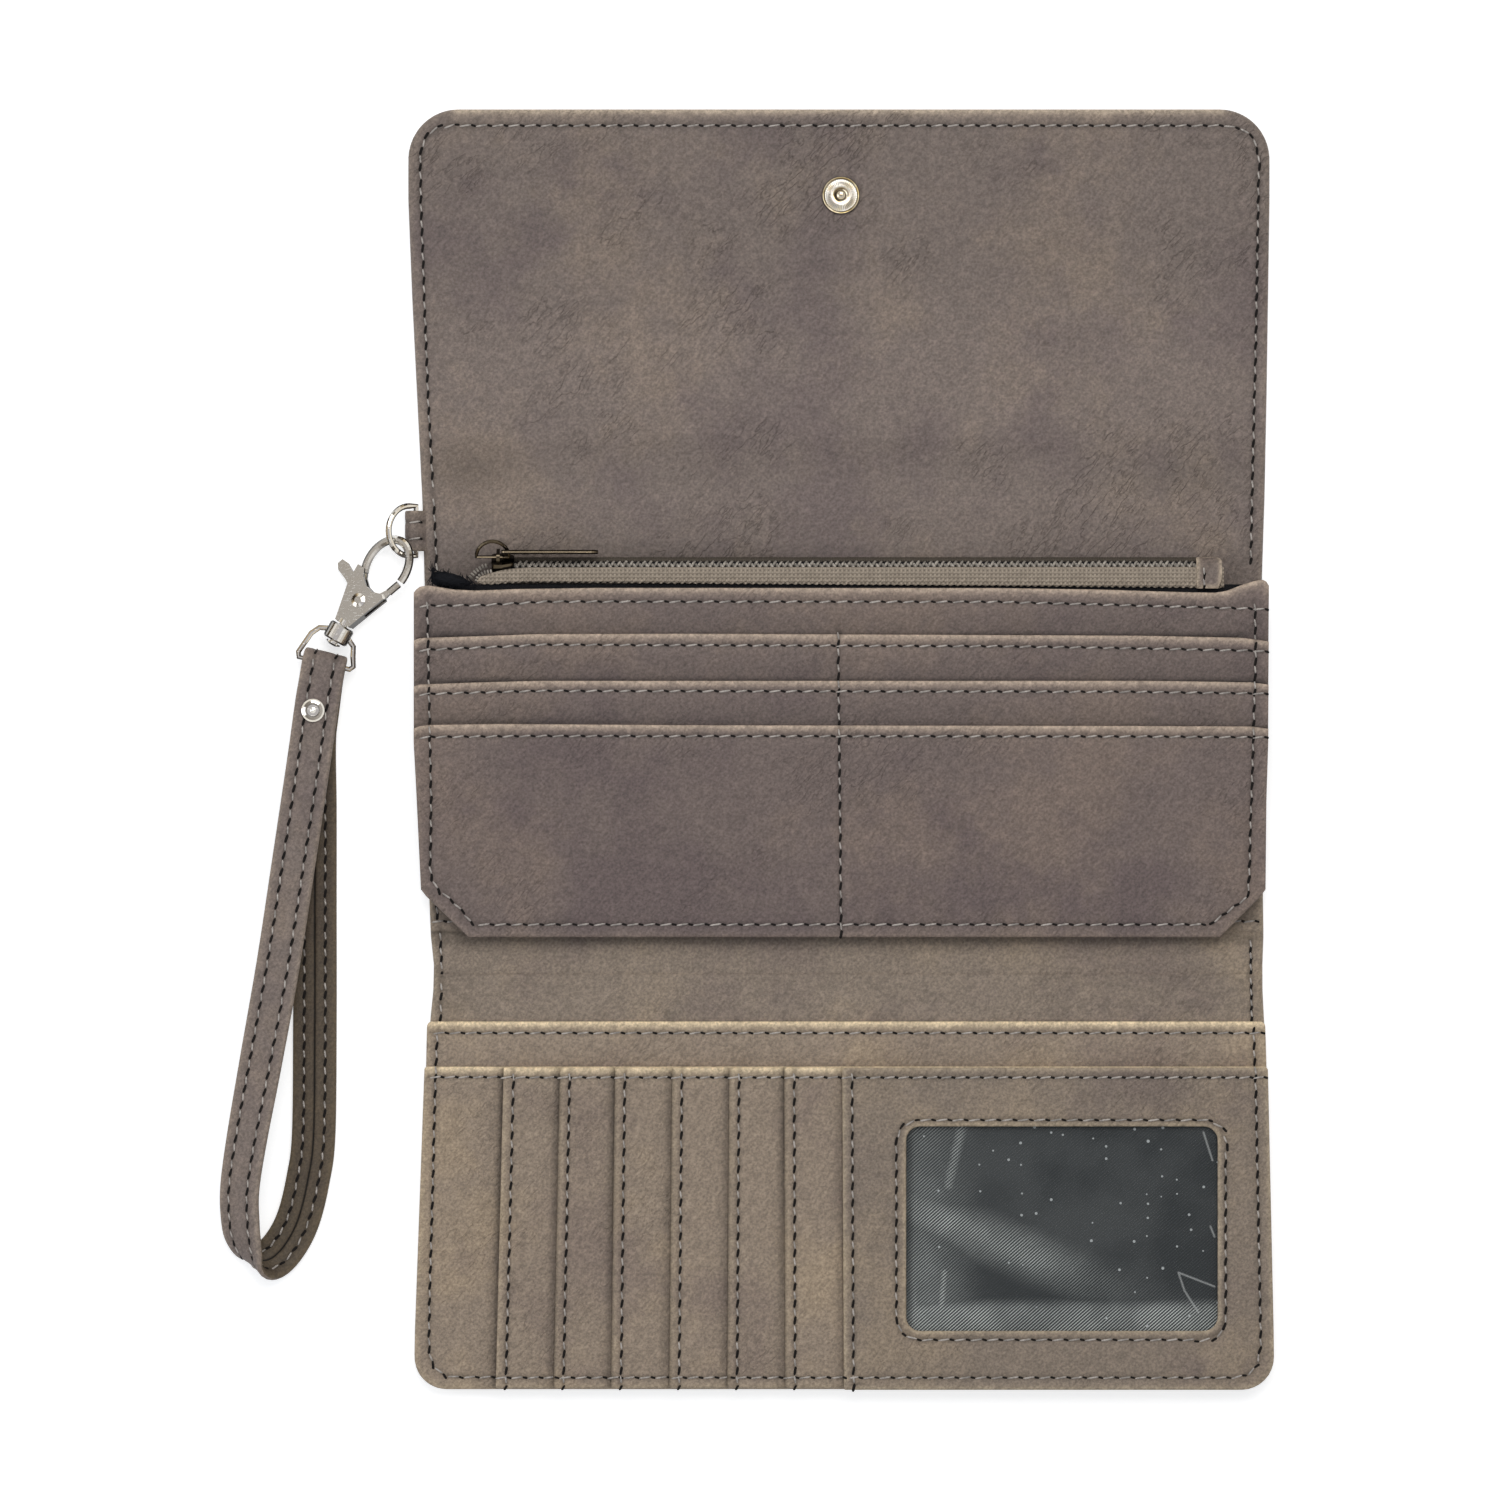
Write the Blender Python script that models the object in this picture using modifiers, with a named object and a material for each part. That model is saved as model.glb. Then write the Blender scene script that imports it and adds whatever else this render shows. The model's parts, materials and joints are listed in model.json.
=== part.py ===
"""Strap wallet, lying open and face up.

A long leather wallet with a snap flap, a zipped pocket behind a stack of card
slots, a front panel with upright card slots and an ID window, and a wrist strap
on a swivel snap hook. Metres, +Z up. The origin is on the underside of the back
panel, where the wallet rests.
"""
import math

import bmesh
import bpy
from mathutils import Matrix, Vector

# Leather, board and cloth
COVER_THICK = 0.0011
BOARD_THICK = 0.0007
LINING_THICK = 0.0008
POCKET_THICK = 0.0009
WALL_THICK = 0.0012
CLOTH_THICK = 0.0004
FILM_THICK = 0.00025
LAYER_GAP = 0.00025
LINING_INSET = 0.0003
BOARD_INSET = 0.003
EDGE_ROUND = 0.00025

# Panels between the folds, seen from above
ORIGIN_TO_LOWER_FOLD = 0.0452
BACK_HEIGHT = 0.0954
LOWER_SPINE_DEPTH = 0.0170
UPPER_SPINE_DEPTH = 0.0214
FRONT_HEIGHT = 0.0902
FLAP_HEIGHT = 0.0806
FOLD_GAP = 0.0004
BACK_HALF_WIDTH = 0.0996
BACK_FOOT_NARROWER = 0.0005
LOWER_SPINE_NARROWER = 0.0006
FRONT_FOLD_WIDER = 0.0007
FRONT_EDGE_WIDER = 0.0025
UPPER_SPINE_WIDER = 0.0002
FLAP_FOLD_WIDER = 0.0010
FLAP_EDGE_WIDER = 0.0030
FLAP_CORNER_RADIUS = 0.0120
FRONT_CORNER_RADIUS = 0.0080

# Zipped pocket and card slots on the back panel
WALL_TOP_DROP = 0.0123
WALL_RISE = 0.0074
WALL_ABOVE_FOLD = 0.0006
WALL_FOOT_WIDER = 0.0008
WALL_TOP_WIDER = 0.0019
WALL_CHAMFER = 0.0112
WALL_CORNER_RADIUS = 0.0012
CARD_SLOT_DROPS = (0.0108, 0.0220, 0.0325)
GUSSET_THICK = 0.0008
GUSSET_INSET = 0.0026
GUSSET_START = 0.0190
GUSSET_END_INSET = 0.0008
POUCH_SIDE_INSET = 0.0045
POUCH_START = 0.0150
POUCH_ABOVE_WALL = 0.0016

# Zip
ZIP_TILT = math.radians(60.0)
ZIP_BELOW_FOLD = 0.0066
ZIP_HEIGHT = 0.0069
ZIP_END_INSET = 0.0154
COIL_PITCH = 0.00148
COIL_THICK = 0.0013
COIL_SPINE_WIDTH = 0.0006
COIL_TOOTH_REACH = 0.0012
COIL_TOOTH_TAPER = 0.00012
COIL_MESH_GAP = 0.00012
TAPE_THICK = 0.0004
TAPE_LEVEL_EDGE = 0.0031
TAPE_LEFT_OVERRUN = 0.0082
TAPE_RIGHT_OVERRUN = 0.0035
TAPE_TOP_RUN = 0.0050
TAPE_FOOT_GAP = 0.0003
END_TAB_LENGTH = 0.0062
END_TAB_WIDTH = 0.0054
END_TAB_THICK = 0.0008
END_TAB_RADIUS = 0.0015

# Zip slider, its ring and its pull
SLIDER_LENGTH = 0.0054
SLIDER_WIDTH = 0.0056
SLIDER_NOSE_WIDTH = 0.0040
SLIDER_PLATE = 0.0007
SLIDER_CLEARANCE = 0.00025
SLIDER_RIM = 0.0005
SLIDER_RIM_GAP = 0.0003
SLIDER_START_INSET = 0.0165
NECK_LENGTH = 0.0009
NECK_WIDTH = 0.0006
BAIL_SPAN = 0.0030
BAIL_HEIGHT = 0.0021
BAIL_WIRE_RADIUS = 0.0004
BAIL_FROM_LEFT = 0.0016
PULL_WIRE_RADIUS = 0.00045
PULL_BAR_CLEARANCE = 0.0002
PULL_RING_LENGTH = 0.0078
PULL_RING_REACH = 0.0046
PULL_RING_PAST_BAIL = 0.0026
PULL_RING_RAISE = math.radians(38.0)
PULL_TAB_LENGTH = 0.0230
PULL_TAB_WIDTH = 0.0044
PULL_TAB_THICK = 0.0010
PULL_TAB_HOLE_RADIUS = 0.0012
PULL_TAB_HOLE_INSET = 0.0018
PULL_TAB_ROUND = 0.0002
PULL_TAB_REACH = 0.0014

# Front panel pockets and window
SLIP_POCKET_DROP = 0.0027
SLOT_BASE_DROP = 0.0136
POCKET_EDGE_INSET = 0.0003
STRIP_COUNT = 6
STRIP_PITCH = 0.0134
STRIP_TUCK = 0.0050
FIRST_STRIP_INSET = 0.0194
WINDOW_INSET = 0.0153
WINDOW_RIGHT_INSET = 0.0101
WINDOW_DROP = 0.0277
WINDOW_HEIGHT = 0.0486
WINDOW_RADIUS = 0.0033
WINDOW_LAP = 0.0028

# Snap
SNAP_FROM_FLAP_FOLD = 0.0601
SNAP_RIM_RADIUS = 0.0045
SNAP_RIM_HEIGHT = 0.0008
SNAP_DISH_HEIGHT = 0.0004
SNAP_BALL_RADIUS = 0.00145
SNAP_BALL_HEIGHT = 0.0019
SNAP_BALL_SHARES = ((0.0, 0.0), (0.7, 0.05), (1.0, 0.45), (1.0, 0.75))
SNAP_NECK_RADIUS = 0.0011
SNAP_DISH_INNER = 0.0020
SNAP_DISH_OUTER = 0.00375
SNAP_CAP_RADIUS = 0.0050
SNAP_CAP_THICK = 0.0008
SNAP_CAP_RECESS = 0.0001
SNAP_SHANK_RADIUS = 0.0008
SNAP_HOLE_CLEARANCE = 0.0003
SNAP_ENGAGE_CLEARANCE = 0.0004
SOCKET_RADIUS = 0.0048
SOCKET_HEIGHT = 0.0019
SOCKET_ROOF = 0.0004

# Ring tab and D-ring
TAB_WIDTH = 0.0098
TAB_CENTRE_ABOVE_FOLD = 0.0016
TAB_PLY = 0.0011
TAB_TONGUE_LENGTH = 0.0055
TAB_TONGUE_WIDTH = 0.0058
TAB_OUTSTAND = 0.0014
TAB_MOUTH_ANGLE = math.radians(70.0)
RING_WIRE_RADIUS = 0.00072
RING_RADIUS = 0.00595
RING_STRAIGHT = 0.00185
RING_TILT = math.radians(35.0)
RING_BAR_HEIGHT = 0.0023
RING_CLEARANCE = 0.00025

# Snap hook, in its own frame: x across, y towards the eye, z its thickness
HOOK_FROM_RING = (-0.01835, -0.02439, 0.00190)
HOOK_YAW = math.radians(-29.7)
HOOK_ROLL = math.radians(18.0)
HOOK_LENGTH = 0.0270
EYE_STOCK_RADIUS = 0.00105
EYE_CENTRE_SHARES = (0.085, 0.7185)
EYE_HALF_WIDTH = 0.0050
EYE_HALF_LENGTH = 0.0070
EYE_FIRST_ANGLE = math.radians(-12.0)
EYE_LAST_ANGLE = math.radians(213.0)
CHEEK_THICK = 0.0034
CHEEK_ROUND = 0.0004
CHEEK_OUTLINE_SHARES = (
    (-0.074, 0.094), (-0.098, 0.220), (-0.142, 0.440), (-0.142, 0.615), (-0.070, 0.612),
    (-0.040, 0.545), (0.022, 0.487), (0.105, 0.465), (0.190, 0.490), (0.225, 0.455),
    (0.165, 0.315), (0.074, 0.094),
)
LEVER_SLOT = 0.0016
LEVER_SLOT_START_SHARE = 0.245
LEVER_SLOT_END_SHARE = 0.578
RIVET_SHARES = (0.0285, 0.3405)
RIVET_RADIUS = 0.0007
RIVET_HEAD_RADIUS = 0.0017
RIVET_HEAD_HEIGHT = 0.00035
RIVET_HEAD_FLAT_SHARE = 0.5
RIVET_CLEARANCE = 0.00008
LEVER_THICK = 0.0009
LEVER_OUTLINE_SHARES = (
    (-0.305, 0.585), (-0.325, 0.535), (-0.290, 0.485), (-0.190, 0.445), (-0.095, 0.385),
    (-0.035, 0.315), (0.020, 0.275), (0.085, 0.300), (0.150, 0.365), (0.232, 0.480),
    (0.246, 0.545), (0.205, 0.550), (0.150, 0.470), (0.090, 0.425), (0.035, 0.405),
    (-0.060, 0.470), (-0.150, 0.530), (-0.240, 0.580),
)
GATE_FINGER_SHARES = ((0.220, 0.532), (0.240, 0.585), (0.262, 0.640))
GATE_FINGER_RADIUS = 0.00092
SPRING_WIRE_RADIUS = 0.00014
SPRING_COIL_RADIUS = 0.0011
SPRING_LEG = 0.0016
SPRING_FIRST_ANGLE = math.radians(40.0)
SPRING_WRAP = math.radians(250.0)
STEM_RADIUS = 0.00100
STEM_CLEARANCE = 0.00008
NECK_RADIUS = 0.0019
NECK_END_SHARE = 0.130
BARREL_RADIUS = 0.0031
BARREL_LENGTH = 0.0042
BARREL_GAP = 0.0003
PEEN_RADIUS = 0.0018
PEEN_THICK = 0.0008

# Swivel loop and wrist strap
LOOP_WIRE_RADIUS = 0.00065
LOOP_BAR_DROP = 0.0079
LOOP_BAR_HALF = 0.0062
LOOP_SKEW = math.radians(15.7)
LOOP_BULGE = 0.0022
LOOP_CORNER_LEAN = -0.0007
LOOP_BAR_SHIFT = 0.0005
STRAP_WIDTH = 0.0104
STRAP_THICK = 0.0019
STRAP_BAR_CLEARANCE = 0.0003
STRAP_DROP = 0.1440
STRAP_LIFT = 0.0076
STRAP_POINTS_PER_STATION = 4
STRAP_WRAP_STEPS = 10
STRAP_TAIL_SHARES = (
    (-0.0180, -0.108, 0.500, -9.0, 0.0),
    (-0.0130, -0.078, 0.500, -9.0, 0.0),
    (-0.0050, -0.030, 0.420, -14.0, 0.0),
)
STRAP_ROUTE_SHARES = (
    (-0.0050, -0.030, 0.803, -14.0, 0.0),
    (-0.0095, -0.055, 0.790, -11.0, 0.0),
    (-0.0130, -0.078, 0.789, -9.0, 0.0),
    (-0.0235, -0.154, 0.789, -9.0, 0.0),
    (-0.0470, -0.312, 0.820, -9.0, 2.0),
    (-0.0745, -0.494, 0.900, -9.0, 5.0),
    (-0.1035, -0.658, 0.965, -9.0, 12.0),
    (-0.1265, -0.785, 1.000, -7.0, 22.0),
    (-0.1380, -0.866, 1.010, -2.0, 27.0),
    (-0.1375, -0.918, 0.985, 2.0, 30.0),
    (-0.1320, -0.954, 0.900, -8.0, 36.0),
    (-0.1165, -0.989, 0.640, -36.0, 43.0),
    (-0.0890, -0.986, 0.350, -62.0, 16.0),
    (-0.0640, -0.960, 0.210, -50.0, 3.0),
    (-0.0430, -0.918, 0.158, -30.0, 0.0),
    (-0.0275, -0.855, 0.144, -14.0, 0.0),
    (-0.0180, -0.780, 0.144, -5.0, 0.0),
    (-0.0160, -0.600, 0.144, 0.0, 0.0),
    (-0.0160, -0.400, 0.144, 0.0, 0.0),
    (-0.0160, -0.240, 0.150, -3.0, 0.0),
    (-0.0165, -0.130, 0.210, -6.0, 0.0),
    (-0.0165, -0.056, 0.210, -9.0, 0.0),
)
STRAP_RIVET_SHARES = (-0.0175, -0.078)
STRAP_RIVET_RADIUS = 0.00275
STRAP_RIVET_HEIGHT = 0.0009
STRAP_RIVET_INNER_RADIUS = 0.0014
STRAP_RIVET_INNER_HEIGHT = 0.0004
STRAP_RIVET_SHANK = 0.0009
STRAP_RIVET_HOLE_CLEARANCE = 0.0002
STRAP_RIVET_GAP = 0.0001
STRAP_WASHER_RADIUS = 0.0024
STRAP_WASHER_THICK = 0.0004

CUT_OVERRUN = 0.0010
MERGE_DISTANCE = 1e-7
TURN_MERGE_DISTANCE = 1e-6
SOFT_EDGE_ANGLE = math.radians(50.0)
SMOOTH_ANGLE = math.radians(40.0)
ROUND_SIDES = 32
WIRE_SIDES_RESOLUTION = 3
ARC_STEPS = 5
PULL_RING_STEPS = 15
RING_STEPS = 20
EYE_STEPS = 30

# Heights that follow from the layers
BOARD_LEVEL = COVER_THICK + LAYER_GAP
LINING_LEVEL = BOARD_LEVEL + BOARD_THICK + LAYER_GAP
STACK_TOP = LINING_LEVEL + LINING_THICK
FIRST_POCKET_LEVEL = STACK_TOP + LAYER_GAP
SLOT_BASE_LEVEL = FIRST_POCKET_LEVEL + POCKET_THICK + LAYER_GAP
STRIP_LEVEL = SLOT_BASE_LEVEL + POCKET_THICK + LAYER_GAP
STRIP_WIDTH = STRIP_PITCH + STRIP_TUCK
STRIP_RISE = (POCKET_THICK + LAYER_GAP) * STRIP_WIDTH / STRIP_PITCH
ID_PANEL_LEVEL = STRIP_LEVEL + STRIP_RISE

# Half widths of the panels
BACK_HALF_WIDTH_LOW = BACK_HALF_WIDTH - BACK_FOOT_NARROWER
LOWER_SPINE_HALF_WIDTH = BACK_HALF_WIDTH - LOWER_SPINE_NARROWER
FRONT_HALF_WIDTH_AT_FOLD = BACK_HALF_WIDTH + FRONT_FOLD_WIDER
FRONT_HALF_WIDTH_AT_EDGE = BACK_HALF_WIDTH + FRONT_EDGE_WIDER
UPPER_SPINE_HALF_WIDTH = BACK_HALF_WIDTH + UPPER_SPINE_WIDER
FLAP_HALF_WIDTH_AT_FOLD = BACK_HALF_WIDTH + FLAP_FOLD_WIDER
FLAP_HALF_WIDTH_AT_EDGE = BACK_HALF_WIDTH + FLAP_EDGE_WIDER
WALL_HALF_WIDTH_LOW = BACK_HALF_WIDTH + WALL_FOOT_WIDER
WALL_HALF_WIDTH_HIGH = BACK_HALF_WIDTH + WALL_TOP_WIDER
ZIP_RIGHT = BACK_HALF_WIDTH - ZIP_END_INSET
SLIDER_START = SLIDER_START_INSET - BACK_HALF_WIDTH
FIRST_STRIP_LEFT = FIRST_STRIP_INSET - BACK_HALF_WIDTH
ID_PANEL_LEFT = FIRST_STRIP_LEFT + STRIP_COUNT * STRIP_PITCH
WINDOW_LEFT = ID_PANEL_LEFT + WINDOW_INSET
WINDOW_RIGHT = BACK_HALF_WIDTH - WINDOW_RIGHT_INSET

# Lines across the wallet, from the lowest to the highest in the view from above
LOWER_FOLD = -ORIGIN_TO_LOWER_FOLD
FRONT_FOLD = LOWER_FOLD - LOWER_SPINE_DEPTH
FRONT_EDGE = FRONT_FOLD - FRONT_HEIGHT
UPPER_FOLD = LOWER_FOLD + BACK_HEIGHT
FLAP_FOLD = UPPER_FOLD + UPPER_SPINE_DEPTH
FLAP_EDGE = FLAP_FOLD + FLAP_HEIGHT
WALL_FOOT = LOWER_FOLD + WALL_ABOVE_FOLD
WALL_HEIGHT = BACK_HEIGHT - WALL_ABOVE_FOLD - WALL_TOP_DROP
WALL_TILT = math.asin(WALL_RISE / WALL_HEIGHT)
ZIP_LINE = UPPER_FOLD - ZIP_BELOW_FOLD
SNAP_LINE = FLAP_FOLD + SNAP_FROM_FLAP_FOLD
SOCKET_LINE = FRONT_FOLD - (BACK_HEIGHT - SNAP_FROM_FLAP_FOLD)

# The zip's directions: across its chain towards the wall, and out of its face
ZIP_RISE = Vector((0.0, -math.cos(ZIP_TILT), math.sin(ZIP_TILT)))
ZIP_AWAY = Vector((0.0, math.sin(ZIP_TILT), math.cos(ZIP_TILT)))

# Turns
HALF_TURN = math.pi
QUARTER_TURN = math.pi / 2.0
FULL_TURN = math.tau


def clear_scene():
    """Start from an empty scene."""
    for thing in list(bpy.data.objects):
        bpy.data.objects.remove(thing, do_unlink=True)


def make_collection(name):
    """A collection linked to the scene."""
    group = bpy.data.collections.new(name)
    bpy.context.scene.collection.children.link(group)
    return group


def make_material(name, color, roughness, metallic=0.0, alpha=1.0):
    """A Principled material."""
    material = bpy.data.materials.new(name)
    material.use_nodes = True
    shader = material.node_tree.nodes["Principled BSDF"]
    shader.inputs["Base Color"].default_value = (*color, 1.0)
    shader.inputs["Roughness"].default_value = roughness
    shader.inputs["Metallic"].default_value = metallic
    shader.inputs["Alpha"].default_value = alpha
    return material


clear_scene()
PARTS = make_collection("strap_wallet")
CUTTERS = make_collection("cutters")
BODY_LEATHER = make_material("body_leather", (0.200, 0.165, 0.135), 0.60)
LINING_LEATHER = make_material("lining_leather", (0.235, 0.190, 0.150), 0.62)
STRAP_LEATHER = make_material("strap_leather", (0.190, 0.155, 0.130), 0.58)
BOARD = make_material("board", (0.300, 0.240, 0.180), 0.90)
BLACK_CLOTH = make_material("black_cloth", (0.012, 0.013, 0.014), 0.75)
TAPE_CLOTH = make_material("tape_cloth", (0.230, 0.200, 0.150), 0.85)
COIL_PLASTIC = make_material("coil_plastic", (0.300, 0.270, 0.220), 0.45)
CLEAR_FILM = make_material("clear_film", (0.600, 0.620, 0.630), 0.12, alpha=0.25)
NICKEL = make_material("nickel", (0.780, 0.720, 0.600), 0.14, metallic=1.0)
GUNMETAL = make_material("gunmetal", (0.160, 0.130, 0.085), 0.35, metallic=1.0)
SPRING_STEEL = make_material("spring_steel", (0.500, 0.500, 0.500), 0.30, metallic=1.0)


def moved(x=0.0, y=0.0, z=0.0):
    """A shift as a matrix."""
    return Matrix.Translation(Vector((x, y, z)))


def turned_about(axis, angle):
    """A turn about a frame axis, as a matrix."""
    return Matrix.Rotation(angle, 4, axis)


def rounded(corners, radii):
    """A closed outline whose corners are arcs of the given radii."""
    outline = []
    count = len(corners)
    for index, corner in enumerate(corners):
        here = Vector(corner)
        radius = radii[index]
        if radius <= 0.0:
            outline.append(tuple(here))
            continue
        back = (Vector(corners[index - 1]) - here).normalized()
        ahead = (Vector(corners[(index + 1) % count]) - here).normalized()
        half_angle = back.angle(ahead) / 2.0
        centre = here + (back + ahead).normalized() * (radius / math.sin(half_angle))
        tangent = radius / math.tan(half_angle)
        start = here + back * tangent - centre
        end = here + ahead * tangent - centre
        sweep = start.angle_signed(end)
        for step in range(ARC_STEPS + 1):
            turn = Matrix.Rotation(-sweep * step / ARC_STEPS, 2)
            outline.append(tuple(centre + turn @ start))
    return outline


def circle_outline(radius, centre=(0.0, 0.0), sides=ROUND_SIDES):
    """A circle as a closed outline."""
    return [
        (centre[0] + radius * math.cos(FULL_TURN * k / sides),
         centre[1] + radius * math.sin(FULL_TURN * k / sides))
        for k in range(sides)
    ]


def scaled_outline(shares, size):
    """An outline given in shares of one size."""
    return [(x * size, y * size) for x, y in shares]


def mesh_from_curve(curve_object, name):
    """Turn a curve into a closed mesh object in the same place, and drop the curve."""
    bpy.context.view_layer.update()
    depsgraph = bpy.context.evaluated_depsgraph_get()
    mesh = bpy.data.meshes.new_from_object(curve_object.evaluated_get(depsgraph))
    mesh.name = name
    shell = bmesh.new()
    shell.from_mesh(mesh)
    bmesh.ops.remove_doubles(shell, verts=shell.verts, dist=MERGE_DISTANCE)
    bmesh.ops.recalc_face_normals(shell, faces=shell.faces)
    shell.to_mesh(mesh)
    shell.free()
    solid = bpy.data.objects.new(name, mesh)
    solid.matrix_world = curve_object.matrix_world
    data = curve_object.data
    bpy.data.objects.remove(curve_object, do_unlink=True)
    bpy.data.curves.remove(data)
    return solid


def place(solid, material, matrix=None, group=None):
    """Put an object in its collection, at its place, with its material."""
    (group or PARTS).objects.link(solid)
    if matrix is not None:
        solid.matrix_world = matrix
    solid.data.materials.clear()
    solid.data.materials.append(material)
    return solid


def as_cutter(solid, matrix=None):
    """Keep an object as a hidden Boolean tool."""
    place(solid, BOARD, matrix, CUTTERS)
    solid.hide_render = True
    solid.display_type = "WIRE"
    return solid


def plate(name, outline, thickness, holes=()):
    """A flat piece: an outline with holes, from z 0 up to its thickness."""
    curve = bpy.data.curves.new(name, "CURVE")
    curve.dimensions = "2D"
    curve.fill_mode = "BOTH"
    curve.extrude = thickness / 2.0
    for loop in (outline, *holes):
        spline = curve.splines.new("POLY")
        spline.points.add(len(loop) - 1)
        for point, (x, y) in zip(spline.points, loop):
            point.co = (x, y, 0.0, 1.0)
        spline.use_cyclic_u = True
    holder = bpy.data.objects.new(name + "_outline", curve)
    bpy.context.scene.collection.objects.link(holder)
    solid = mesh_from_curve(holder, name)
    solid.data.transform(moved(z=thickness / 2.0))
    return solid


def wire(name, points, radius, closed=False, resolution=WIRE_SIDES_RESOLUTION):
    """A round wire along points."""
    curve = bpy.data.curves.new(name, "CURVE")
    curve.dimensions = "3D"
    curve.bevel_depth = radius
    curve.bevel_resolution = resolution
    curve.use_fill_caps = not closed
    spline = curve.splines.new("POLY")
    spline.points.add(len(points) - 1)
    for point, place_of in zip(spline.points, points):
        point.co = (*place_of, 1.0)
    spline.use_cyclic_u = closed
    holder = bpy.data.objects.new(name + "_path", curve)
    bpy.context.scene.collection.objects.link(holder)
    return mesh_from_curve(holder, name)


def turned(name, profile, sides=ROUND_SIDES):
    """A turned piece about z: a profile of radius and height, top to bottom."""
    mesh = bpy.data.meshes.new(name)
    edges = [(k, k + 1) for k in range(len(profile) - 1)]
    mesh.from_pydata([(radius, 0.0, height) for radius, height in profile], edges, [])
    solid = bpy.data.objects.new(name, mesh)
    screw = solid.modifiers.new("turn", "SCREW")
    screw.axis = "Z"
    screw.steps = sides
    screw.render_steps = sides
    screw.use_merge_vertices = True
    screw.merge_threshold = TURN_MERGE_DISTANCE
    return solid


def cylinder_profile(radius, low, high):
    """A plain cylinder as a turned profile."""
    return [(0.0, high), (radius, high), (radius, low), (0.0, low)]


def box_mesh(name, low, high):
    """A block between two corners."""
    shell = bmesh.new()
    bmesh.ops.create_cube(shell, size=1.0)
    size = Vector(high) - Vector(low)
    centre = (Vector(high) + Vector(low)) / 2.0
    stretch = Matrix.Diagonal((*size, 1.0))
    bmesh.ops.transform(shell, matrix=Matrix.Translation(centre) @ stretch, verts=shell.verts)
    mesh = bpy.data.meshes.new(name)
    shell.to_mesh(mesh)
    shell.free()
    return bpy.data.objects.new(name, mesh)


def round_edges(solid, width=EDGE_ROUND, segments=1):
    """Soften the sharp edges of a piece."""
    bevel = solid.modifiers.new("soft_edges", "BEVEL")
    bevel.width = width
    bevel.segments = segments
    bevel.limit_method = "ANGLE"
    bevel.angle_limit = SOFT_EDGE_ANGLE
    bevel.use_clamp_overlap = True


def combine(solid, tool, operation):
    """Join or cut a piece with another that is kept as a hidden tool."""
    modifier = solid.modifiers.new(operation.lower(), "BOOLEAN")
    modifier.operation = operation
    modifier.object = tool
    modifier.solver = "EXACT"


def shade_round(solid):
    """Smooth shading that keeps sharp edges."""
    solid.data.shade_smooth()
    solid.data.set_sharp_from_angle(angle=SMOOTH_ANGLE)
    return solid


def pivot(name, position, pieces):
    """An empty on a joint's axis that carries the pieces of one moving body."""
    empty = bpy.data.objects.new(name, None)
    empty.location = position
    PARTS.objects.link(empty)
    bpy.context.view_layer.update()
    for piece in pieces:
        piece.parent = empty
        piece.matrix_parent_inverse = empty.matrix_world.inverted()
    return empty


def strip_outline(low_half, low, high_half, high, low_radius=0.0, high_radius=0.0):
    """A straight-sided panel between two lines across the wallet."""
    corners = [(-low_half, low), (low_half, low), (high_half, high), (-high_half, high)]
    return rounded(corners, [low_radius, low_radius, high_radius, high_radius])


def front_half_width(line):
    """Half the front panel's width at a line across it."""
    share = (FRONT_FOLD - line) / FRONT_HEIGHT
    growth = FRONT_HALF_WIDTH_AT_EDGE - FRONT_HALF_WIDTH_AT_FOLD
    return FRONT_HALF_WIDTH_AT_FOLD + growth * share


def wall_half_width(up):
    """Half the pocket wall's width at a distance up from its foot."""
    growth = WALL_HALF_WIDTH_HIGH - WALL_HALF_WIDTH_LOW
    return WALL_HALF_WIDTH_LOW + growth * up / WALL_HEIGHT


def wall_underside(line):
    """Height of the pocket wall's underside at a line across the wallet."""
    return FIRST_POCKET_LEVEL + (line - WALL_FOOT) * math.tan(WALL_TILT)


def snap_hole(radius, line):
    """A round hole for the snap's metal."""
    return circle_outline(radius + SNAP_HOLE_CLEARANCE, (0.0, line))


def leather(name, outline, thickness, level, material, holes=()):
    """A leather layer at its height above the table."""
    piece = place(plate(name, outline, thickness, holes), material, moved(z=level))
    round_edges(piece)
    return piece


def pierce(piece, hole, thickness, level):
    """Cut a hole through a finished layer."""
    tool = plate(piece.name + "_hole", hole, thickness + 2.0 * CUT_OVERRUN)
    combine(piece, as_cutter(tool, moved(z=level - CUT_OVERRUN)), "DIFFERENCE")
    return piece


def build_back_panel():
    """The outer cover, its board and the lining behind the pockets."""
    low = LOWER_FOLD + FOLD_GAP / 2.0
    high = UPPER_FOLD - FOLD_GAP / 2.0
    cover = strip_outline(BACK_HALF_WIDTH_LOW, low, BACK_HALF_WIDTH, high)
    board = strip_outline(
        BACK_HALF_WIDTH_LOW - BOARD_INSET, low + BOARD_INSET,
        BACK_HALF_WIDTH - BOARD_INSET, high - BOARD_INSET,
    )
    lining = strip_outline(
        BACK_HALF_WIDTH_LOW - LINING_INSET, low, BACK_HALF_WIDTH - LINING_INSET, high
    )
    return [
        leather("back_cover", cover, COVER_THICK, 0.0, BODY_LEATHER),
        place(plate("back_stiffener", board, BOARD_THICK), BOARD, moved(z=BOARD_LEVEL)),
        leather("back_lining", lining, LINING_THICK, LINING_LEVEL, LINING_LEATHER),
    ]


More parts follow.
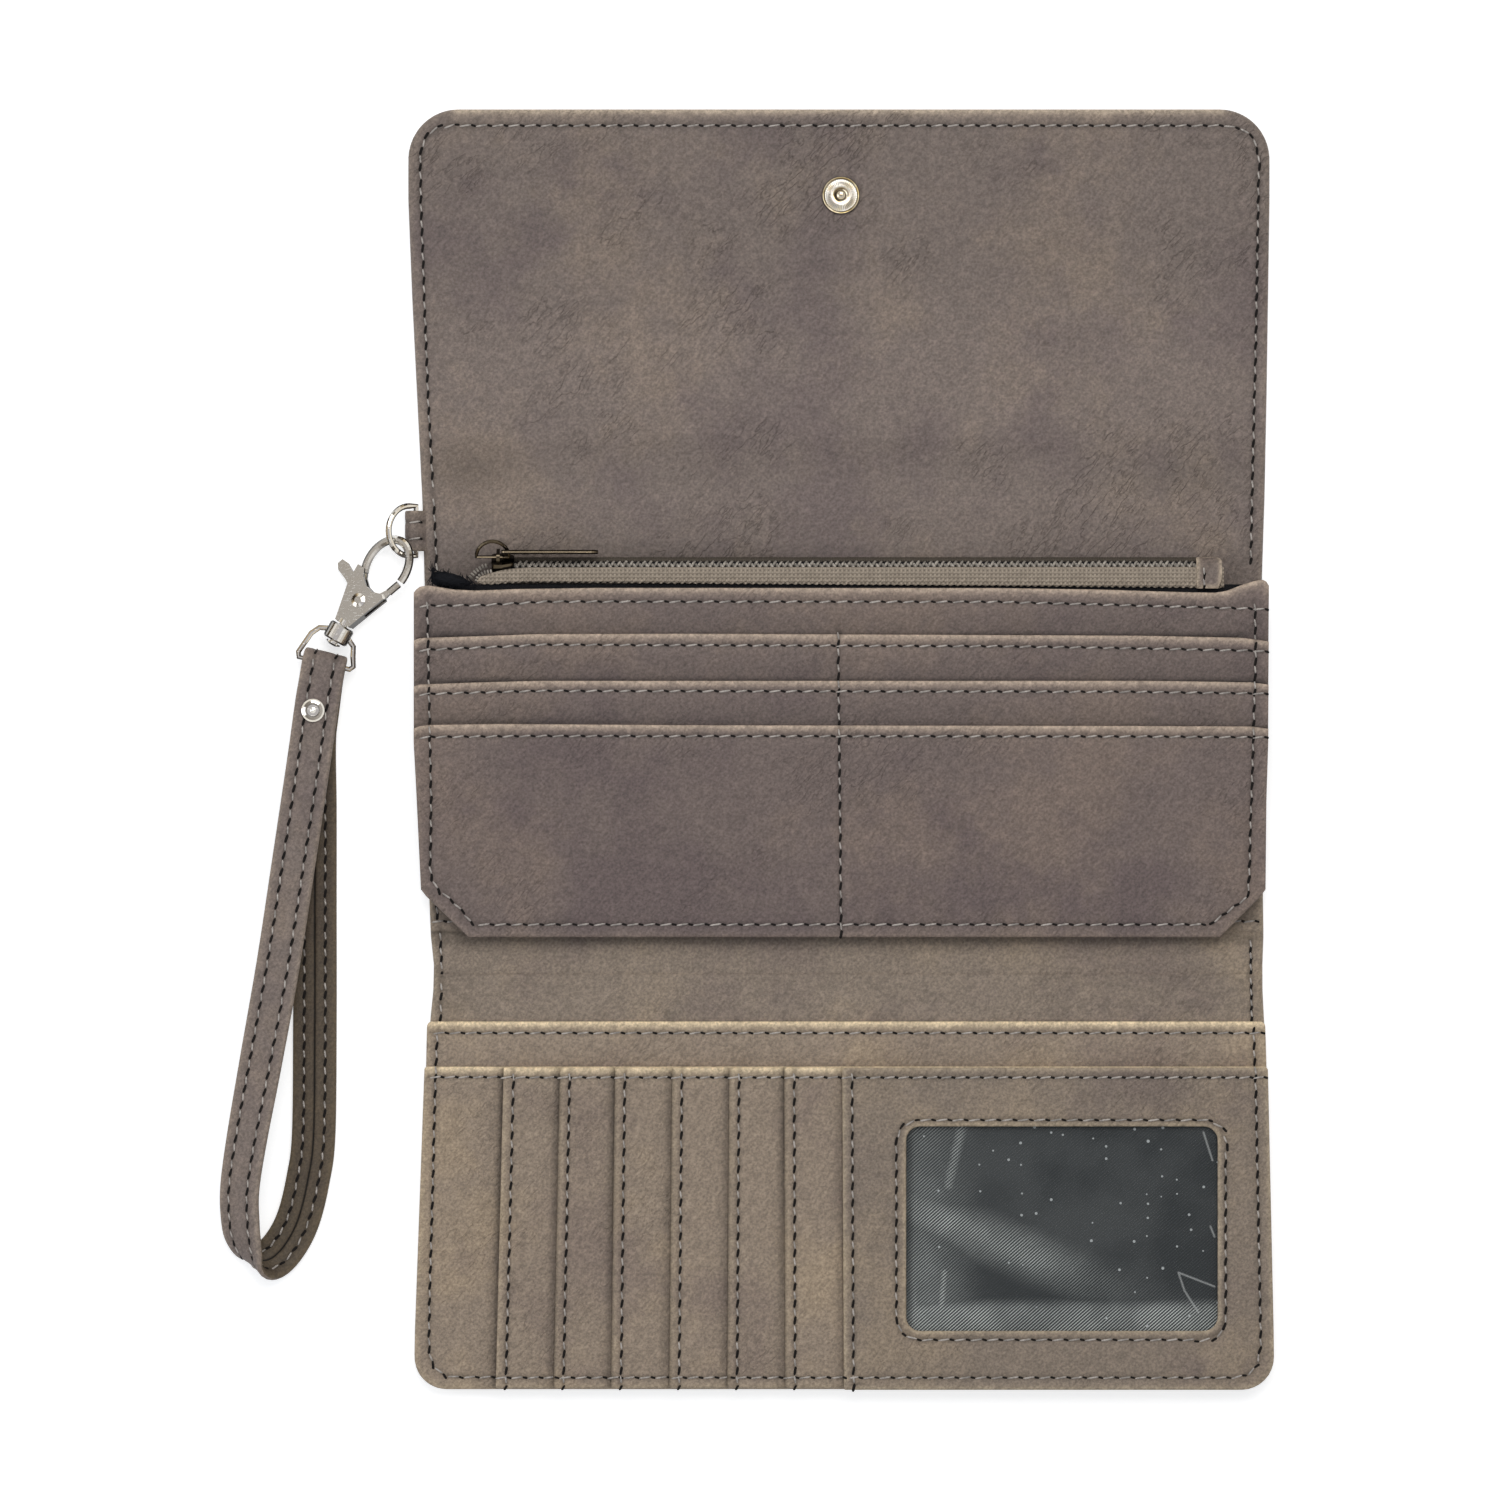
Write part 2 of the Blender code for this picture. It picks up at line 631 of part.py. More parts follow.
def build_spine(prefix, low_half, low, high_half, high):
    """A spine strip: outer cover and lining, with no board so that it can fold."""
    low = low + FOLD_GAP / 2.0
    high = high - FOLD_GAP / 2.0
    cover = strip_outline(low_half, low, high_half, high)
    lining = strip_outline(low_half - LINING_INSET, low, high_half - LINING_INSET, high)
    return [
        leather(prefix + "_cover", cover, COVER_THICK, 0.0, BODY_LEATHER),
        leather(prefix + "_lining", lining, LINING_THICK, LINING_LEVEL, LINING_LEATHER),
    ]


def build_flap():
    """The snap flap: cover, board and lining, with holes for the snap."""
    low = FLAP_FOLD + FOLD_GAP / 2.0
    radius = FLAP_CORNER_RADIUS
    cover = strip_outline(
        FLAP_HALF_WIDTH_AT_FOLD, low, FLAP_HALF_WIDTH_AT_EDGE, FLAP_EDGE, 0.0, radius
    )
    board = strip_outline(
        FLAP_HALF_WIDTH_AT_FOLD - BOARD_INSET, low + BOARD_INSET,
        FLAP_HALF_WIDTH_AT_EDGE - BOARD_INSET, FLAP_EDGE - BOARD_INSET,
        0.0, radius - BOARD_INSET,
    )
    lining = strip_outline(
        FLAP_HALF_WIDTH_AT_FOLD - LINING_INSET, low,
        FLAP_HALF_WIDTH_AT_EDGE - LINING_INSET, FLAP_EDGE - LINING_INSET,
        0.0, radius - LINING_INSET,
    )
    wide = snap_hole(SNAP_CAP_RADIUS, SNAP_LINE)
    narrow = snap_hole(SNAP_SHANK_RADIUS, SNAP_LINE)
    board_piece = plate("flap_stiffener", board, BOARD_THICK, [narrow])
    lining_piece = leather("flap_lining", lining, LINING_THICK, LINING_LEVEL, LINING_LEATHER)
    return [
        leather("flap_cover", cover, COVER_THICK, 0.0, BODY_LEATHER, [wide]),
        place(board_piece, BOARD, moved(z=BOARD_LEVEL)),
        pierce(lining_piece, narrow, LINING_THICK, LINING_LEVEL),
    ]


def build_front_panel():
    """The front panel: cover, board and lining, with holes for the snap socket."""
    high = FRONT_FOLD - FOLD_GAP / 2.0
    radius = FRONT_CORNER_RADIUS
    cover = strip_outline(
        FRONT_HALF_WIDTH_AT_EDGE, FRONT_EDGE, FRONT_HALF_WIDTH_AT_FOLD, high, radius, 0.0
    )
    board = strip_outline(
        FRONT_HALF_WIDTH_AT_EDGE - BOARD_INSET, FRONT_EDGE + BOARD_INSET,
        FRONT_HALF_WIDTH_AT_FOLD - BOARD_INSET, high - BOARD_INSET,
        radius - BOARD_INSET, 0.0,
    )
    lining = strip_outline(
        FRONT_HALF_WIDTH_AT_EDGE - LINING_INSET, FRONT_EDGE + LINING_INSET,
        FRONT_HALF_WIDTH_AT_FOLD - LINING_INSET, high, radius - LINING_INSET, 0.0,
    )
    socket = snap_hole(SOCKET_RADIUS, SOCKET_LINE)
    cap = snap_hole(SNAP_CAP_RADIUS - SNAP_CAP_THICK, SOCKET_LINE)
    board_piece = plate("front_stiffener", board, BOARD_THICK, [socket])
    return [
        leather("front_cover", cover, COVER_THICK, 0.0, BODY_LEATHER, [socket]),
        place(board_piece, BOARD, moved(z=BOARD_LEVEL)),
        leather("front_lining", lining, LINING_THICK, LINING_LEVEL, LINING_LEATHER, [cap]),
    ]


def build_front_pockets():
    """The slip pocket, the slot base and the shingled upright card slots."""
    edge = FRONT_EDGE + POCKET_EDGE_INSET
    slip_top = FRONT_FOLD - SLIP_POCKET_DROP
    base_top = FRONT_FOLD - SLOT_BASE_DROP
    pieces = []
    for name, top, level in (
        ("front_slip_pocket", slip_top, FIRST_POCKET_LEVEL),
        ("slot_base", base_top, SLOT_BASE_LEVEL),
    ):
        outline = strip_outline(
            front_half_width(edge) - POCKET_EDGE_INSET, edge,
            front_half_width(top) - POCKET_EDGE_INSET, top, FRONT_CORNER_RADIUS, 0.0,
        )
        pieces.append(leather(name, outline, POCKET_THICK, level, LINING_LEATHER))
    tilt = math.asin(STRIP_RISE / STRIP_WIDTH)
    for index in range(STRIP_COUNT):
        left = FIRST_STRIP_LEFT + index * STRIP_PITCH
        strip = [
            (0.0, edge + POCKET_EDGE_INSET), (STRIP_WIDTH, edge + POCKET_EDGE_INSET),
            (STRIP_WIDTH, base_top - POCKET_EDGE_INSET), (0.0, base_top - POCKET_EDGE_INSET),
        ]
        piece = plate("upright_slot_" + str(index + 1), strip, POCKET_THICK)
        lay = moved(x=left, z=STRIP_LEVEL + STRIP_RISE) @ turned_about("Y", tilt)
        round_edges(place(piece, LINING_LEATHER, lay))
        pieces.append(piece)
    return pieces


def build_id_window():
    """The last panel with the ID window, the clear film and the black backing."""
    edge = FRONT_EDGE + 2.0 * POCKET_EDGE_INSET
    top = FRONT_FOLD - SLOT_BASE_DROP - POCKET_EDGE_INSET
    corners = [
        (ID_PANEL_LEFT, edge), (front_half_width(edge) - POCKET_EDGE_INSET, edge),
        (front_half_width(top) - POCKET_EDGE_INSET, top), (ID_PANEL_LEFT, top),
    ]
    panel_outline = rounded(corners, [0.0, FRONT_CORNER_RADIUS, 0.0, 0.0])
    window_top = FRONT_FOLD - WINDOW_DROP
    right = WINDOW_RIGHT
    low = window_top - WINDOW_HEIGHT
    window = rounded(
        [(WINDOW_LEFT, low), (right, low), (right, window_top), (WINDOW_LEFT, window_top)],
        [WINDOW_RADIUS] * 4,
    )
    lap = WINDOW_LAP
    backing = [
        (WINDOW_LEFT - lap, low - lap), (right + lap, low - lap),
        (right + lap, window_top + lap), (WINDOW_LEFT - lap, window_top + lap),
    ]
    film_level = ID_PANEL_LEVEL - LAYER_GAP - FILM_THICK
    panel = leather("id_panel", panel_outline, POCKET_THICK, ID_PANEL_LEVEL, LINING_LEATHER,
                    [window])
    film = place(plate("window_film", backing, FILM_THICK), CLEAR_FILM, moved(z=film_level))
    cloth = plate("window_backing", backing, CLOTH_THICK)
    place(cloth, BLACK_CLOTH, moved(z=STRIP_LEVEL))
    return [panel, film, cloth]


def wall_frame(lift):
    """The frame of the sloping pocket wall, at a height above its underside."""
    foot = moved(y=WALL_FOOT, z=FIRST_POCKET_LEVEL)
    return foot @ turned_about("X", WALL_TILT) @ moved(z=lift)


def wall_outline(top):
    """The pocket wall or a slot panel, with its two chamfered lower corners."""
    low_half = wall_half_width(0.0)
    high_half = wall_half_width(top)
    cut = WALL_CHAMFER
    corners = [
        (cut - low_half, 0.0), (low_half - cut, 0.0), (low_half, cut),
        (high_half, top), (-high_half, top), (-low_half, cut),
    ]
    return rounded(corners, [WALL_CORNER_RADIUS] * len(corners))


def build_pocket_block():
    """The sloping pocket wall and the three card slots stacked on it."""
    wall = plate("pocket_front_wall", wall_outline(WALL_HEIGHT), WALL_THICK)
    place(wall, BODY_LEATHER, wall_frame(0.0))
    round_edges(wall)
    pieces = [wall]
    lift = WALL_THICK + LAYER_GAP
    for index, drop in enumerate(CARD_SLOT_DROPS):
        outline = wall_outline(WALL_HEIGHT - drop)
        slot = plate("card_slot_" + str(index + 1), outline, POCKET_THICK)
        place(slot, LINING_LEATHER, wall_frame(lift))
        round_edges(slot)
        pieces.append(slot)
        lift += POCKET_THICK + LAYER_GAP
    return pieces


def build_gussets():
    """The two wedge-shaped leather sides of the zipped pocket."""
    low = WALL_FOOT + GUSSET_START
    high = WALL_FOOT + WALL_HEIGHT - GUSSET_END_INSET
    base = FIRST_POCKET_LEVEL
    side = [
        (low, base), (high, base),
        (high, wall_underside(high) - LAYER_GAP), (low, wall_underside(low) - LAYER_GAP),
    ]
    upright = Matrix(((0.0, 0.0, 1.0, 0.0), (1.0, 0.0, 0.0, 0.0), (0.0, 1.0, 0.0, 0.0),
                      (0.0, 0.0, 0.0, 1.0)))
    outer = BACK_HALF_WIDTH_LOW - GUSSET_INSET + GUSSET_THICK
    pieces = []
    for name, x in (("side_gusset_left", -outer), ("side_gusset_right", outer - GUSSET_THICK)):
        gusset = plate(name, side, GUSSET_THICK)
        pieces.append(place(gusset, BODY_LEATHER, moved(x=x) @ upright))
    return pieces


def build_pouch():
    """The black cloth of the zipped pocket: its rear and its front sheet."""
    half = BACK_HALF_WIDTH_LOW - POUCH_SIDE_INSET
    low = WALL_FOOT + POUCH_START
    rear_top = WALL_FOOT + WALL_HEIGHT
    rear = strip_outline(half, low, half, rear_top)
    front = strip_outline(half, POUCH_START, half, WALL_HEIGHT + POUCH_ABOVE_WALL)
    rear_piece = plate("zip_pouch_rear", rear, CLOTH_THICK)
    front_piece = plate("zip_pouch_front", front, CLOTH_THICK)
    return [
        place(rear_piece, BLACK_CLOTH, moved(z=FIRST_POCKET_LEVEL)),
        place(front_piece, BLACK_CLOTH, wall_frame(-LAYER_GAP - CLOTH_THICK)),
    ]


def zip_point(x, across, out):
    """A point of the zip's frame, in the wallet's frame."""
    return Vector((x, ZIP_LINE, ZIP_HEIGHT)) + ZIP_RISE * across + ZIP_AWAY * out


def zip_matrix(x):
    """Lays a piece on the zip: x back along it, y up across it, z out of its face."""
    along = ZIP_RISE.cross(ZIP_AWAY)
    turn = Matrix((along, ZIP_RISE, ZIP_AWAY)).transposed().to_4x4()
    return moved(x=x, y=ZIP_LINE, z=ZIP_HEIGHT) @ turn


def coil_outline(side, length):
    """One row of teeth: a spine with teeth that reach between those of the other row."""
    count = int(length / COIL_PITCH)
    tooth = COIL_PITCH / 2.0 - COIL_MESH_GAP
    root = COIL_TOOTH_REACH / 2.0
    tip = -side * (root - COIL_MESH_GAP)
    back = side * (root + COIL_SPINE_WIDTH)
    start = 0.0 if side > 0 else COIL_PITCH / 2.0
    points = [(start, back)]
    for index in range(count):
        x = start + index * COIL_PITCH
        points.append((x, side * root))
        points.append((x + COIL_TOOTH_TAPER, tip))
        points.append((x + tooth - COIL_TOOTH_TAPER, tip))
        points.append((x + tooth, side * root))
    points.append((start + (count - 1) * COIL_PITCH + tooth, back))
    return points


def build_zip_chain():
    """The closed zip: two rows of meshed teeth, from the slider's neck to the end tab."""
    length = ZIP_RIGHT - SLIDER_START - NECK_LENGTH - SLIDER_CLEARANCE
    pieces = []
    for name, side in (("zip_coil_front", 1), ("zip_coil_rear", -1)):
        row = plate(name, coil_outline(side, length), COIL_THICK)
        lay = zip_matrix(ZIP_RIGHT) @ moved(z=-COIL_THICK / 2.0)
        pieces.append(place(row, COIL_PLASTIC, lay))
    return pieces


def sheet_along_zip(name, section, thickness, left, right):
    """A cloth strip: a section line of y and z, given a thickness, run along the zip."""
    mesh = bpy.data.meshes.new(name)
    points = []
    for x in (left, right):
        points.extend([(x, y, z) for y, z in section])
    count = len(section)
    faces = [(k, k + 1, count + k + 1, count + k) for k in range(count - 1)]
    mesh.from_pydata(points, [], faces)
    solid = bpy.data.objects.new(name, mesh)
    skin = solid.modifiers.new("cloth", "SOLIDIFY")
    skin.thickness = thickness
    skin.offset = 0.0
    return solid


def build_zip_tapes():
    """The woven tapes: the upper turns in under the wall, the lower goes to the lining."""
    inner = COIL_TOOTH_REACH / 2.0 + COIL_SPINE_WIDTH + LAYER_GAP
    left = SLIDER_START - TAPE_LEFT_OVERRUN
    right = ZIP_RIGHT + TAPE_RIGHT_OVERRUN
    near = zip_point(0.0, inner, 0.0)
    bend = zip_point(0.0, TAPE_LEVEL_EDGE, 0.0)
    upper = [(near.y, near.z), (bend.y, bend.z), (bend.y - TAPE_TOP_RUN, bend.z)]
    low_near = zip_point(0.0, -inner, 0.0)
    low_bend = zip_point(0.0, -TAPE_LEVEL_EDGE, 0.0)
    foot = (low_bend.y, STACK_TOP + TAPE_FOOT_GAP)
    lower = [foot, (low_bend.y, low_bend.z), (low_near.y, low_near.z)]
    front = sheet_along_zip("zip_tape_front", upper, TAPE_THICK, left, right)
    rear = sheet_along_zip("zip_tape_rear", lower, TAPE_THICK, left, right)
    return [place(front, TAPE_CLOTH), place(rear, TAPE_CLOTH)]


def build_end_tab():
    """The small leather tab sewn over the closed end of the zip."""
    half = END_TAB_WIDTH / 2.0
    corners = [(0.0, -half), (END_TAB_LENGTH, -half), (END_TAB_LENGTH, half), (0.0, half)]
    outline = rounded(corners, [END_TAB_RADIUS, 0.0, 0.0, END_TAB_RADIUS])
    tab = plate("zip_end_tab", outline, END_TAB_THICK)
    lift = COIL_THICK / 2.0 + LAYER_GAP
    place(tab, BODY_LEATHER, zip_matrix(ZIP_RIGHT + END_TAB_LENGTH) @ moved(z=lift))
    round_edges(tab)
    return [tab]


def slider_outline():
    """The slider's plate: wide where the rows part, narrower where they leave meshed."""
    half = SLIDER_WIDTH / 2.0
    nose = SLIDER_NOSE_WIDTH / 2.0
    middle = -SLIDER_LENGTH / 2.0
    corners = [(-SLIDER_LENGTH, -nose), (middle, -half), (0.0, -half), (0.0, half),
               (middle, half), (-SLIDER_LENGTH, nose)]
    blunt = nose / 2.0
    return rounded(corners, [blunt, blunt, blunt, blunt, blunt, blunt])


def bail_outline():
    """The arch on the slider that holds the pull ring, seen along the zip."""
    wall = 2.0 * BAIL_WIRE_RADIUS
    foot = SLIDER_PLATE / 2.0
    crown = SLIDER_PLATE + BAIL_HEIGHT
    outer = BAIL_SPAN / 2.0 + wall / 2.0
    inner = outer - wall
    corners = [
        (-outer, foot), (-inner, foot), (-inner, crown - wall), (inner, crown - wall),
        (inner, foot), (outer, foot), (outer, crown), (-outer, crown),
    ]
    soft = BAIL_SPAN / 4.0
    return rounded(corners, [0.0, 0.0, soft, soft, 0.0, 0.0, soft, soft])


def slider_channel():
    """Half the height of the slot through the slider."""
    return COIL_THICK / 2.0 + SLIDER_CLEARANCE


def slider_top():
    """Height of the slider's upper face over the middle of the chain."""
    return slider_channel() + SLIDER_PLATE


def build_slider():
    """Two plates with rims, joined by a neck between the parted rows, and a bail."""
    channel = slider_channel()
    top = slider_top()
    lay = zip_matrix(SLIDER_START)
    body = plate("zip_slider", slider_outline(), SLIDER_PLATE)
    place(body, GUNMETAL, lay @ moved(z=channel))
    under = plate("slider_under_plate", slider_outline(), SLIDER_PLATE)
    tools = [as_cutter(under, lay @ moved(z=-top))]
    half_neck = NECK_WIDTH / 2.0
    inside = SLIDER_PLATE / 2.0
    neck = box_mesh("slider_neck", (-NECK_LENGTH, -half_neck, -channel - inside),
                    (-inside / 2.0, half_neck, channel + inside))
    tools.append(as_cutter(neck, lay))
    bail = plate("slider_bail", bail_outline(), 2.0 * BAIL_WIRE_RADIUS)
    across = Matrix(((0.0, 0.0, 1.0, 0.0), (1.0, 0.0, 0.0, 0.0), (0.0, 1.0, 0.0, 0.0),
                     (0.0, 0.0, 0.0, 1.0)))
    stand = moved(-BAIL_FROM_LEFT - BAIL_WIRE_RADIUS, 0.0, channel)
    tools.append(as_cutter(bail, lay @ stand @ across))
    rim_end = -SLIDER_LENGTH / 2.0
    rim_low = TAPE_THICK / 2.0 + SLIDER_RIM_GAP
    for side in (-1, 1):
        outer = side * (SLIDER_WIDTH / 2.0 - SLIDER_RIM / 2.0)
        inner = outer - side * SLIDER_RIM
        for face in (-1, 1):
            corner = (rim_end, min(outer, inner), min(face * rim_low, face * (channel + inside)))
            other = (-SLIDER_RIM, max(outer, inner), max(face * rim_low, face * (channel + inside)))
            rim = box_mesh("slider_rim", corner, other)
            tools.append(as_cutter(rim, lay))
    for tool in tools:
        combine(body, tool, "UNION")
    return [body]


def pull_bar_centre():
    """The point on the pull ring's hinge line, inside the bail."""
    x = SLIDER_START + BAIL_FROM_LEFT
    return zip_point(x, 0.0, slider_top() + PULL_BAR_CLEARANCE + PULL_WIRE_RADIUS)


def build_pull_ring():
    """The D-shaped ring that hangs in the slider's bail."""
    right = PULL_RING_PAST_BAIL
    left = right - PULL_RING_LENGTH
    half = PULL_RING_LENGTH / 2.0
    middle = (left + right) / 2.0
    points = [(left, 0.0, 0.0), (right, 0.0, 0.0)]
    for step in range(1, PULL_RING_STEPS):
        angle = HALF_TURN * step / PULL_RING_STEPS
        points.append((middle + half * math.cos(angle), PULL_RING_REACH * math.sin(angle), 0.0))
    ring = wire("pull_ring", points, PULL_WIRE_RADIUS, closed=True)
    centre = pull_bar_centre()
    lay = Matrix.Translation(centre) @ turned_about("X", PULL_RING_RAISE)
    shade_round(place(ring, GUNMETAL, lay))
    return [ring]


def pull_tab_centre():
    """Where the pull's hole rides on the ring."""
    rise = Vector((0.0, math.cos(PULL_RING_RAISE), math.sin(PULL_RING_RAISE)))
    along = Vector((PULL_RING_PAST_BAIL, 0.0, 0.0))
    return pull_bar_centre() + along + rise * PULL_TAB_REACH


def build_pull_tab():
    """The long flat pull, seen edge-on, with the hole that the ring passes through."""
    half = PULL_TAB_WIDTH / 2.0
    left = -PULL_TAB_HOLE_INSET
    right = left + PULL_TAB_LENGTH
    corners = [(left, -half), (right, -half), (right, half), (left, half)]
    outline = rounded(corners, [PULL_TAB_HOLE_INSET / 2.0, half, half, PULL_TAB_HOLE_INSET / 2.0])
    tab = plate("pull_tab", outline, PULL_TAB_THICK,
                [circle_outline(PULL_TAB_HOLE_RADIUS, sides=ROUND_SIDES // 2)])
    upright = turned_about("X", QUARTER_TURN)
    lay = Matrix.Translation(pull_tab_centre()) @ upright @ moved(z=-PULL_TAB_THICK / 2.0)
    place(tab, GUNMETAL, lay)
    round_edges(tab, PULL_TAB_ROUND)
    return [tab]


def snap_stud_profile():
    """The stud's turned outline: a ball on a neck in a dish with a raised rim."""
    rim = SNAP_RIM_RADIUS
    lip = SNAP_RIM_HEIGHT
    wall = SNAP_RIM_HEIGHT / 2.0
    ball = SNAP_BALL_RADIUS
    neck = SNAP_NECK_RADIUS
    tall = SNAP_BALL_HEIGHT
    dish = SNAP_DISH_HEIGHT
    return [
        *((ball * out, tall - ball * down) for out, down in SNAP_BALL_SHARES),
        (neck, dish + neck / 4.0), (neck + wall / 2.0, dish),
        (SNAP_DISH_INNER, dish), (SNAP_DISH_OUTER, dish), (rim - wall, lip),
        (rim - wall / 3.0, lip), (rim, lip - wall / 2.0), (rim, wall / 4.0), (rim - wall / 4.0, 0.0),
        (SNAP_SHANK_RADIUS + SNAP_HOLE_CLEARANCE, 0.0),
        (SNAP_SHANK_RADIUS + SNAP_HOLE_CLEARANCE, dish / 2.0), (0.0, dish / 2.0),
    ]


def build_snap_stud():
    """The fluted stud on the flap's lining and the capped post that clenches it."""
    stud = turned("snap_stud", snap_stud_profile())
    level = STACK_TOP + LAYER_GAP
    shade_round(place(stud, NICKEL, moved(y=SNAP_LINE, z=level)))
    top = level + SNAP_DISH_HEIGHT / 2.0 - LAYER_GAP / 2.0
    cap = SNAP_CAP_RADIUS
    low = SNAP_CAP_RECESS
    shank = SNAP_SHANK_RADIUS
    profile = [(0.0, top), (shank, top), (shank, low + SNAP_CAP_THICK),
               (cap, low + SNAP_CAP_THICK), (cap, low + SNAP_CAP_THICK / 2.0),
               (cap - SNAP_CAP_THICK / 2.0, low), (0.0, low)]
    post = turned("snap_stud_post", profile)
    shade_round(place(post, NICKEL, moved(y=SNAP_LINE)))
    return [stud, post]


def build_snap_socket():
    """The socket on the front panel's outer face and the post behind it."""
    bore = SNAP_BALL_RADIUS + SNAP_ENGAGE_CLEARANCE
    low = SNAP_CAP_RECESS
    high = low + SOCKET_HEIGHT
    rim = SOCKET_RADIUS
    soft = SOCKET_ROOF
    profile = [(0.0, high), (rim - soft, high), (rim, high - soft), (rim, low + soft),
               (rim - soft, low), (bore, low), (bore, high - soft), (0.0, high - soft)]
    socket = turned("snap_socket", profile)
    shade_round(place(socket, NICKEL, moved(y=SOCKET_LINE)))
    cap = SNAP_CAP_RADIUS - SNAP_CAP_THICK
    top = STACK_TOP
    foot = high + LAYER_GAP
    shank = SNAP_SHANK_RADIUS
    post = turned("snap_socket_post", [(0.0, top), (cap, top), (cap, LINING_LEVEL),
                                       (shank, LINING_LEVEL), (shank, foot), (0.0, foot)])
    shade_round(place(post, NICKEL, moved(y=SOCKET_LINE)))
    return [socket, post]


def ring_centre():
    """The middle of the D-ring's straight bar, inside the tab's fold."""
    x = -UPPER_SPINE_HALF_WIDTH - TAB_OUTSTAND
    return Vector((x, UPPER_FOLD + TAB_CENTRE_ABOVE_FOLD, RING_BAR_HEIGHT))


def build_ring_tab():
    """The stitched band folded round the D-ring's bar, its tongue inside the spine."""
    bore = RING_WIRE_RADIUS + RING_CLEARANCE
    outer = bore + TAB_PLY
    centre = ring_centre()
    tongue_half = BOARD_THICK / 2.0
    middle = BOARD_LEVEL + tongue_half - centre.z
    edge = TAB_OUTSTAND - LAYER_GAP
    outline = [(edge, middle - tongue_half), (edge, middle + tongue_half)]
    first = TAB_MOUTH_ANGLE
    for step in range(RING_STEPS + 1):
        angle = first + (FULL_TURN - 2.0 * first) * step / RING_STEPS
        outline.append((outer * math.cos(angle), outer * math.sin(angle)))
    loop = plate("ring_tab", outline, TAB_WIDTH,
                 [circle_outline(bore, sides=ROUND_SIDES // 2)])
    upright = turned_about("X", QUARTER_TURN)
    place(loop, BODY_LEATHER,
          Matrix.Translation(centre) @ upright @ moved(z=-TAB_WIDTH / 2.0))
    inside = outer - bore
    low_y = UPPER_FOLD + FOLD_GAP - centre.y
    tongue = box_mesh("ring_tab_tongue",
                      (edge - inside / 4.0, low_y, middle - tongue_half),
                      (edge + TAB_TONGUE_LENGTH, low_y + TAB_TONGUE_WIDTH, middle + tongue_half))
    combine(loop, as_cutter(tongue, Matrix.Translation(centre)), "UNION")
    return [loop]


def ring_frame():
    """The D-ring's frame: x outward from the wallet, y along its bar."""
    return (Matrix.Translation(ring_centre()) @ turned_about("Z", HALF_TURN)
            @ turned_about("Y", -RING_TILT))


def build_d_ring():
    """The D-ring that joins the strap's hook to the wallet."""
    points = [(0.0, -RING_RADIUS, 0.0)]
    for step in range(RING_STEPS + 1):
        angle = -QUARTER_TURN + HALF_TURN * step / RING_STEPS
        x = RING_STRAIGHT + RING_RADIUS * math.cos(angle)
        points.append((x, RING_RADIUS * math.sin(angle), 0.0))
    points.append((0.0, RING_RADIUS, 0.0))
    ring = wire("d_ring", points, RING_WIRE_RADIUS, closed=True)
    shade_round(place(ring, NICKEL, ring_frame()))
    return [ring]


def hook_centre():
    """The middle of the swivel's barrel, where the strap's hook hangs from the ring."""
    return ring_centre() + Vector(HOOK_FROM_RING)


def hook_frame():
    """The snap hook's frame: origin in the swivel, y along the stem to the eye."""
    return (Matrix.Translation(hook_centre()) @ turned_about("Z", HOOK_YAW)
            @ turned_about("Y", -HOOK_ROLL))


def hook_point(shares, height=0.0):
    """A point of the hook, from its place in shares of the hook's length."""
    return (shares[0] * HOOK_LENGTH, shares[1] * HOOK_LENGTH, height)


def eye_points():
    """The eye's centre line, from the claw's tip over the top and down to the cheeks."""
    centre = hook_point(EYE_CENTRE_SHARES)
    points = []
    for step in range(EYE_STEPS + 1):
        angle = EYE_FIRST_ANGLE + (EYE_LAST_ANGLE - EYE_FIRST_ANGLE) * step / EYE_STEPS
        points.append((centre[0] + EYE_HALF_WIDTH * math.cos(angle),
                       centre[1] + EYE_HALF_LENGTH * math.sin(angle), 0.0))
    return points


